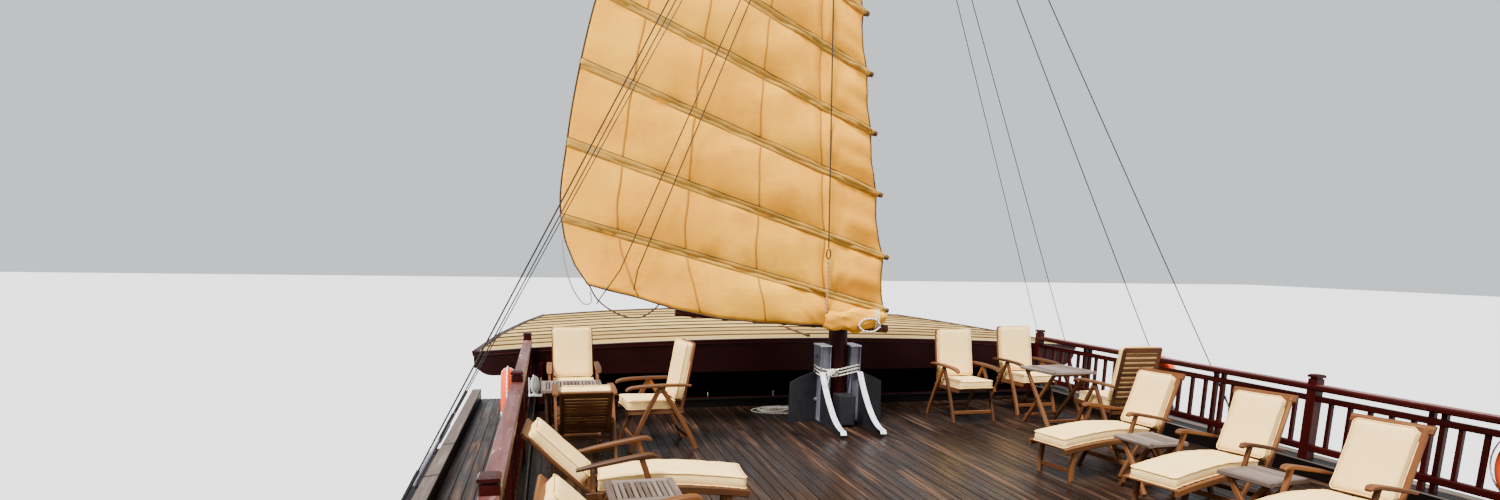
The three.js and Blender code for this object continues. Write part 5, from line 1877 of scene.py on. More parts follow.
    def spars(self, finishes: Finishes) -> None:
        """Builds the boom and the yard, each wound with a rope.

        Args:
            finishes: The finishes by name.
        """
        lacing = MeshMaker(46)
        for row, label, reach in ((0, "boom", 0.06), (len(self.rows) - 1, "yard", 0.12)):
            maker = MeshMaker(45)
            luff, leech = self.rows[row]
            run = Vector((leech[0] - luff[0], leech[1] - luff[1])).normalized()
            whole = math.dist(luff, leech) + 2 * reach
            path, sizes = [], []
            for i in range(25):
                along = -reach + whole * i / 24
                path.append(self.at(luff[0] + run.x * along, luff[1] + run.y * along))
                sizes.append(1 - 0.25 * i / 24)
            maker.tube(path, self.boom, 14, sizes=sizes)
            maker.build(f"{self.name}_{label}_spar", finishes["spar_wood"], self.body, "dark_bamboo",
                        [f"{self.name}_{label}"])
            turns = int(whole / 0.32)
            wound = []
            for n in range(turns * 10 + 1):
                along = -reach * 0.3 + (whole - 1.2 * reach) * n / (turns * 10)
                size = self.boom * (1 - 0.25 * along / whole) + 0.004
                angle = 2 * math.pi * n / 10
                lift = size * math.cos(angle)
                wound.append(self.at(luff[0] + run.x * along - run.y * lift,
                                     luff[1] + run.y * along + run.x * lift,
                                     size * math.sin(angle)))
            lacing.tube(wound, 0.0045, 6)
        lacing.build(self.name + "_lacing", finishes["tan_rope"], self.body, "white_rope")

    def edge_ropes(self, finishes: Finishes) -> None:
        """Sews a thin dark rope along the luff, the leech, the foot and the head.

        Args:
            finishes: The finishes by name.
        """
        maker = MeshMaker(47)
        steps = [(row, s / 10) for row in range(len(self.rows) - 1) for s in range(10)]
        steps.append((len(self.rows) - 2, 1.0))
        for across in (0.0, 1.0):
            maker.tube([self.surface(row, share, across) for row, share in steps], 0.008, 6)
        for row, share in ((0, 0.0), (len(self.rows) - 2, 1.0)):
            maker.tube([self.surface(row, share, i / 60) for i in range(61)], 0.008, 6)
        maker.build(self.name + "_bolt_rope", finishes["tan_rope"], self.body, "white_rope")

    def build(self, finishes: Finishes) -> None:
        """Builds the sail with its spars and ropes.

        Args:
            finishes: The finishes by name.
        """
        self.cloth(finishes)
        self.batten_sleeves(finishes)
        self.seam_strips(finishes)
        self.battens(finishes)
        self.spars(finishes)
        self.edge_ropes(finishes)


# Each row is one batten, from the boom up to the yard: its luff point and its leech point, as (out, up).
FORE_ROWS = (
    ((-0.43, 1.05), (1.78, 1.219)),
    ((-0.43, 1.26), (2.95, 2.14)),
    ((-0.40, 1.83), (2.88, 2.85)),
    ((-0.30, 2.48), (2.74, 3.57)),
    ((-0.21, 3.10), (2.56, 4.23)),
    ((-0.14, 3.68), (2.34, 4.82)),
    ((-0.07, 4.26), (2.08, 5.39)),
    ((0.0, 4.83), (1.76, 5.98)),
    ((0.06, 5.40), (1.30, 6.84)),
)
FORE_FOOT = (
    (-0.43, 1.09),
    (0.2, 1.09),
    (0.9, 1.12),
    (1.4, 1.17),
    (1.84, 1.26),
    (2.27, 1.39),
    (2.49, 1.44),
    (2.71, 1.50),
)
FORE_CLEW = ((2.71, 1.50), (2.83, 1.69), (2.92, 1.93), (2.95, 2.14))
MAIN_ROWS = (
    ((-0.70, 2.35), (4.30, 2.50)),
    ((-0.66, 3.25), (4.48, 3.60)),
    ((-0.60, 4.15), (4.38, 4.70)),
    ((-0.52, 5.05), (4.15, 5.75)),
    ((-0.43, 5.90), (3.80, 6.75)),
    ((-0.33, 6.75), (3.35, 7.70)),
    ((-0.22, 7.60), (2.75, 8.60)),
    ((-0.10, 8.45), (1.70, 9.90)),
)
MIZZEN_ROWS = (
    ((-0.33, 1.50), (2.05, 1.60)),
    ((-0.31, 2.15), (2.16, 2.38)),
    ((-0.27, 2.80), (2.08, 3.16)),
    ((-0.21, 3.45), (1.88, 3.93)),
    ((-0.14, 4.08), (1.56, 4.64)),
    ((-0.06, 4.70), (0.98, 5.60)),
)
FORE_SAIL = Sail("fore", "fore_rig", FOREMAST_X, SUNDECK, 0.19, False, FORE_ROWS, FORE_FOOT, FORE_CLEW)
SAILS = (
    FORE_SAIL,
    Sail("main", "main_rig", MAINMAST_X, SUNDECK, 0.24, True, MAIN_ROWS, across=80, panel_steps=10),
    Sail("mizzen", "mizzen_rig", MIZZENMAST_X, POOP_DECK, 0.16, True, MIZZEN_ROWS, belly=0.05, across=60,
         panel_steps=10),
)


class ForeTackle:
    """The ropes of the fore sail: topping lifts, downhaul, slack sheets, and the bundled tack."""

    lifts = (
        ((0.03, 6.85), (1.23, 4.22), (1.68, 3.23), (2.4, 1.65), (2.63, 1.31)),
        ((0.03, 6.85), (1.13, 4.23), (1.61, 3.1), (2.23, 1.65), (2.27, 1.39)),
    )
    clew_line = ((2.945, 1.93), (2.93, 1.72), (2.86, 1.47), (2.76, 1.32), (2.68, 1.33), (2.69, 1.44))
    foot_line = ((2.7, 1.5), (2.63, 1.37), (2.52, 1.27), (2.36, 1.19), (2.2, 1.18), (2.08, 1.24), (2.0, 1.31))
    slack = (
        ("clew_sheet", "grey_rope", 0.006, clew_line),
        ("foot_sheet", "tan_rope", 0.008, foot_line),
    )

    def taut(self, finishes: Finishes) -> None:
        """Builds the lifts and the downhaul with its hook.

        Args:
            finishes: The finishes by name.
        """
        maker = MeshMaker(191)
        for points in self.lifts:
            last = len(points) - 1
            path = [FORE_SAIL.at(out, up, 0.02 if i in (0, last) else 0.13) for i,
                    (out, up) in enumerate(points)]
            maker.tube(path, 0.006, 6)
        downhaul = ((0.31, 5.65, 0.03), (0.28, 4.31, 0.09), (0.24, 1.9, 0.09))
        maker.tube([FORE_SAIL.at(*spot) for spot in downhaul], 0.008, 8)
        maker.build("fore_lifts", finishes["tan_rope"], "fore_rig", "white_rope")
        pale, hook = MeshMaker(192), MeshMaker(193)
        tail = ((0.24, 1.78, 0.09), (0.235, 1.4, 0.09), (0.23, 1.1, 0.06))
        pale.tube([FORE_SAIL.at(*spot) for spot in tail], 0.011, 8)
        eye = [FORE_SAIL.at(0.24 + 0.022 * math.sin(t), 1.84 + 0.05 * math.cos(t), 0.09)
               for t in round_turn(14)]
        hook.tube(eye, 0.007, 6, loop=True)
        pale.build("fore_downhaul_tail", finishes["pale_rope"], "fore_rig", "white_rope")
        hook.build("fore_downhaul_hook", finishes["iron"], "fore_rig", "black_iron")

    def sheets(self, finishes: Finishes) -> None:
        """Args:
            finishes: The finishes by name.
        """
        for name, finish, radius, points in self.slack:
            drawn = curve(points, 5)
            lift = [0.008 + 0.05 * math.sin(math.pi * i / (len(drawn) - 1)) for i in range(len(drawn))]
            path = [FORE_SAIL.at(float(out), float(up), aft) for (out, up), aft in zip(drawn, lift)]
            maker = MeshMaker(194)
            maker.tube(path, radius, 8)
            piece = maker.build(name, finishes[finish], "fore_rig", "white_rope")

    def bundle(self, finishes: Finishes) -> None:
        """Gathers the tack's spare cloth in a lashed roll over the boom's end.

        Args:
            finishes: The finishes by name.
        """
        maker, rope = MeshMaker(195), MeshMaker(196)
        rings = []
        for i in range(37):
            s = i / 36
            out = 0.25 - 0.69 * s
            full = math.sin(math.pi * min(1.0, max(0.0, 0.12 + 0.8 * s))) ** 0.6
            drop = 0.13 * full * (1 + 0.1 * math.sin(15 * s))
            ring = []
            for k in range(28):
                t = 2 * math.pi * k / 28
                fold = 1 + 0.07 * math.sin(5 * t + 7 * s) + 0.04 * math.sin(9 * t - 16 * s)
                up = 1.16 + 0.03 * s + drop * math.cos(t) * fold * (1.15 if math.cos(t) < 0 else 0.8)
                depth = 0.045 + 0.085 * full * math.sin(t) * fold
                ring.append(FORE_SAIL.at(out + 0.02 * math.sin(3 * t), up, depth))
            rings.append(ring)
        maker.skin(rings)
        maker.build("fore_tack_bundle", finishes["sailcloth"], "fore_rig", "sailcloth")
        for out in (-0.36, -0.33):
            ring = [FORE_SAIL.at(out + 0.012 * math.sin(t), 1.16 + 0.1 * math.cos(t),
                                 0.045 + 0.075 * math.sin(t))
                    for t in round_turn(18)]
            rope.tube(ring, 0.009, 8, loop=True)
        bight = [(-0.36, 1.1), (-0.3, 1.16), (-0.18, 1.16), (-0.12, 1.1), (-0.17, 1.04), (-0.28, 1.03),
                 (-0.36, 1.08)]
        rope.tube([FORE_SAIL.at(float(out), float(up), 0.13) for out, up in curve(bight, 5)], 0.009, 8)
        rope.build("fore_tack_lashing", finishes["white_rope"], "fore_rig", "white_rope")

    def build(self, finishes: Finishes) -> None:
        """Builds all the fore sail's ropes.

        Args:
            finishes: The finishes by name.
        """
        self.taut(finishes)
        self.sheets(finishes)
        self.bundle(finishes)


# Furniture


class Kind(Enum):
    """The makes of deck furniture."""

    ARMCHAIR = "armchair"
    RECLINED_ARMCHAIR = "reclined armchair"
    LOUNGER = "lounger"
    RECLINED_LOUNGER = "reclined lounger"
    TALL_TABLE = "tall table"
    MIDDLE_TABLE = "middle table"
    LOW_TABLE = "low table"
    SMALL_TABLE = "small table"


@dataclass
class Cushion:
    """A boxed cushion: two panels and a border, swollen by a cloth simulation, with piped seams."""

    length: float
    width: float
    depth: float
    step: float = 0.026
    pressure: float = 4.0
    limit: float = 0.014
    piping: float = 0.0042
    round_corner: float = 0.035
    bend: tuple[tuple[float, float], ...] = ()

    def shell(self) -> tuple[list[Vector], list[tuple[int, ...]], list[tuple[float, float, float]],
                             list[list[int]]]:
        """Lays out the cushion as a closed grid.

        Returns:
            Its points, its faces, the grain at each corner, and the two seam loops as point numbers.
        """
        nx, ny = max(4, round(self.length / self.step)), max(4, round(self.width / self.step))
        nz = max(2, round(self.depth / self.step))
        a, b, r = self.length / 2, self.width / 2, self.round_corner
        points: list[Vector] = []
        index: dict[tuple[int, int, int], int] = {}

        def add(i: int, j: int, k: int) -> int:
            """Gives the number of a grid point, which is made at its first use.

            Args:
                i: Its step along the cushion.
                j: Its step across it.
                k: Its step up through it.

            Returns:
                The point's number.
            """
            if (i, j, k) not in index:
                x, y = (2 * i / nx - 1) * a, (2 * j / ny - 1) * b
                dx, dy = max(0.0, abs(x) - (a - r)), max(0.0, abs(y) - (b - r))
                far = math.hypot(dx, dy)
                if far > 0 and dx > 0 and dy > 0:
                    most = max(dx, dy)
                    x = math.copysign(abs(x) - dx + dx * most / far, x)
                    y = math.copysign(abs(y) - dy + dy * most / far, y)
                index[(i, j, k)] = len(points)
                points.append(Vector((x, y, (k / nz - 0.5) * self.depth)))
            return index[(i, j, k)]

        faces: list[tuple[int, ...]] = []
        grain: list[tuple[float, float, float]] = []

        def face(corners: Sequence[tuple[int, int, int]], flat: Sequence[tuple[float, float]]) -> None:
            """Adds one face with the grain at its corners."""
            faces.append(tuple(add(*corner) for corner in corners))
            grain.extend((u, v, 0.5) for u, v in flat)

        sx, sy, sz = self.length / nx, self.width / ny, self.depth / nz
        for i in range(nx):
            for j in range(ny):
                cells = [(i, j), (i + 1, j), (i + 1, j + 1), (i, j + 1)]
                flat = [(p * sx, q * sy) for p, q in cells]
                face([(p, q, nz) for p, q in cells], flat)
                face([(p, q, 0) for p, q in reversed(cells)], flat[::-1])
        for k in range(nz):
            for i in range(nx):
                for j, order in ((0, 1), (ny, -1)):
                    corners = [(i, j, k), (i + 1, j, k), (i + 1, j, k + 1), (i, j, k + 1)][::order]
                    face(corners, [(p * sx, 2 + up * sz) for p, _, up in corners])
            for j in range(ny):
                for i, order in ((nx, 1), (0, -1)):
                    corners = [(i, j, k), (i, j + 1, k), (i, j + 1, k + 1), (i, j, k + 1)][::order]
                    face(corners, [(q * sy, 2 + up * sz) for _, q, up in corners])
        loops = []
        for k in (0, nz):
            loop = [add(i, 0, k) for i in range(nx)] + [add(nx, j, k) for j in range(ny)]
            loop += [add(i, ny, k) for i in range(nx, 0, -1)] + [add(0, j, k) for j in range(ny, 0, -1)]
            loops.append(loop)
        return points, faces, grain, loops

    def swell(self, piece: bpy.types.Object) -> None:
        """Blows the cushion up as cloth, and keeps each point near where it was.

        Args:
            piece: The cushion's object.
        """
        rest = [v.co.copy() for v in piece.data.vertices]
        cloth = piece.modifiers.new("cloth", "CLOTH")
        cloth.settings.quality = 5
        cloth.settings.use_pressure = True
        cloth.settings.uniform_pressure_force = self.pressure
        cloth.settings.effector_weights.gravity = 0
        cloth.settings.tension_stiffness = 12
        cloth.settings.compression_stiffness = 12
        cloth.settings.bending_stiffness = 0.4
        cloth.point_cache.frame_start = 1
        cloth.point_cache.frame_end = 20
        scene = bpy.context.scene
        for number in range(1, 21):
            scene.frame_set(number)
        moved = piece.evaluated_get(bpy.context.evaluated_depsgraph_get())
        ends = [v.co.copy() for v in moved.data.vertices]
        piece.modifiers.remove(cloth)
        scene.frame_set(1)
        for vertex, start, end in zip(piece.data.vertices, rest, ends):
            step = end - start
            if step.length > self.limit:
                step *= self.limit / step.length
            vertex.co = start + step

    def make(self, name: str, material: bpy.types.Material) -> bpy.types.Mesh:
        """Makes the cushion's mesh around its own middle.

        Args:
            name: The mesh's name.
            material: The cover's finish.

        Returns:
            The mesh, with its piping.
        """
        points, faces, grain, loops = self.shell()
        mesh = bpy.data.meshes.new(name)
        mesh.from_pydata(points, [], faces)
        attribute = mesh.attributes.new("grain", "FLOAT_VECTOR", "CORNER")
        attribute.data.foreach_set("vector", np.array(grain, np.float32).ravel())
        piece = bpy.data.objects.new(name, mesh)
        bpy.context.scene.collection.objects.link(piece)
        self.swell(piece)
        for vertex in mesh.vertices:
            vertex.co += self.creases(vertex.co)
        level = piece.modifiers.new("level", "SUBSURF")
        level.levels = 1
        paths = [[mesh.vertices[i].co.copy() for i in loop] for loop in loops]
        bpy.context.view_layer.update()
        finished = bpy.data.meshes.new_from_object(piece.evaluated_get(bpy.context.evaluated_depsgraph_get()))
        bpy.data.objects.remove(piece)
        trim = MeshMaker(51)
        for path, side in zip(paths, (-1, 1)):
            out = [p + Vector((p.x, p.y, 0)).normalized() * 0.0005 + Vector((0, 0, side * 0.0015))
                   for p in path]
            trim.tube(out, self.piping, 6, loop=True)
        joined = bmesh.new()
        joined.from_mesh(finished)
        cord = bpy.data.meshes.new(name + "_piping")
        cord.from_pydata(trim.points, [], trim.faces)
        tags = cord.attributes.new("grain", "FLOAT_VECTOR", "CORNER")
        tags.data.foreach_set("vector", np.array(trim.grain, np.float32).ravel())
        joined.from_mesh(cord)
        joined.to_mesh(finished)
        joined.free()
        if self.bend:
            for vertex in finished.vertices:
                vertex.co.z += float(np.interp(vertex.co.x, *zip(*self.bend)))
        finished.name = name
        finished.polygons.foreach_set("use_smooth", [True] * len(finished.polygons))
        finished.materials.clear()
        finished.materials.append(material)
        return finished

    def creases(self, point: Vector) -> Vector:
        """Gives the small dents and puckers of a used cushion at a point of its cover.

        Args:
            point: A point of the cover.

        Returns:
            The step to add to it.
        """
        x, y = point.x / self.length, point.y / self.width
        edge = min(1.0, max(abs(x), abs(y)) * 2)
        dent = -0.007 * math.exp(-(x * x + y * y) * 9)
        pucker = 0.0022 * math.sin(41 * x + 3) * math.sin(37 * y + 1) * edge ** 3
        lift = dent + pucker if point.z > 0 else 0.0
        return Vector((0.0, 0.0, lift))


def backward(low: Vector, high: Vector, distance: float) -> Vector:
    """Gives the step from a back's middle line towards its rear."""
    run = (high - low).normalized()
    return Vector((-run.z, 0, run.x)) * distance


@dataclass
class Back:
    """The slatted back of a chair: two stiles with rounded ears, slats and a thick top rail."""

    low: tuple[float, float]
    high: tuple[float, float]
    half: float
    below: float = 0.13
    slats: int = 14
    ears: float = 0.0

    def build(self, maker: MeshMaker) -> None:
        """Adds the back to a piece.

        Args:
            maker: The piece that gets the members.
        """
        low, high = Vector((self.low[0], 0, self.low[1])), Vector((self.high[0], 0, self.high[1]))
        back = (high - low).normalized()
        behind = backward(low, high, 0.03)
        start = low - back * self.below
        for side in SIDES:
            y = Vector((0, side * self.half, 0))
            bow = behind * 1.2
            path = [start + y + behind, low + y + bow, (low + high) / 2 + y + bow,
                    high - back * 0.03 + y + behind]
            path += [high - back * 0.012 + y + behind * 0.95, high + y + behind * 0.85]
            maker.sweep(path, chamfered(0.04, 0.024, 0.008), AHEAD, sizes=[1, 1, 1, 1, 0.95, 0.6])
        for n in range(self.slats):
            share = n / (self.slats - 1)
            reach = 1 + 0.2 * math.sin(math.pi * share)
            at = start + (high - start) * (0.05 + 0.92 * share) + behind * reach
            last = n == self.slats - 1
            ends = [at + Vector((0, side * (self.half + (self.ears if last else 0.0)), 0)) for side in SIDES]
            section = chamfered(0.024, 0.056, 0.007) if last else chamfered(0.014, 0.034, 0.005)
            maker.sweep(ends, section, back)


def crossed_legs(maker: MeshMaker, pivot: float, top: float, feet: tuple[float, float], half: float) -> None:
    """Adds two pairs of legs that spread from under the arms, with their stretchers and pivot bolts.

    Args:
        maker: The piece that gets the members.
        pivot: Where the pairs cross, along the chair.
        top: The height of their heads.
        feet: Where the feet of each pair stand.
        half: Half the breadth between the sides.
    """
    for foot in feet:
        for side in SIDES:
            y = side * half
            bend = (pivot + foot) / 2 + (0.02 if foot > pivot else -0.02)
            path = [(pivot, y, top), (bend * 0.5 + pivot * 0.5, y, top * 0.76), (bend, y, top * 0.5),
                    (foot + (bend - foot) * 0.35, y, top * 0.2), (foot, y, 0.0005)]
            maker.sweep(path, chamfered(0.028, 0.044, 0.008), AHEAD)
        x = foot + (pivot - foot) * 0.11 / top
        maker.timber((x, -half, 0.11), (x, half, 0.11), 0.022, 0.038)
    for side in SIDES:
        maker.turned([(0.015, 0), (0.015, 0.006), (0.008, 0.01)], (pivot, side * (half + 0.013), top - 0.04),
                     Vector((0, side, 0)), sides=10)


def drooping_arm(maker: MeshMaker, points: Sequence[tuple[float, float]], half: float) -> None:
    """Adds both arms, flat on top and rounded down at their front tips.

    Args:
        maker: The piece that gets the members.
        points: The (along, up) points of an arm.
        half: Half the breadth between the arms.
    """
    sizes = [0.7, 0.9, *[1.0] * (len(points) - 4), 0.92, 0.62]
    for side in SIDES:
        maker.sweep([(x, side * half, z) for x, z in points], chamfered(0.06, 0.028, 0.011), sizes=sizes)


@dataclass
class Armchair:
    """A folding teak armchair with a seat cushion and a back cushion."""

    back_low: tuple[float, float] = (-0.165, 0.43)
    back_top: tuple[float, float] = (-0.285, 1.0)
    half: float = 0.251

    def frame(self, maker: MeshMaker) -> None:
        """Adds the woodwork to a piece.

        Args:
            maker: The piece that gets the members.
        """
        crossed_legs(maker, 0.02, 0.6, (-0.32, 0.31), self.half)
        arm = [(-0.27, 0.606), (-0.2, 0.614), (0.0, 0.617), (0.2, 0.612), (0.29, 0.603), (0.325, 0.592),
               (0.343, 0.572)]
        drooping_arm(maker, arm, self.half)
        for side in SIDES:
            maker.timber((-0.2, side * 0.228, 0.365), (0.325, side * 0.228, 0.372), 0.028, 0.05)
        for n in range(9):
            x = -0.18 + n * 0.06
            maker.timber((x, -0.225, 0.383), (x, 0.225, 0.383), 0.04, 0.014)
        Back(self.back_low, self.back_top, 0.2).build(maker)

    def cushions(self) -> list[tuple[str, Cushion, Matrix]]:
        """Gives each cushion with its place in the chair.

        Returns:
            Its part, its sizes and its place.
        """
        low = Vector((self.back_low[0], 0, self.back_low[1]))
        high = Vector((self.back_top[0], 0, self.back_top[1]))
        back = Cushion((high - low).length - 0.02, 0.43, 0.062)
        seat = Cushion(0.475, 0.44, 0.07)
        level = Matrix.Translation((0.097, 0, 0.427)) @ Matrix.Rotation(math.radians(-1.5), 4, "Y")
        return [("seat", seat, level), ("back", back, leaning(low, high, 0.53))]


def leaning(low: Vector, high: Vector, share: float) -> Matrix:
    """Gives the place of a cushion that lies along a back, with its length up the back.

    Args:
        low: The foot of the back.
        high: Its top.
        share: How far up it the middle lies.

    Returns:
        The cushion's place in the chair.
    """
    run = high - low
    turn = math.atan2(run.x, run.z)
    place = Matrix.Translation(low + run * share - backward(low, high, 0.008))
    return place @ Matrix.Rotation(turn - math.pi / 2, 4, "Y")


@dataclass
class Lounger:
    """A reclining lounger with a leg rest that bends down and a raised back."""

    back_top: tuple[float, float] = (-0.67, 0.865)
    back_low: tuple[float, float] = (-0.485, 0.355)
    half: float = 0.245
    bend: tuple[tuple[float, float], ...] = (
        (-0.46, 0.378),
        (-0.24, 0.4),
        (-0.02, 0.412),
        (0.15, 0.404),
        (0.32, 0.388),
        (0.45, 0.374),
        (0.56, 0.358),
    )

    def top_at(self, x: float) -> float:
        """Gives the height of the cushion's top along the lounger."""
        return float(np.interp(x, *zip(*self.bend)))

    def frame(self, maker: MeshMaker) -> None:
        """Adds the woodwork to a piece.

        Args:
            maker: The piece that gets the members.
        """
        crossed_legs(maker, -0.3, 0.345, (-0.56, -0.06), self.half - 0.012)
        drooping_arm(maker, [(-0.56, 0.466), (-0.46, 0.49), (-0.34, 0.514), (-0.2, 0.54), (-0.12, 0.553),
                             (-0.08, 0.552), (-0.055, 0.538)], self.half)
        for side in SIDES:
            support = [(-0.1, 0.3), (-0.1, 0.36), (-0.12, 0.44), (-0.15, 0.535)]
            maker.sweep([(x, side * 0.25, z) for x, z in support], chamfered(0.03, 0.038, 0.008), AHEAD)
            path = [(x, side * 0.207, self.top_at(x) - 0.098)
                    for x in (-0.5, -0.3, -0.1, 0.05, 0.2, 0.35, 0.45, 0.56)]
            maker.sweep(path, chamfered(0.026, 0.05, 0.007))
            maker.sweep([(0.44, side * 0.18, 0.0005), (0.445, side * 0.18, 0.12), (0.42, side * 0.19, 0.28)],
                        chamfered(0.034, 0.044, 0.008), AHEAD)
        maker.timber((0.441, -0.17, 0.08), (0.441, 0.17, 0.08), 0.02, 0.034)
        maker.timber((-0.412, -self.half, 0.29), (-0.412, self.half, 0.29), 0.034, 0.036)
        for n in range(17):
            x = -0.46 + n * 0.0625
            z = self.top_at(x) - 0.079
            maker.timber((x, -0.202, z), (x, 0.202, z), 0.038, 0.014)
        Back(self.back_low, self.back_top, 0.19, 0.05, ears=0.045).build(maker)

    def cushions(self) -> list[tuple[str, Cushion, Matrix]]:
        """Gives each cushion with its place in the lounger.

        Returns:
            Its part, its sizes and its place.
        """
        low = Vector((self.back_low[0], 0, self.back_low[1]))
        high = Vector((self.back_top[0], 0, self.back_top[1]))
        middle = 0.062
        bend = tuple((x - middle, z - 0.39) for x, z in self.bend)
        seat = Cushion(0.99, 0.385, 0.07, step=0.028, bend=bend)
        back = Cushion((high - low).length - 0.04, 0.375, 0.066)
        return [("seat", seat, Matrix.Translation((middle, 0, 0.355))),
                ("back", back, leaning(low, high, 0.5))]


@dataclass
class SlattedTable:
    """A square table with a slatted top in a frame, on crossed legs."""

    side: float
    height: float

    def top(self, maker: MeshMaker) -> None:
        """Adds the slatted top to a piece.

        Args:
            maker: The piece that gets the members.
        """
        half, top = self.side / 2, self.height
        for side in SIDES:
            edge = side * (half - 0.022)
            maker.block((-half, edge - 0.022, top - 0.032), (half, edge + 0.022, top), 0.006)
            maker.block((edge - 0.022, -half + 0.044, top - 0.032), (edge + 0.022, half - 0.044, top), 0.006)
        inner = half - 0.046
        count = round(2 * inner / 0.034)
        pitch = 2 * inner / count
        for n in range(count):
            y = -inner + (n + 0.5) * pitch
            maker.timber((-inner, y, top - 0.009), (inner, y, top - 0.009), pitch - 0.009, 0.016, 0.003)

    def frame(self, maker: MeshMaker) -> None:
        """Adds the crossed legs and the bars to a piece.

        Args:
            maker: The piece that gets the members.
        """
        half, top = self.side / 2, self.height
        for end in SIDES:
            y, gap = end * (half - 0.06), end * 0.0165
            maker.timber((-half + 0.04, y + gap, 0.012), (half - 0.06, y + gap, top - 0.03), 0.03, 0.038)
            maker.timber((half - 0.04, y - gap, 0.012), (-half + 0.06, y - gap, top - 0.03), 0.03, 0.038)
            maker.turned([(0.012, 0), (0.012, 0.006), (0.006, 0.009)], (0, y + gap + end * 0.015, top / 2),
                         Vector((0, end, 0)), sides=8)
        for x in (-half + 0.075, half - 0.075):
            maker.timber((x, -half + 0.06, 0.09), (x, half - 0.06, 0.09), 0.02, 0.03)
            maker.timber((x, -half + 0.06, top - 0.045), (x, half - 0.06, top - 0.045), 0.03, 0.03)


# Columns: node, kind, distance forward of midships, distance to port, and heading in degrees.
FURNITURE = (
    ("armchair_1", Kind.ARMCHAIR, 8.41, 2.85, 180),
    ("armchair_2", Kind.RECLINED_ARMCHAIR, 6.85, 2.80, 0),
    ("armchair_3", Kind.ARMCHAIR, 7.18, 2.11, 96),
    ("armchair_4", Kind.ARMCHAIR, 7.95, -1.52, 181),
    ("armchair_5", Kind.ARMCHAIR, 8.26, -2.51, 182),
    ("armchair_6", Kind.ARMCHAIR, 6.57, -2.50, 0),
    ("table_1", Kind.MIDDLE_TABLE, 7.52, 2.89, 0),
    ("table_2", Kind.LOW_TABLE, 4.28, 2.56, 1),
    ("table_3", Kind.TALL_TABLE, 7.38, -2.36, 4),
    ("table_4", Kind.SMALL_TABLE, 4.96, -1.57, 3),
    ("table_5", Kind.SMALL_TABLE, 3.88, -1.55, 8),
    ("lounger_1", Kind.RECLINED_LOUNGER, 4.84, 2.37, 267),
    ("lounger_2", Kind.RECLINED_LOUNGER, 3.42, 2.27, 268),
    ("lounger_3", Kind.LOUNGER, 5.55, -1.53, 99),
    ("lounger_4", Kind.LOUNGER, 4.40, -1.54, 104),
    ("lounger_5", Kind.LOUNGER, 3.36, -1.40, 101),
)


class DeckFurniture:
    """The chairs, loungers and tables that stand on the sundeck."""

    makes = {
        Kind.ARMCHAIR: Armchair(),
        Kind.RECLINED_ARMCHAIR: Armchair((-0.13, 0.33), (-0.545, 0.7)),
        Kind.LOUNGER: Lounger(),
        Kind.RECLINED_LOUNGER: Lounger((-0.86, 0.72)),
        Kind.TALL_TABLE: SlattedTable(0.56, 0.64),
        Kind.MIDDLE_TABLE: SlattedTable(0.58, 0.545),
        Kind.LOW_TABLE: SlattedTable(0.43, 0.43),
        Kind.SMALL_TABLE: SlattedTable(0.38, 0.43),
    }

    def build(self, finishes: Finishes) -> None:
        """Builds each piece of furniture where the frame has it, with its cushions.

        Args:
            finishes: The finishes by name.
        """
        made: dict[tuple[float, float, float], bpy.types.Mesh] = {}
        for index, (name, kind, x, y, heading) in enumerate(FURNITURE):
            make = self.makes[kind]
            place = Matrix.Translation((x, y, SUNDECK)) @ Matrix.Rotation(math.radians(heading), 4, "Z")
            maker = MeshMaker(60 + index)
            maker.move = place
            make.frame(maker)
            maker.build(name + "_frame", finishes["teak"], "ship", "teak", [name])
            if isinstance(make, SlattedTable):
                maker = MeshMaker(80 + index)
                maker.move = place
                make.top(maker)
                maker.build(name + "_top", finishes["table_teak"], "ship", "teak", [name])
                continue
            for part, cushion, where in make.cushions():
                key = (round(cushion.length, 3), cushion.width, cushion.depth)
                if key not in made:
                    made[key] = cushion.make(f"{kind.name.lower()}_{part}_cushion", finishes["cream_canvas"])
                piece = bpy.data.objects.new(f"{name}_{part}_cushion", made[key])
                bpy.context.scene.collection.objects.link(piece)
                piece.matrix_world = place @ where
                fasten(piece, "ship", "cream_cushion", [name])


# Hull


# Columns: station, half-breadth at the sheer, sheer height, half-breadth at the waterline, keel depth.
STATIONS = curve(
    (
        (STERN, 3.0, 4.15, 2.5, 1.7),
        (-14.6, 3.48, 3.7, 3.05, 0.75),
        (-12.8, 3.96, 3.25, 3.6, -0.1),
        (-10.0, 4.33, 2.75, 4.08, -1.5),
        (-5.0, 4.52, 2.3, 4.36, -1.75),
        (0.0, 4.56, 2.15, 4.42, -1.75),
        (5.0, 4.52, 2.3, 4.3, -1.7),
        (9.0, 4.33, 2.75, 3.9, -1.6),
        (12.0, 3.86, 3.3, 2.9, -1.35),
        (14.0, 3.16, 3.8, 1.85, -0.7),
        (15.5, 2.2, 4.28, 1.05, 0.5),
        (16.6, 1.16, 4.7, 0.52, 2.3),
        (BOW, 0.33, 4.95, 0.22, 3.9),
    ),
    6,
)


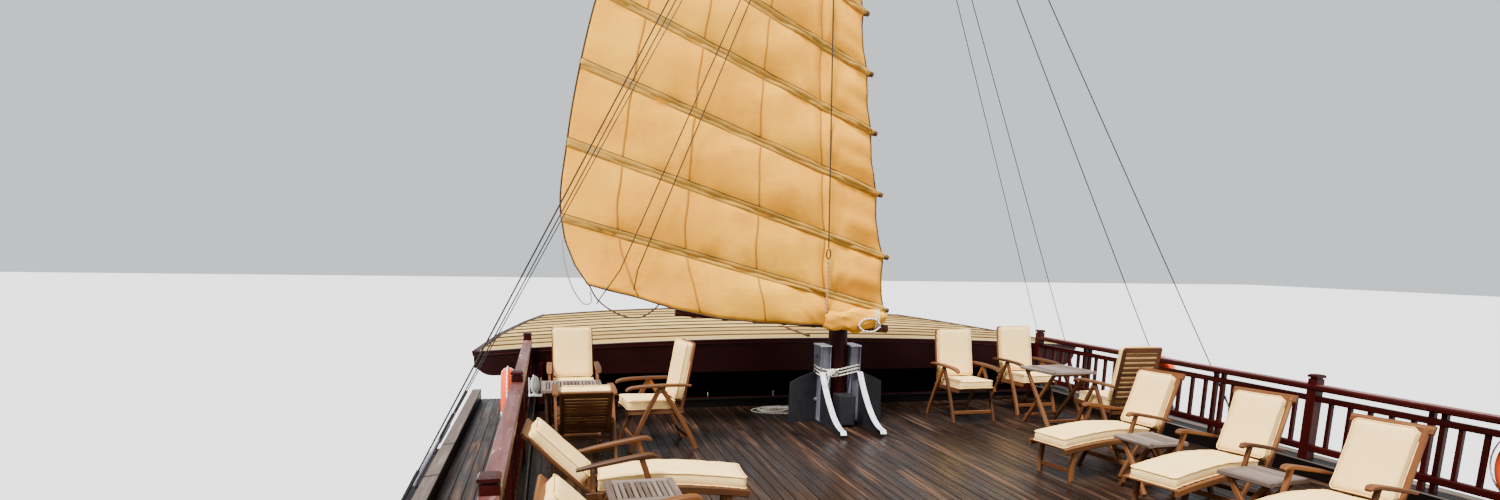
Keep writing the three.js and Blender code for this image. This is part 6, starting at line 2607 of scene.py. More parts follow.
@dataclass(frozen=True)
class Station:
    """The hull's section at one place along it."""

    x: float
    half: float
    sheer: float
    water_half: float
    keel: float

    @classmethod
    def at(cls, x: float) -> "Station":
        """Reads the section from the table."""
        return cls(x, *[float(np.interp(x, STATIONS[:, 0], STATIONS[:, i])) for i in range(1, 5)])

    @property
    def floor(self) -> float:
        """The height of the deck inside the bulwarks."""
        return self.sheer - 0.95

    def side(self) -> np.ndarray:
        """Gives the section's side as (half-breadth, height) points from the keel up.

        Returns:
            One row for each point.
        """
        water = max(0.3, self.keel + 0.4 * (self.sheer - self.keel))
        depth = water - self.keel
        return curve(
            (
                (0.13, self.keel),
                (0.6 * self.water_half, self.keel + 0.24 * depth),
                (0.9 * self.water_half, self.keel + 0.62 * depth),
                (self.water_half, water),
                (0.45 * self.water_half + 0.55 * self.half, water + 0.5 * (self.sheer - water)),
                (self.half, self.sheer),
            ),
            5,
        )

    def half_at(self, height: float) -> float:
        """Gives the half-breadth of the section at a height."""
        side = self.side()
        return float(np.interp(height, side[:, 1], side[:, 0]))


@dataclass
class Hull:
    """The planked hull with its bulwarks, rubbing strakes, open decks, stem, transom and keel."""

    strakes: int = 15
    bulwark: float = 0.11
    stations: tuple[float, ...] = tuple(float(x) for x in np.linspace(STERN, BOW, 67))
    rub_drops: tuple[float, ...] = (0.23, 0.8)
    painted: int = 6

    def planking(self, finishes: Finishes) -> None:
        """Lays the strakes of both sides, the bottom ones painted.

        Args:
            finishes: The finishes by name.
        """
        topsides, bottom = MeshMaker(101), MeshMaker(102)
        sides = [Station.at(x).side() for x in self.stations]
        for k in range(self.strakes):
            maker = bottom if k < self.painted else topsides
            shares = [(k + s) / self.strakes * 25 for s in (0.0, 0.03, 0.5, 0.97, 1.0)]
            for way in SIDES:
                rings = []
                for x, side in zip(self.stations, sides):
                    ys = np.interp(shares, np.arange(26), side[:, 0])
                    zs = np.interp(shares, np.arange(26), side[:, 1])
                    proud = (0.0, 0.012, 0.012, 0.012, 0.0)
                    rings.append([(x, way * (y + out), z) for y, z, out in zip(ys, zs, proud)])
                maker.skin(rings, closed=False, caps=False)
        bottom.build("bottom_planking", finishes["bottom_paint"], "ship", "hull_wood", ["hull"], angle=24)
        topsides.build("topside_planking", finishes["strake_wood"], "ship", "hull_wood", ["hull"], angle=24)

    def along(self, maker: MeshMaker, place: Callable[[Station], tuple[float, float]], width: float,
              height: float,
              xs: Sequence[float] | None = None, sides: Sequence[int] = SIDES) -> None:
        """Runs a timber along the hull.

        Args:
            maker: The piece that gets it.
            place: Gives its half-breadth and height at a station.
            width: Its breadth.
            height: Its depth.
            xs: The stations that it passes.
            sides: The sides that get it.
        """
        for side in sides:
            path = []
            for x in xs or self.stations:
                y, z = place(Station.at(x))
                path.append((x, side * y, z))
            maker.sweep(path, chamfered(width, height, 0.012))

    def timbers(self, finishes: Finishes) -> None:
        """Builds the bulwark, its cap and stanchions, the rubbing strakes, the stem and the catheads.

        Args:
            finishes: The finishes by name.
        """
        inner = MeshMaker(103)
        for side in SIDES:
            rings = []
            for x in self.stations[1:-2]:
                s = Station.at(x)
                heights = [s.floor + lift for lift in (0, 0.3, 0.6, 0.93)]
                rings.append([(x, side * (s.half_at(z) - self.bulwark), z) for z in heights])
            inner.skin(rings, closed=False, caps=False)
            for x in np.arange(-15.3, 16.0, 0.75):
                s = Station.at(x)
                inner.timber((x, side * (s.half_at(s.floor) - 0.15), s.floor),
                             (x, side * (s.half - 0.15), s.sheer - 0.02),
                             0.09, 0.07, 0.008, up=AHEAD)
        inner.build("bulwark_inside", finishes["maroon"], "ship", "hull_wood", ["hull"], solid=False)
        rails = MeshMaker(104)
        self.along(rails, lambda s: (max(s.half - 0.055, 0.05), s.sheer + 0.02), 0.2, 0.05)
        for drop in self.rub_drops:
            self.along(rails, lambda s, d=drop: (s.half_at(s.sheer - d) + 0.02, s.sheer - d), 0.1, 0.13,
                       self.stations[2:-2])
        rails.timber((15.4, 0, 0.35), (17.35, 0, 4.35), 0.24, 0.3, 0.03)
        rails.timber((17.3, 0, 4.25), (17.42, 0, 5.05), 0.22, 0.2, 0.03)
        for side in SIDES:
            rails.block((15.24, side * 2.38 - 0.48, 4.1), (15.36, side * 2.38 + 0.48, 4.26), 0.02)
        s = Station.at(STERN)
        rails.block((-15.83, -s.half, s.sheer - 0.02), (-15.62, s.half, s.sheer + 0.06), 0.015)
        rails.build("hull_timbers", finishes["maroon"], "ship", "hull_wood", ["hull"])

    def ends(self, finishes: Finishes) -> None:
        """Builds the planked transom and bow end, the transom's frames, the keel and the deadwood.

        Args:
            finishes: The finishes by name.
        """
        maker = MeshMaker(105)
        for s, count, inward in ((Station.at(STERN), 12, 0.1), (Station.at(BOW), 5, -0.1)):
            rows = np.linspace(s.keel, s.sheer, count + 1)
            for low, high in zip(rows + 0.003, rows[1:] - 0.003):
                corners = ((-s.half_at(low), low), (s.half_at(low), low), (s.half_at(high), high),
                           (-s.half_at(high), high))
                maker.plate([(s.x, y, z) for y, z in corners], (inward, 0, 0))
        for y in (-2.2, -1.1, 0.0, 1.1, 2.2):
            maker.timber((-15.815, y, 1.95), (-15.815, y, 4.15), 0.12, 0.06, 0.01, up=AHEAD)
        maker.build("transom", finishes["strake_wood"], "ship", "hull_wood", ["hull"])
        keel = MeshMaker(106)
        keel.block((-9.9, -0.13, -1.95), (11.5, 0.13, -1.5), 0.03)
        post = [(-9.8, -1.3), (-11.65, -0.45), (-11.65, -1.82), (-13.45, -1.82), (-13.45, -1.95),
                (-9.8, -1.95)]
        keel.plate([(x, -0.13, z) for x, z in post], (0, 0.26, 0))
        keel.turned([(0.15, 0), (0.15, 0.3), (0.11, 0.8), (0.06, 0.84)], (-11.0, 0, PROPELLER[2]), -AHEAD, 24)
        for start, end in ((-15.78, -13.47), (-13.23, -9.7), (11.3, 15.6)):
            line = [(float(x), 0, Station.at(x).keel + 0.025) for x in np.linspace(start, end, 14)]
            keel.sweep(line, chamfered(0.262, 0.06, 0.01))
        keel.build("keel_timbers", finishes["bottom_paint"], "ship", "hull_wood", ["hull"])

    def open_decks(self, finishes: Finishes) -> None:
        """Lays the boards of the deck that follows the sheer, where the houses leave it open.

        Args:
            finishes: The finishes by name.
        """
        maker = MeshMaker(107)
        for start, end in ((-15.6, -13.75), (12.85, 16.5), (-13.75, 12.85)):
            count = max(4, round((end - start) / 0.7))
            xs = np.linspace(start, end, count)
            edges = {x: Station.at(x).half_at(Station.at(x).floor) - self.bulwark - 0.02 for x in xs}
            for n in range(-28, 29):
                y = n * 0.15
                if end - start > 10 and abs(y) < 3.2:
                    continue
                inside = [x for x in xs if abs(y) < edges[x]]
                if len(inside) > 1:
                    maker.sweep([(x, y, Station.at(x).floor + 0.002) for x in inside],
                                chamfered(0.144, 0.02, 0.003))
        maker.build("lower_deck_boards", finishes["walkway_boards"], "ship", "deck_planks", ["hull"])

    def build(self, finishes: Finishes) -> None:
        """Builds the whole hull.

        Args:
            finishes: The finishes by name.
        """
        self.planking(finishes)
        self.timbers(finishes)
        self.ends(finishes)
        self.open_decks(finishes)


# Houses


class Fill(Enum):
    """What fills an opening in a wall."""

    PANES = "window panes"
    DOOR = "a panelled door"
    FREE = "nothing, for a door leaf of its own"


@dataclass(frozen=True)
class Opening:
    """A window or a door in a wall, by its place along the wall and its heights."""

    middle: float
    half: float
    low: float
    high: float
    fill: Fill = Fill.PANES


class House:
    """Board walls in a frame, with windows and doors, for one of the ship's houses."""

    def __init__(self, name: str, node: str, thick: float = 0.035, seed: int = 120) -> None:
        """Starts an empty house.

        Args:
            name: What its pieces are called after.
            node: The frame's node that it stands for.
            thick: The thickness of its walls.
            seed: Sets the tones of its boards.
        """
        self.name = name
        self.node = node
        self.thick = thick
        self.boards = MeshMaker(seed)
        self.framing = MeshMaker(seed + 1)
        self.panes = MeshMaker(seed + 2)

    def wall(self, a: tuple[float, float], b: tuple[float, float], low: float, high: float,
             openings: Sequence[Opening] = ()) -> None:
        """Builds one wall, with its outside to the right of the way from a to b.

        Args:
            a: Where it starts.
            b: Where it ends.
            low: The height of its foot.
            high: The height of its top.
            openings: Its windows and doors, measured along it from a.
        """
        start, end = Vector((*a, 0)), Vector((*b, 0))
        run = (end - start).normalized()
        length = (end - start).length
        out = Vector((run.y, -run.x, 0))
        count = max(1, round(length / 0.14))
        pitch = length / count

        def at(along: float, height: float, proud: float = 0.0) -> Vector:
            """Gives a point of the wall, or proud of it."""
            return start + run * along + out * proud + UP * height

        for n in range(count):
            s = (n + 0.5) * pitch
            spans = [(low, high)]
            for gap in openings:
                if abs(s - gap.middle) < gap.half:
                    spans = [(low, gap.low), (gap.high, high)]
            for z0, z1 in spans:
                if z1 - z0 > 0.05:
                    self.boards.timber(at(s, z0, -self.thick / 2), at(s, z1, -self.thick / 2),
                                       pitch - 0.0015, self.thick,
                                       0.005, up=out)
        frame = self.framing
        for z, depth, height in ((low + 0.07, 0.03, 0.14), (high - 0.06, 0.03, 0.12),
                                 (low + 0.128, 0.045, 0.03)):
            frame.timber(at(0, z, depth / 2), at(length, z, depth / 2), depth, height, 0.006)
        for s in (0.045, length - 0.045):
            frame.timber(at(s, low, 0.008), at(s, high, 0.008), 0.09, 0.05, 0.008, up=out)
        for gap in openings:
            self.opening(at, out, gap)

    def opening(self, at: Callable[..., Vector], out: Vector, gap: Opening) -> None:
        """Fits a window or a door into a wall.

        Args:
            at: Gives the point at a length, a height and a distance out of the wall.
            out: The way out of the wall.
            gap: The opening.
        """
        spare = 0.045 if gap.fill is Fill.FREE else 0.0
        frame, w, t = self.framing, gap.half + spare, self.thick + 0.045
        mid = -self.thick / 2 + 0.006
        for s in (gap.middle - w, gap.middle + w):
            frame.timber(at(s, gap.low, mid), at(s, gap.high, mid), 0.07, t, 0.008, up=out)
        for z in (gap.low - spare, gap.high + spare):
            frame.timber(at(gap.middle - w - 0.035, z, mid), at(gap.middle + w + 0.035, z, mid), t, 0.07,
                         0.008)
        if gap.fill is Fill.FREE:
            return
        frame.timber(at(gap.middle - w - 0.06, gap.low - 0.03, 0.02),
                     at(gap.middle + w + 0.06, gap.low - 0.03, 0.02),
                     0.09, 0.03, 0.008)
        inner = w - 0.03
        if gap.fill is Fill.PANES:
            self.panes.timber(at(gap.middle, gap.low + 0.03, mid), at(gap.middle, gap.high - 0.03, mid),
                              2 * inner, 0.012,
                              0.002, up=out)
            bars = [gap.middle] if w < 0.6 else [gap.middle - w / 2.6, gap.middle + w / 2.6]
            for s in bars:
                frame.timber(at(s, gap.low, mid), at(s, gap.high, mid), 0.03, 0.03, 0.005, up=out)
            z = gap.low + 0.7 * (gap.high - gap.low)
            frame.timber(at(gap.middle - w, z, mid), at(gap.middle + w, z, mid), 0.03, 0.03, 0.005)
            return
        frame.timber(at(gap.middle, gap.low + 0.03, mid), at(gap.middle, gap.high - 0.03, mid), 2 * inner,
                     0.036, 0.004, up=out)
        rise = gap.high - gap.low
        for z0, z1 in ((0.12, 0.45), (0.52, 0.92)):
            frame.timber(at(gap.middle, gap.low + z0 * rise, mid + 0.022),
                         at(gap.middle, gap.low + z1 * rise, mid + 0.022),
                         inner * 1.4, 0.018, 0.008, up=out)
        frame.turned([(0.012, 0), (0.012, 0.03), (0.03, 0.04), (0.034, 0.055), (0.02, 0.07)],
                     at(gap.middle + inner * 0.85, gap.low + 0.48 * rise, mid + 0.016), out, 12)

    def finish(self, finishes: Finishes) -> None:
        """Makes the house's pieces.

        Args:
            finishes: The finishes by name.
        """
        self.boards.build(self.name + "_boards", finishes["house_maroon"], "ship", "maroon_paint",
                          [self.node])
        self.framing.build(self.name + "_framing", finishes["maroon"], "ship", "maroon_paint", [self.node])
        if self.panes.points:
            self.panes.build(self.name + "_glass", finishes["window_glass"], "ship", "window_glass",
                             [self.node])


class Houses:
    """The lower, upper and poop houses, the upper deck, the poop deck and the stairs to it."""

    lower_xs = (-13.8, -12.8, -10.0, -5.0, 0.0, 5.0, 9.0, 12.0, 12.9)
    deck_front = 13.0
    deck_back = -14.1

    def lower(self, finishes: Finishes) -> None:
        """Builds the house that stands on the hull's deck.

        Args:
            finishes: The finishes by name.
        """
        house = House("lower_house", "lower_house", seed=120)
        top = UPPER_DECK - DECK_THICKNESS - 0.002
        half = {x: Station.at(x).half_at(Station.at(x).floor) - 0.26 for x in self.lower_xs}
        for x0, x1 in zip(self.lower_xs, self.lower_xs[1:]):
            low = min(Station.at(x).floor for x in (x0, x1)) + 0.01
            run = math.hypot(x1 - x0, half[x1] - half[x0])
            count = int(run / 1.25)
            gaps = [Opening((n + 0.5) * run / count, 0.3, top - 1.1, top - 0.4)
                    for n in range(count)] if count else []
            house.wall((x0, -half[x0]), (x1, -half[x1]), low, top, gaps)
            house.wall((x1, half[x1]), (x0, half[x0]), low, top, gaps)
        for x, way in ((12.9, 1), (-13.8, -1)):
            y, low = half[x], Station.at(x).floor
            door = Opening(y, 0.4, low + 0.08, min(low + 1.75, top - 0.1),
                           Fill.DOOR) if top - low > 1.2 else None
            house.wall((x, -way * y), (x, way * y), low + 0.01, top, [door] if door else [])
        house.finish(finishes)

    def upper(self, finishes: Finishes) -> None:
        """Builds the upper house.

        Args:
            finishes: The finishes by name.
        """
        house = House("upper_house", "upper_house", seed=130)
        low, top = UPPER_DECK + 0.001, SUNDECK - DECK_THICKNESS - 0.002
        y, x0, x1 = 3.3, -12.4, 9.0
        gaps = [Opening(1.2 + n * 2.35, 0.72, low + 0.85, low + 1.9) for n in range(9)]
        gaps[4] = Opening(1.2 + 4 * 2.35, 0.42, low + 0.02, low + 2.0, Fill.DOOR)
        house.wall((x0, -y), (x1, -y), low, top, gaps)
        house.wall((x1, y), (x0, y), low, top, gaps)
        after = [Opening(s, 0.6, low + 0.85, low + 1.9) for s in (1.7, 4.9)]
        after.insert(1, Opening(3.3, 0.42, low + 0.02, low + 2.0, Fill.DOOR))
        house.wall((x0, y), (x0, -y), low, top, after)
        house.wall((x1, -y), (x1, y), low, top)
        house.finish(finishes)

    def poop(self, finishes: Finishes) -> None:
        """Builds the poop house and the deck on it.

        Args:
            finishes: The finishes by name.
        """
        house = House("poop_house", "poop_house", seed=140)
        low, top = SUNDECK + 0.001, POOP_DECK - 0.102
        y, x0, x1 = 3.25, -12.6, -9.5
        gaps = [Opening(0.8 + n * 1.5, 0.42, low + 0.32, low + 0.78) for n in range(2)]
        house.wall((x0, -y), (x1, -y), low, top, gaps)
        house.wall((x1, y), (x0, y), low, top, gaps)
        ends = [Opening(1.3 + n * 1.3, 0.42, low + 0.32, low + 0.78) for n in range(4)]
        house.wall((x0, y), (x0, -y), low, top, ends)
        house.wall((x1, -y), (x1, y), low, top, ends[:3])
        house.finish(finishes)
        deck = MeshMaker(143)
        PlankedDeck(depth=0.012).lay(deck, -13.03, POOP_FRONT - 0.02, -3.48, 3.48, POOP_DECK)
        deck.build("poop_deck_boards", finishes["walkway_boards"], "ship", "deck_planks", ["poop_house"])
        body = MeshMaker(144)
        body.block((-13.04, -3.49, POOP_DECK - 0.1), (POOP_FRONT - 0.01, 3.49, POOP_DECK - 0.013))
        for x in (-13.05, POOP_FRONT - 0.01):
            body.block((x - 0.02, -3.5, POOP_DECK - 0.1), (x + 0.01, 3.5, POOP_DECK + 0.002), 0.008)
        for side in SIDES:
            body.block((-13.05, side * 3.49 - 0.012, POOP_DECK - 0.1),
                       (POOP_FRONT, side * 3.49 + 0.012, POOP_DECK + 0.002), 0.008)
        body.build("poop_deck_body", finishes["maroon"], "ship", "maroon_paint", ["poop_house"])

    def upper_deck(self, finishes: Finishes) -> None:
        """Lays the upper deck around the upper house, with its edge timbers.

        Args:
            finishes: The finishes by name.
        """
        maker = MeshMaker(145)
        for n in range(-33, 34):
            y = n * 0.14
            spans = ((self.deck_back, self.deck_front),)
            if abs(y) < 3.25:
                spans = ((self.deck_back, -12.35), (8.95, self.deck_front))
            for start, end in spans:
                inside = [x for x in np.linspace(start, end, 2 + int((end - start) / 0.6))
                          if abs(y) < Station.at(x).half - 0.03]
                cuts = [*range(0, len(inside) - 1, 9), len(inside) - 1] if len(inside) > 1 else []
                for i, j in zip(cuts, cuts[1:]):
                    z = UPPER_DECK - 0.006
                    maker.timber((inside[i], y, z), (inside[j] - 0.002, y, z), 0.135, 0.012, 0.002)
        maker.build("upper_deck_boards", finishes["walkway_boards"], "ship", "deck_planks", ["upper_deck"])
        body = MeshMaker(146)
        xs = [float(x) for x in np.linspace(self.deck_back, self.deck_front, 46)]
        rings = []
        for x in xs:
            edge = Station.at(x).half + 0.03
            rings.append([(x, -edge, UPPER_DECK - 0.15), (x, edge, UPPER_DECK - 0.15),
                          (x, edge, UPPER_DECK - 0.011),
                          (x, -edge, UPPER_DECK - 0.011)])
        body.skin(rings)
        for side in SIDES:
            path = [(x, side * (Station.at(x).half + 0.035), UPPER_DECK - 0.08) for x in xs]
            body.sweep(path, chamfered(0.05, 0.165, 0.01))
        for x in (self.deck_front, self.deck_back):
            edge = Station.at(x).half + 0.05
            body.block((x - 0.02, -edge, UPPER_DECK - 0.16), (x + 0.02, edge, UPPER_DECK + 0.002), 0.01)
        body.build("upper_deck_body", finishes["maroon"], "ship", "maroon_paint", ["upper_deck"])

    def stairs(self, finishes: Finishes) -> None:
        """Builds the steps up to the poop.

        Args:
            finishes: The finishes by name.
        """
        maker = MeshMaker(147)
        for step in range(1, 5):
            top = SUNDECK + step * 0.21
            front = POOP_FRONT + 0.01 + (5 - step) * 0.25
            maker.block((front - 0.28, 1.9, top - 0.04), (front, 2.7, top), 0.008)
            maker.block((front - 0.28, 1.9, top - 0.21), (front - 0.262, 2.7, top - 0.035), 0.004)
        for y in (1.87, 2.7):
            outline = [(POOP_FRONT + 0.005, SUNDECK + 0.001), (POOP_FRONT + 1.25, SUNDECK + 0.001),
                       (POOP_FRONT + 1.25, SUNDECK + 0.2), (POOP_FRONT + 0.2, POOP_DECK - 0.11),
                       (POOP_FRONT + 0.005, POOP_DECK - 0.11)]
            maker.plate([(x, y, z) for x, z in outline], (0, 0.035, 0))
        maker.build("poop_stair_woodwork", finishes["rail_maroon"], "ship", "maroon_paint", ["poop_stairs"])

    def build(self, finishes: Finishes) -> None:
        """Builds the houses from the lowest up.

        Args:
            finishes: The finishes by name.
        """
        self.lower(finishes)
        self.upper_deck(finishes)
        self.upper(finishes)
        self.poop(finishes)
        self.stairs(finishes)


@dataclass
class Wheelhouse:
    """The wheelhouse with its windows, doors and helm."""

    back: float = 9.14
    front: float = 12.7
    top: float = SUNDECK + 0.54
    low: float = UPPER_DECK + 0.001
    window: tuple[float, float] = (UPPER_DECK + 1.15, UPPER_DECK + 2.1)
    door: float = 10.52

    def half_at(self, x: float) -> float:
        """Gives the half-breadth of its side at a station."""
        return 3.25 - (x - self.back) * WHEELHOUSE_TAPER

    def walls(self, finishes: Finishes) -> None:
        """Builds the walls, open at the back above the sundeck's sill.

        Args:
            finishes: The finishes by name.
        """
        house = House("wheelhouse", "wheelhouse", 0.07, 150)
        scale = math.hypot(1, WHEELHOUSE_TAPER)
        ends = (self.half_at(self.back), self.half_at(self.front))
        for side in SIDES:
            gaps = []
            for x, half in ((9.65, 0.3), (11.35, 0.33), (12.25, 0.33)):
                s = (x - self.back) * scale if side < 0 else (self.front - x) * scale
                gaps.append(Opening(s, half, *self.window))
            s = (self.door - self.back) * scale if side < 0 else (self.front - self.door) * scale
            gaps.append(Opening(s, 0.385, UPPER_DECK + 0.14, UPPER_DECK + 2.06, Fill.FREE))
            a, b = (self.back, side * ends[0]), (self.front, side * ends[1])
            if side > 0:
                a, b = b, a
            house.wall(a, b, self.low, self.top, gaps)
        house.wall((self.front, -ends[1]), (self.front, ends[1]), self.low, self.top,
                   [Opening(ends[1] + (i - 2) * 1.05, 0.44, *self.window) for i in range(5)])
        house.wall((self.back, ends[0]), (self.back, -ends[0]), self.low, SUNDECK + 0.085)
        house.finish(finishes)

    def doors(self, finishes: Finishes) -> None:
        """Builds the two door leaves, each on its own hinge.

        Args:
            finishes: The finishes by name.
        """
        for side, label in ((1, "port"), (-1, "starboard")):
            maker, pane = MeshMaker(155), MeshMaker(156)
            spot = (DOOR_HINGE_X, side * (self.half_at(DOOR_HINGE_X) + 0.005), UPPER_DECK + 0.15)
            turn = Matrix.Translation(spot) @ Matrix.Rotation(side * math.atan(-WHEELHOUSE_TAPER), 4, "Z")
            maker.move = pane.move = turn
            y = -side * 0.04
            for x0, x1, z0, z1 in ((-0.75, -0.59, 0, 1.9), (-0.17, -0.01, 0, 1.9), (-0.59, -0.17, 1.7, 1.9),
                                   (-0.59, -0.17, 0, 0.2), (-0.59, -0.17, 0.85, 1.0)):
                maker.block((x0, y - 0.03, z0), (x1, y + 0.03, z1), 0.006)
            maker.block((-0.6, y - 0.012, 0.18), (-0.16, y + 0.012, 0.87), 0.003)
            maker.block((-0.52, y - 0.02, 0.27), (-0.24, y + 0.02, 0.78), 0.01)
            pane.block((-0.6, y - 0.006, 0.99), (-0.16, y + 0.006, 1.71), 0.001)
            maker.turned([(0.012, 0), (0.012, 0.03), (0.028, 0.045), (0.028, 0.06), (0.015, 0.075)],
                         (-0.67, y + side * 0.028, 0.9), Vector((0, side, 0)), 12)
            name = f"wheelhouse_door_{label}"
            maker.build(name + "_leaf", finishes["rail_maroon"], label + "_door", "maroon_paint", [name])
            pane.build(name + "_glass", finishes["window_glass"], label + "_door", "window_glass", [name])

    def helm(self, finishes: Finishes) -> None:
        """Builds the helm desk and the spoked wheel.

        Args:
            finishes: The finishes by name.
        """
        maker = MeshMaker(157)
        desk = UPPER_DECK + 1.05
        maker.block((11.52, -0.48, UPPER_DECK + 0.001), (11.88, 0.48, desk - 0.03), 0.008)
        maker.block((11.5, -0.5, desk - 0.035), (11.9, 0.5, desk), 0.01)
        for y in (-0.24, 0.24):
            maker.block((11.503, y - 0.19, UPPER_DECK + 0.15), (11.53, y + 0.19, desk - 0.15), 0.008)
        maker.block((11.46, -0.1, UPPER_DECK + 0.9), (11.62, 0.1, UPPER_DECK + 1.23), 0.012)
        hub = Vector((11.39, 0, UPPER_DECK + 1.15))
        rim = [hub + Vector((0, y, z)) for y, z in circle(0.355, 40)]
        maker.sweep(rim, chamfered(0.05, 0.046, 0.01), AHEAD, loop=True)
        maker.turned([(0.03, -0.1), (0.075, -0.08), (0.075, 0.03), (0.05, 0.05), (0.05, 0.1)], hub, AHEAD, 20)
        for spoke in range(6):
            t = spoke * math.pi / 3
            way = Vector((0, math.cos(t), math.sin(t)))
            maker.turned([(0.013, 0.05), (0.02, 0.14), (0.012, 0.24), (0.018, 0.33), (0.016, 0.385),
                          (0.011, 0.4),
                          (0.017, 0.425), (0.008, 0.44)], hub, way, 10)
        maker.build("helm_woodwork", finishes["teak"], "ship", "teak", ["helm"])

    def build(self, finishes: Finishes) -> None:
        """Builds the wheelhouse.

        Args:
            finishes: The finishes by name.
        """
        self.walls(finishes)
        self.doors(finishes)
        self.helm(finishes)


# Rigging and gear


@dataclass
class Shrouds:
    """The wires that hold a mast to one side, with turnbuckles on a channel board."""

    name: str
    side: int
    spread: float
    feet: tuple[float, ...]
    mast_x: float
    head: float
    drop: float
    reach: float

    def build(self, finishes: Finishes) -> None:
        """Builds the wires and their fittings.

        Args:
            finishes: The finishes by name.
        """
        wires, steel, board = MeshMaker(161), MeshMaker(162), MeshMaker(163)
        y = self.side * (SIDE_DECK_HALF + self.spread)
        foot_z = SUNDECK - 0.06
        top = Vector((self.mast_x - self.reach, self.side * 0.0565, self.head - self.drop))
        crane = top
        for n, x in enumerate(self.feet):
            foot = Vector((x, y, foot_z))
            top = crane - UP * 0.16 * n
            way = (top - foot).normalized()
            wires.tube([foot + way * 0.62, (foot + top) / 2, top - way * 0.05], 0.0055, 6)
            wires.tube([foot + way * 0.42, foot + way * 0.66], 0.011, 6)
            steel.turned([(0.009, 0), (0.012, 0.02), (0.012, 0.1), (0.019, 0.11), (0.019, 0.3),
                          (0.012, 0.31), (0.01, 0.44)],
                         foot, way, 10)
            steel.tube([foot - UP * 0.05, foot + way * 0.04], 0.017, 8)
        steel.turned([(0.012, 0.03 - 0.16 * len(self.feet)), (0.02, 0.04 - 0.16 * len(self.feet)),
                      (0.02, 0.04), (0.012, 0.05)],
                     crane, UP, 12)
        y0, y1 = sorted((self.side * (SIDE_DECK_HALF + 0.003), y + self.side * 0.025))
        board.block((self.feet[0] - 0.12, y0, foot_z - 0.06), (self.feet[-1] + 0.12, y1, foot_z + 0.01), 0.01)
        wires.build(self.name + "_wires", finishes["wire"], "ship", "rigging_wire", [self.name])
        steel.build(self.name + "_fittings", finishes["galvanised"], "ship", "galvanised_steel", [self.name])
        board.build(self.name + "_channel", finishes["black_paint"], "ship", "maroon_paint", [self.name])


SHROUDS = (
    Shrouds("fore_shrouds_port", 1, 0.075, (4.5, 6.3, 7.45), FOREMAST_X, FOREMAST_HEAD, *FORE_CRANE),
    Shrouds("fore_shrouds_starboard", -1, 0.3, (6.85, 7.83, 9.75, 10.45), FOREMAST_X, FOREMAST_HEAD,
            *FORE_CRANE),
    Shrouds("main_shrouds_port", 1, 0.075, (-4.5, -4.0, -3.5), MAINMAST_X, MAINMAST_HEAD, *MAIN_CRANE),
    Shrouds("main_shrouds_starboard", -1, 0.075, (-4.5, -4.0, -3.5), MAINMAST_X, MAINMAST_HEAD, *MAIN_CRANE),
)


@dataclass
class Lifebuoy:
    """An orange ring with white bands and a grab rope, hung outside a rail."""

    name: str
    middle: tuple[float, float, float]
    node: str | None = None
    radius: float = 0.252
    thick: float = 0.057
    bands: int = 3
    first_band: float = 195.0

    def arc(self, start: float, end: float, count: int, out: float = 0.0) -> list[Vector]:
        """Gives points around the ring between two turns.

        Args:
            start: The first turn.
            end: The last turn.
            count: How many steps lie between them.
            out: How far outside the ring's middle line they lie.

        Returns:
            The points in order.
        """
        r = self.radius + out
        turns = [start + (end - start) * i / count for i in range(count + 1)]
        return [Vector(self.middle) + Vector((r * math.cos(t), 0, r * math.sin(t))) for t in turns]

    def build(self, finishes: Finishes) -> None:
        """Builds the ring, its bands and its rope.

        Args:
            finishes: The finishes by name.
        """
        ring, bands, rope = MeshMaker(171), MeshMaker(172), MeshMaker(173)
        ring.tube(self.arc(0, 2 * math.pi, 48)[:-1], self.thick, 16, loop=True)
        for k in range(self.bands):
            middle = math.radians(self.first_band + 360 / self.bands * k)
            bands.tube(self.arc(middle - 0.13, middle + 0.13, 5), self.thick + 0.0025, 16)
            for a in (middle - 0.1, middle + 0.1):
                rope.tube(self.arc(a, a + 0.02, 1), self.thick + 0.006, 16)
            span = self.arc(middle + 0.1, middle + math.tau / self.bands - 0.1, 12, self.thick + 0.006)
            slack = [p + (p - Vector(self.middle)).normalized() * 0.035 * math.sin(math.pi * i / 12)
                     for i, p in enumerate(span)]
            rope.tube(slack, 0.006, 6)
        replaced = [self.node] if self.node else []
        ring.build(self.name + "_ring", finishes["orange_canvas"], "ship", "lifebuoy_orange", replaced)
        bands.build(self.name + "_bands", finishes["white_canvas"], "ship", "white_rope", replaced)
        rope.build(self.name + "_grab_rope", finishes["white_rope"], "ship", "white_rope", replaced)


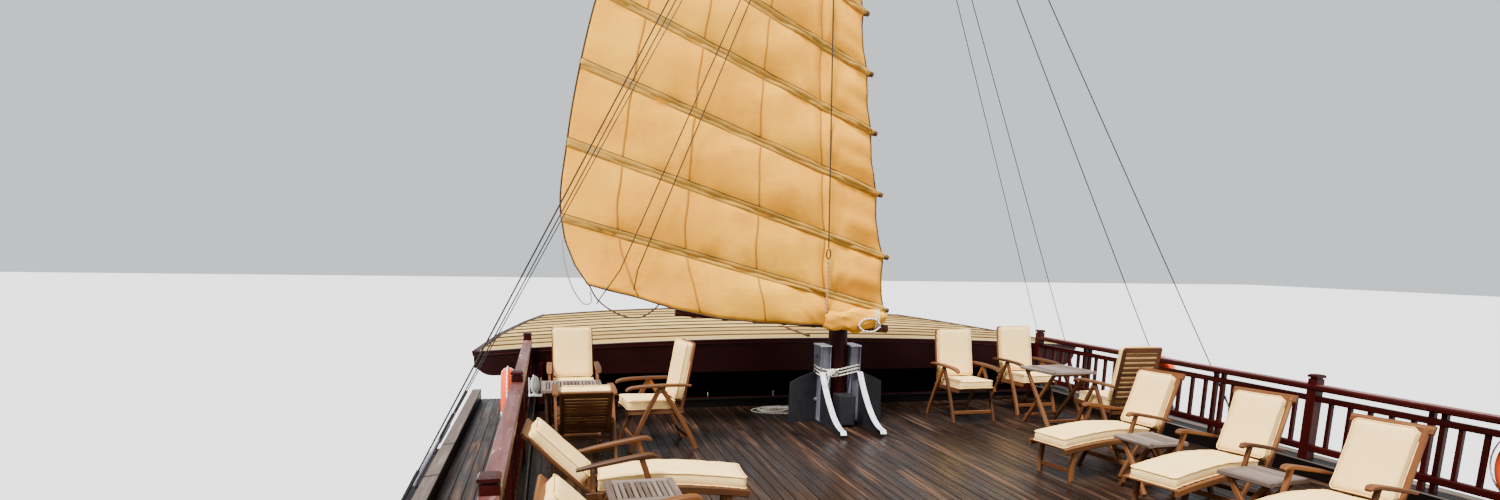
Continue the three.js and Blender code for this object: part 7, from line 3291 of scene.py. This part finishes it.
@dataclass
class RopeCoil:
    """A thin white rope that lies on the deck in loose, flat loops."""

    middle: tuple[float, float] = (8.62, 0.5)
    thick: float = 0.009
    turns: int = 7
    steps: int = 18
    lead: tuple[tuple[float, float, float], ...] = (
        (8.02, 0.262, 0.04),
        (8.06, 0.29, 0.014),
        (8.13, 0.318, 0.001),
        (8.22, 0.334, 0.0),
        (8.32, 0.338, 0.0),
        (8.44, 0.337, 0.0),
        (8.54, 0.338, 0.0),
    )

    def build(self, finishes: Finishes) -> None:
        """Args:
            finishes: The finishes by name.
        """
        z = SUNDECK + self.thick / 2 + 0.001
        x0, y0 = self.middle
        path = [Vector((x, y, z + lift)) for x, y, lift in self.lead]
        for i in range(self.turns * self.steps + 1):
            turn = i / self.steps
            angle = (turn - 0.25) * 2 * math.pi
            reach = 0.175 + 0.075 * math.sin(2.4 * turn) + 0.016 * math.sin(1.7 * angle)
            shift = (0.035 * math.sin(1.9 * turn), 0.045 * math.cos(2.7 * turn))
            path.append(Vector((x0 + shift[0] + 0.9 * reach * math.cos(angle),
                                y0 + shift[1] + 1.15 * reach * math.sin(angle),
                                z + self.thick * 0.55 * turn * 0.6)))
        maker = MeshMaker(175)
        maker.tube(path, self.thick / 2, 8)
        piece = maker.build("rope_coil_laid", finishes["white_rope"], "ship", "white_rope", ["rope_coil"])


LIFEBUOYS = (
    Lifebuoy("lifebuoy_port", (7.0, 3.453, 6.78), "lifebuoy_port"),
    Lifebuoy("lifebuoy_starboard", (7.15, -3.453, 6.8), "lifebuoy_starboard"),
    Lifebuoy("lifebuoy_aft", (3.45, -3.453, 6.75)),
)


@dataclass
class RailLamp:
    """A small lamp with a rounded glass in a white bracket, on the port rail's bottom bar."""

    spot: tuple[float, float, float] = (8.47, 3.255, SUNDECK + 0.276)

    def build(self, finishes: Finishes) -> None:
        """Builds the bracket and the glass.

        Args:
            finishes: The finishes by name.
        """
        x, y, z = self.spot
        maker, glass = MeshMaker(176), MeshMaker(177)
        maker.block((x - 0.035, y - 0.07, z), (x + 0.035, y + 0.1, z + 0.02), 0.004)
        for side in SIDES:
            maker.block((x - 0.014, y + side * 0.062 - 0.005, z),
                        (x + 0.014, y + side * 0.062 + 0.005, z + 0.2), 0.002)
        maker.turned([(0.034, 0.02), (0.03, 0.035), (0.022, 0.045)], (x, y, z), UP, 16)
        bulb = [(0.02, 0.04), (0.042, 0.06), (0.05, 0.1), (0.049, 0.16), (0.037, 0.2), (0.012, 0.222)]
        glass.turned(bulb, (x, y, z), UP, 20)
        maker.build("rail_lamp_bracket", finishes["white_paint"], "ship", "galvanised_steel")
        glass.build("rail_lamp_glass", finishes["milk_glass"], "ship", "window_glass")


class Gear:
    """The windlass, the anchors, the rudder and the propeller."""

    def windlass(self, finishes: Finishes) -> None:
        """Builds the windlass on the foredeck.

        Args:
            finishes: The finishes by name.
        """
        maker = MeshMaker(181)
        floor = Station.at(14.3).floor
        z = floor + 0.48
        rings = [(0.1, -0.66), (0.13, -0.64)]
        for k in range(-6, 7):
            rings.extend([(0.13, k * 0.098 - 0.03), (0.118, k * 0.098 - 0.02), (0.118, k * 0.098 + 0.02),
                          (0.13, k * 0.098 + 0.03)])
        rings.extend([(0.13, 0.64), (0.1, 0.66)])
        maker.turned(rings, (14.3, 0, z), Vector((0, 1, 0)), 20)
        maker.block((14.16, -0.055, floor - 0.05), (14.44, 0.055, floor + 0.62), 0.02)
        for side in SIDES:
            maker.block((14.19, side * 0.425 - 0.042, floor - 0.05),
                        (14.41, side * 0.425 + 0.042, floor + 0.6), 0.02)
            maker.turned([(0.1, 0.64), (0.18, 0.645), (0.13, 0.68), (0.18, 0.715), (0.02, 0.72)],
                         (14.3, 0, z),
                         Vector((0, side, 0)), 20)
        maker.build("windlass_drum", finishes["iron"], "ship", "black_iron", ["windlass"])

    def anchors(self, finishes: Finishes) -> None:
        """Builds the two anchors at the catheads.

        Args:
            finishes: The finishes by name.
        """
        for side, label in ((1, "port"), (-1, "starboard")):
            maker = MeshMaker(182)
            x, y, z = 15.3, side * 2.82, 3.6
            maker.timber((x, y, z - 0.6), (x, y, z + 0.47), 0.085, 0.07, 0.02)
            maker.tube([(x + a, y, z + 0.455 + b) for a, b in circle(0.045, 12)], 0.014, 8, loop=True)
            maker.turned([(0.02, -0.33), (0.034, -0.3), (0.034, 0.3), (0.02, 0.33)], (x, y, z + 0.33), AHEAD,
                         12)
            for way in SIDES:
                arm = [(x, y, z - 0.62), (x + way * 0.17, y, z - 0.59), (x + way * 0.33, y, z - 0.49),
                       (x + way * 0.44, y, z - 0.36)]
                maker.sweep(arm, chamfered(0.09, 0.08, 0.02), Vector((0, 1, 0)), sizes=[1.1, 1.0, 0.85, 0.6])
                palm = [(x + way * 0.33, z - 0.5), (x + way * 0.51, z - 0.42), (x + way * 0.47, z - 0.3),
                        (x + way * 0.38, z - 0.36)]
                maker.plate([(px, y - 0.09, pz) for px, pz in palm], (0, 0.18, 0))
            maker.build(f"anchor_{label}_iron", finishes["iron"], "ship", "black_iron", [f"anchor_{label}"])

    def rudder(self, finishes: Finishes) -> None:
        """Builds the planked rudder with its stock and straps.

        Args:
            finishes: The finishes by name.
        """
        maker, straps = MeshMaker(183), MeshMaker(184)
        maker.move = straps.move = Matrix.Translation((RUDDER_X, 0, 0))
        for k in range(6):
            a, b = 0.05 - k * 0.25, 0.05 - (k + 1) * 0.25 + 0.004
            tops = [float(np.interp(-x, [-0.06, 1.15, 1.5], [-0.06, 0.42, -0.2])) for x in (a, b)]
            foot = -1.76 if b > -1.4 else -1.7
            outline = [(a, foot), (a, tops[0]), (b, tops[1]), (b, foot)]
            maker.plate([(x, -0.052, z) for x, z in outline], (0, 0.104, 0))
        for z in (-0.25, -0.9, -1.5):
            straps.timber((0.09, 0, z), (-1.38, 0, z - 0.02), 0.118, 0.07, 0.006)
        straps.turned([(0.06, -1.812), (0.07, -1.8), (0.07, 0.49), (0.06, 0.5)], (0, 0, 0), UP, 20)
        maker.build("rudder_blade", finishes["bottom_paint"], "rudder", "hull_wood", ["rudder"])
        straps.build("rudder_irons", finishes["iron"], "rudder", "black_iron", ["rudder"])

    def propeller(self, finishes: Finishes) -> None:
        """Builds the four-bladed propeller with its hub and shaft.

        Args:
            finishes: The finishes by name.
        """
        maker = MeshMaker(185)
        centre = Vector(PROPELLER)
        hub = [(0.02, -0.24), (0.05, -0.22), (0.085, -0.12), (0.105, 0.0), (0.105, 0.1), (0.09, 0.12)]
        maker.turned(hub, centre, AHEAD, 28)
        maker.turned([(0.055, 0.1), (0.055, 0.24)], centre, AHEAD, 20)
        for blade in range(4):
            rings = []
            for i in range(13):
                r = 0.08 + 0.41 * i / 12
                chord = 0.21 * math.sin(math.pi * (0.16 + 0.8 * i / 12)) ** 0.7 + 0.01
                pitch = math.radians(62 - 38 * i / 12)
                ring = []
                for k in range(12):
                    t = 2 * math.pi * k / 12
                    along, thick = chord / 1.3 * math.cos(t), (0.014 - 0.0009 * i) * math.sin(t)
                    x = along * math.sin(pitch) + thick * math.cos(pitch)
                    across = along * math.cos(pitch) - thick * math.sin(pitch)
                    ring.append(centre + Matrix.Rotation(blade * math.pi / 2, 3, "X")
                                @ Vector((x - 0.03, across, r)))
                rings.append(ring)
            maker.skin(rings)
        maker.build("propeller_bronze", finishes["bronze"], "propeller", "bronze", ["propeller"], angle=60)

    def build(self, finishes: Finishes) -> None:
        """Builds all the gear.

        Args:
            finishes: The finishes by name.
        """
        self.windlass(finishes)
        self.anchors(finishes)
        self.rudder(finishes)
        self.propeller(finishes)


def main() -> None:
    """Builds the ship's looks in order."""
    logging.basicConfig(level=logging.INFO, format="%(message)s")
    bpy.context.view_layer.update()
    Studio().build()
    finishes = Finishes()
    parts: list[Callable[[Finishes], object]] = [
        RopeCoil().build,
        ForeTackle().build,
        Sundeck().build,
        side_rail(1).build,
        side_rail(-1).build,
        upper_rail(1).build,
        upper_rail(-1).build,
        poop_rail().build,
        ForwardRoof().build,
        Wheelhouse().build,
        *[mast.build for mast in MASTS],
        *[sail.build for sail in SAILS],
        DeckFurniture().build,
        *[shroud.build for shroud in SHROUDS],
        *[buoy.build for buoy in LIFEBUOYS],
        RailLamp().build,
        Hull().build,
        Houses().build,
        Gear().build,
    ]
    for build in parts:
        build(finishes)


if __name__ == "__main__":
    main()
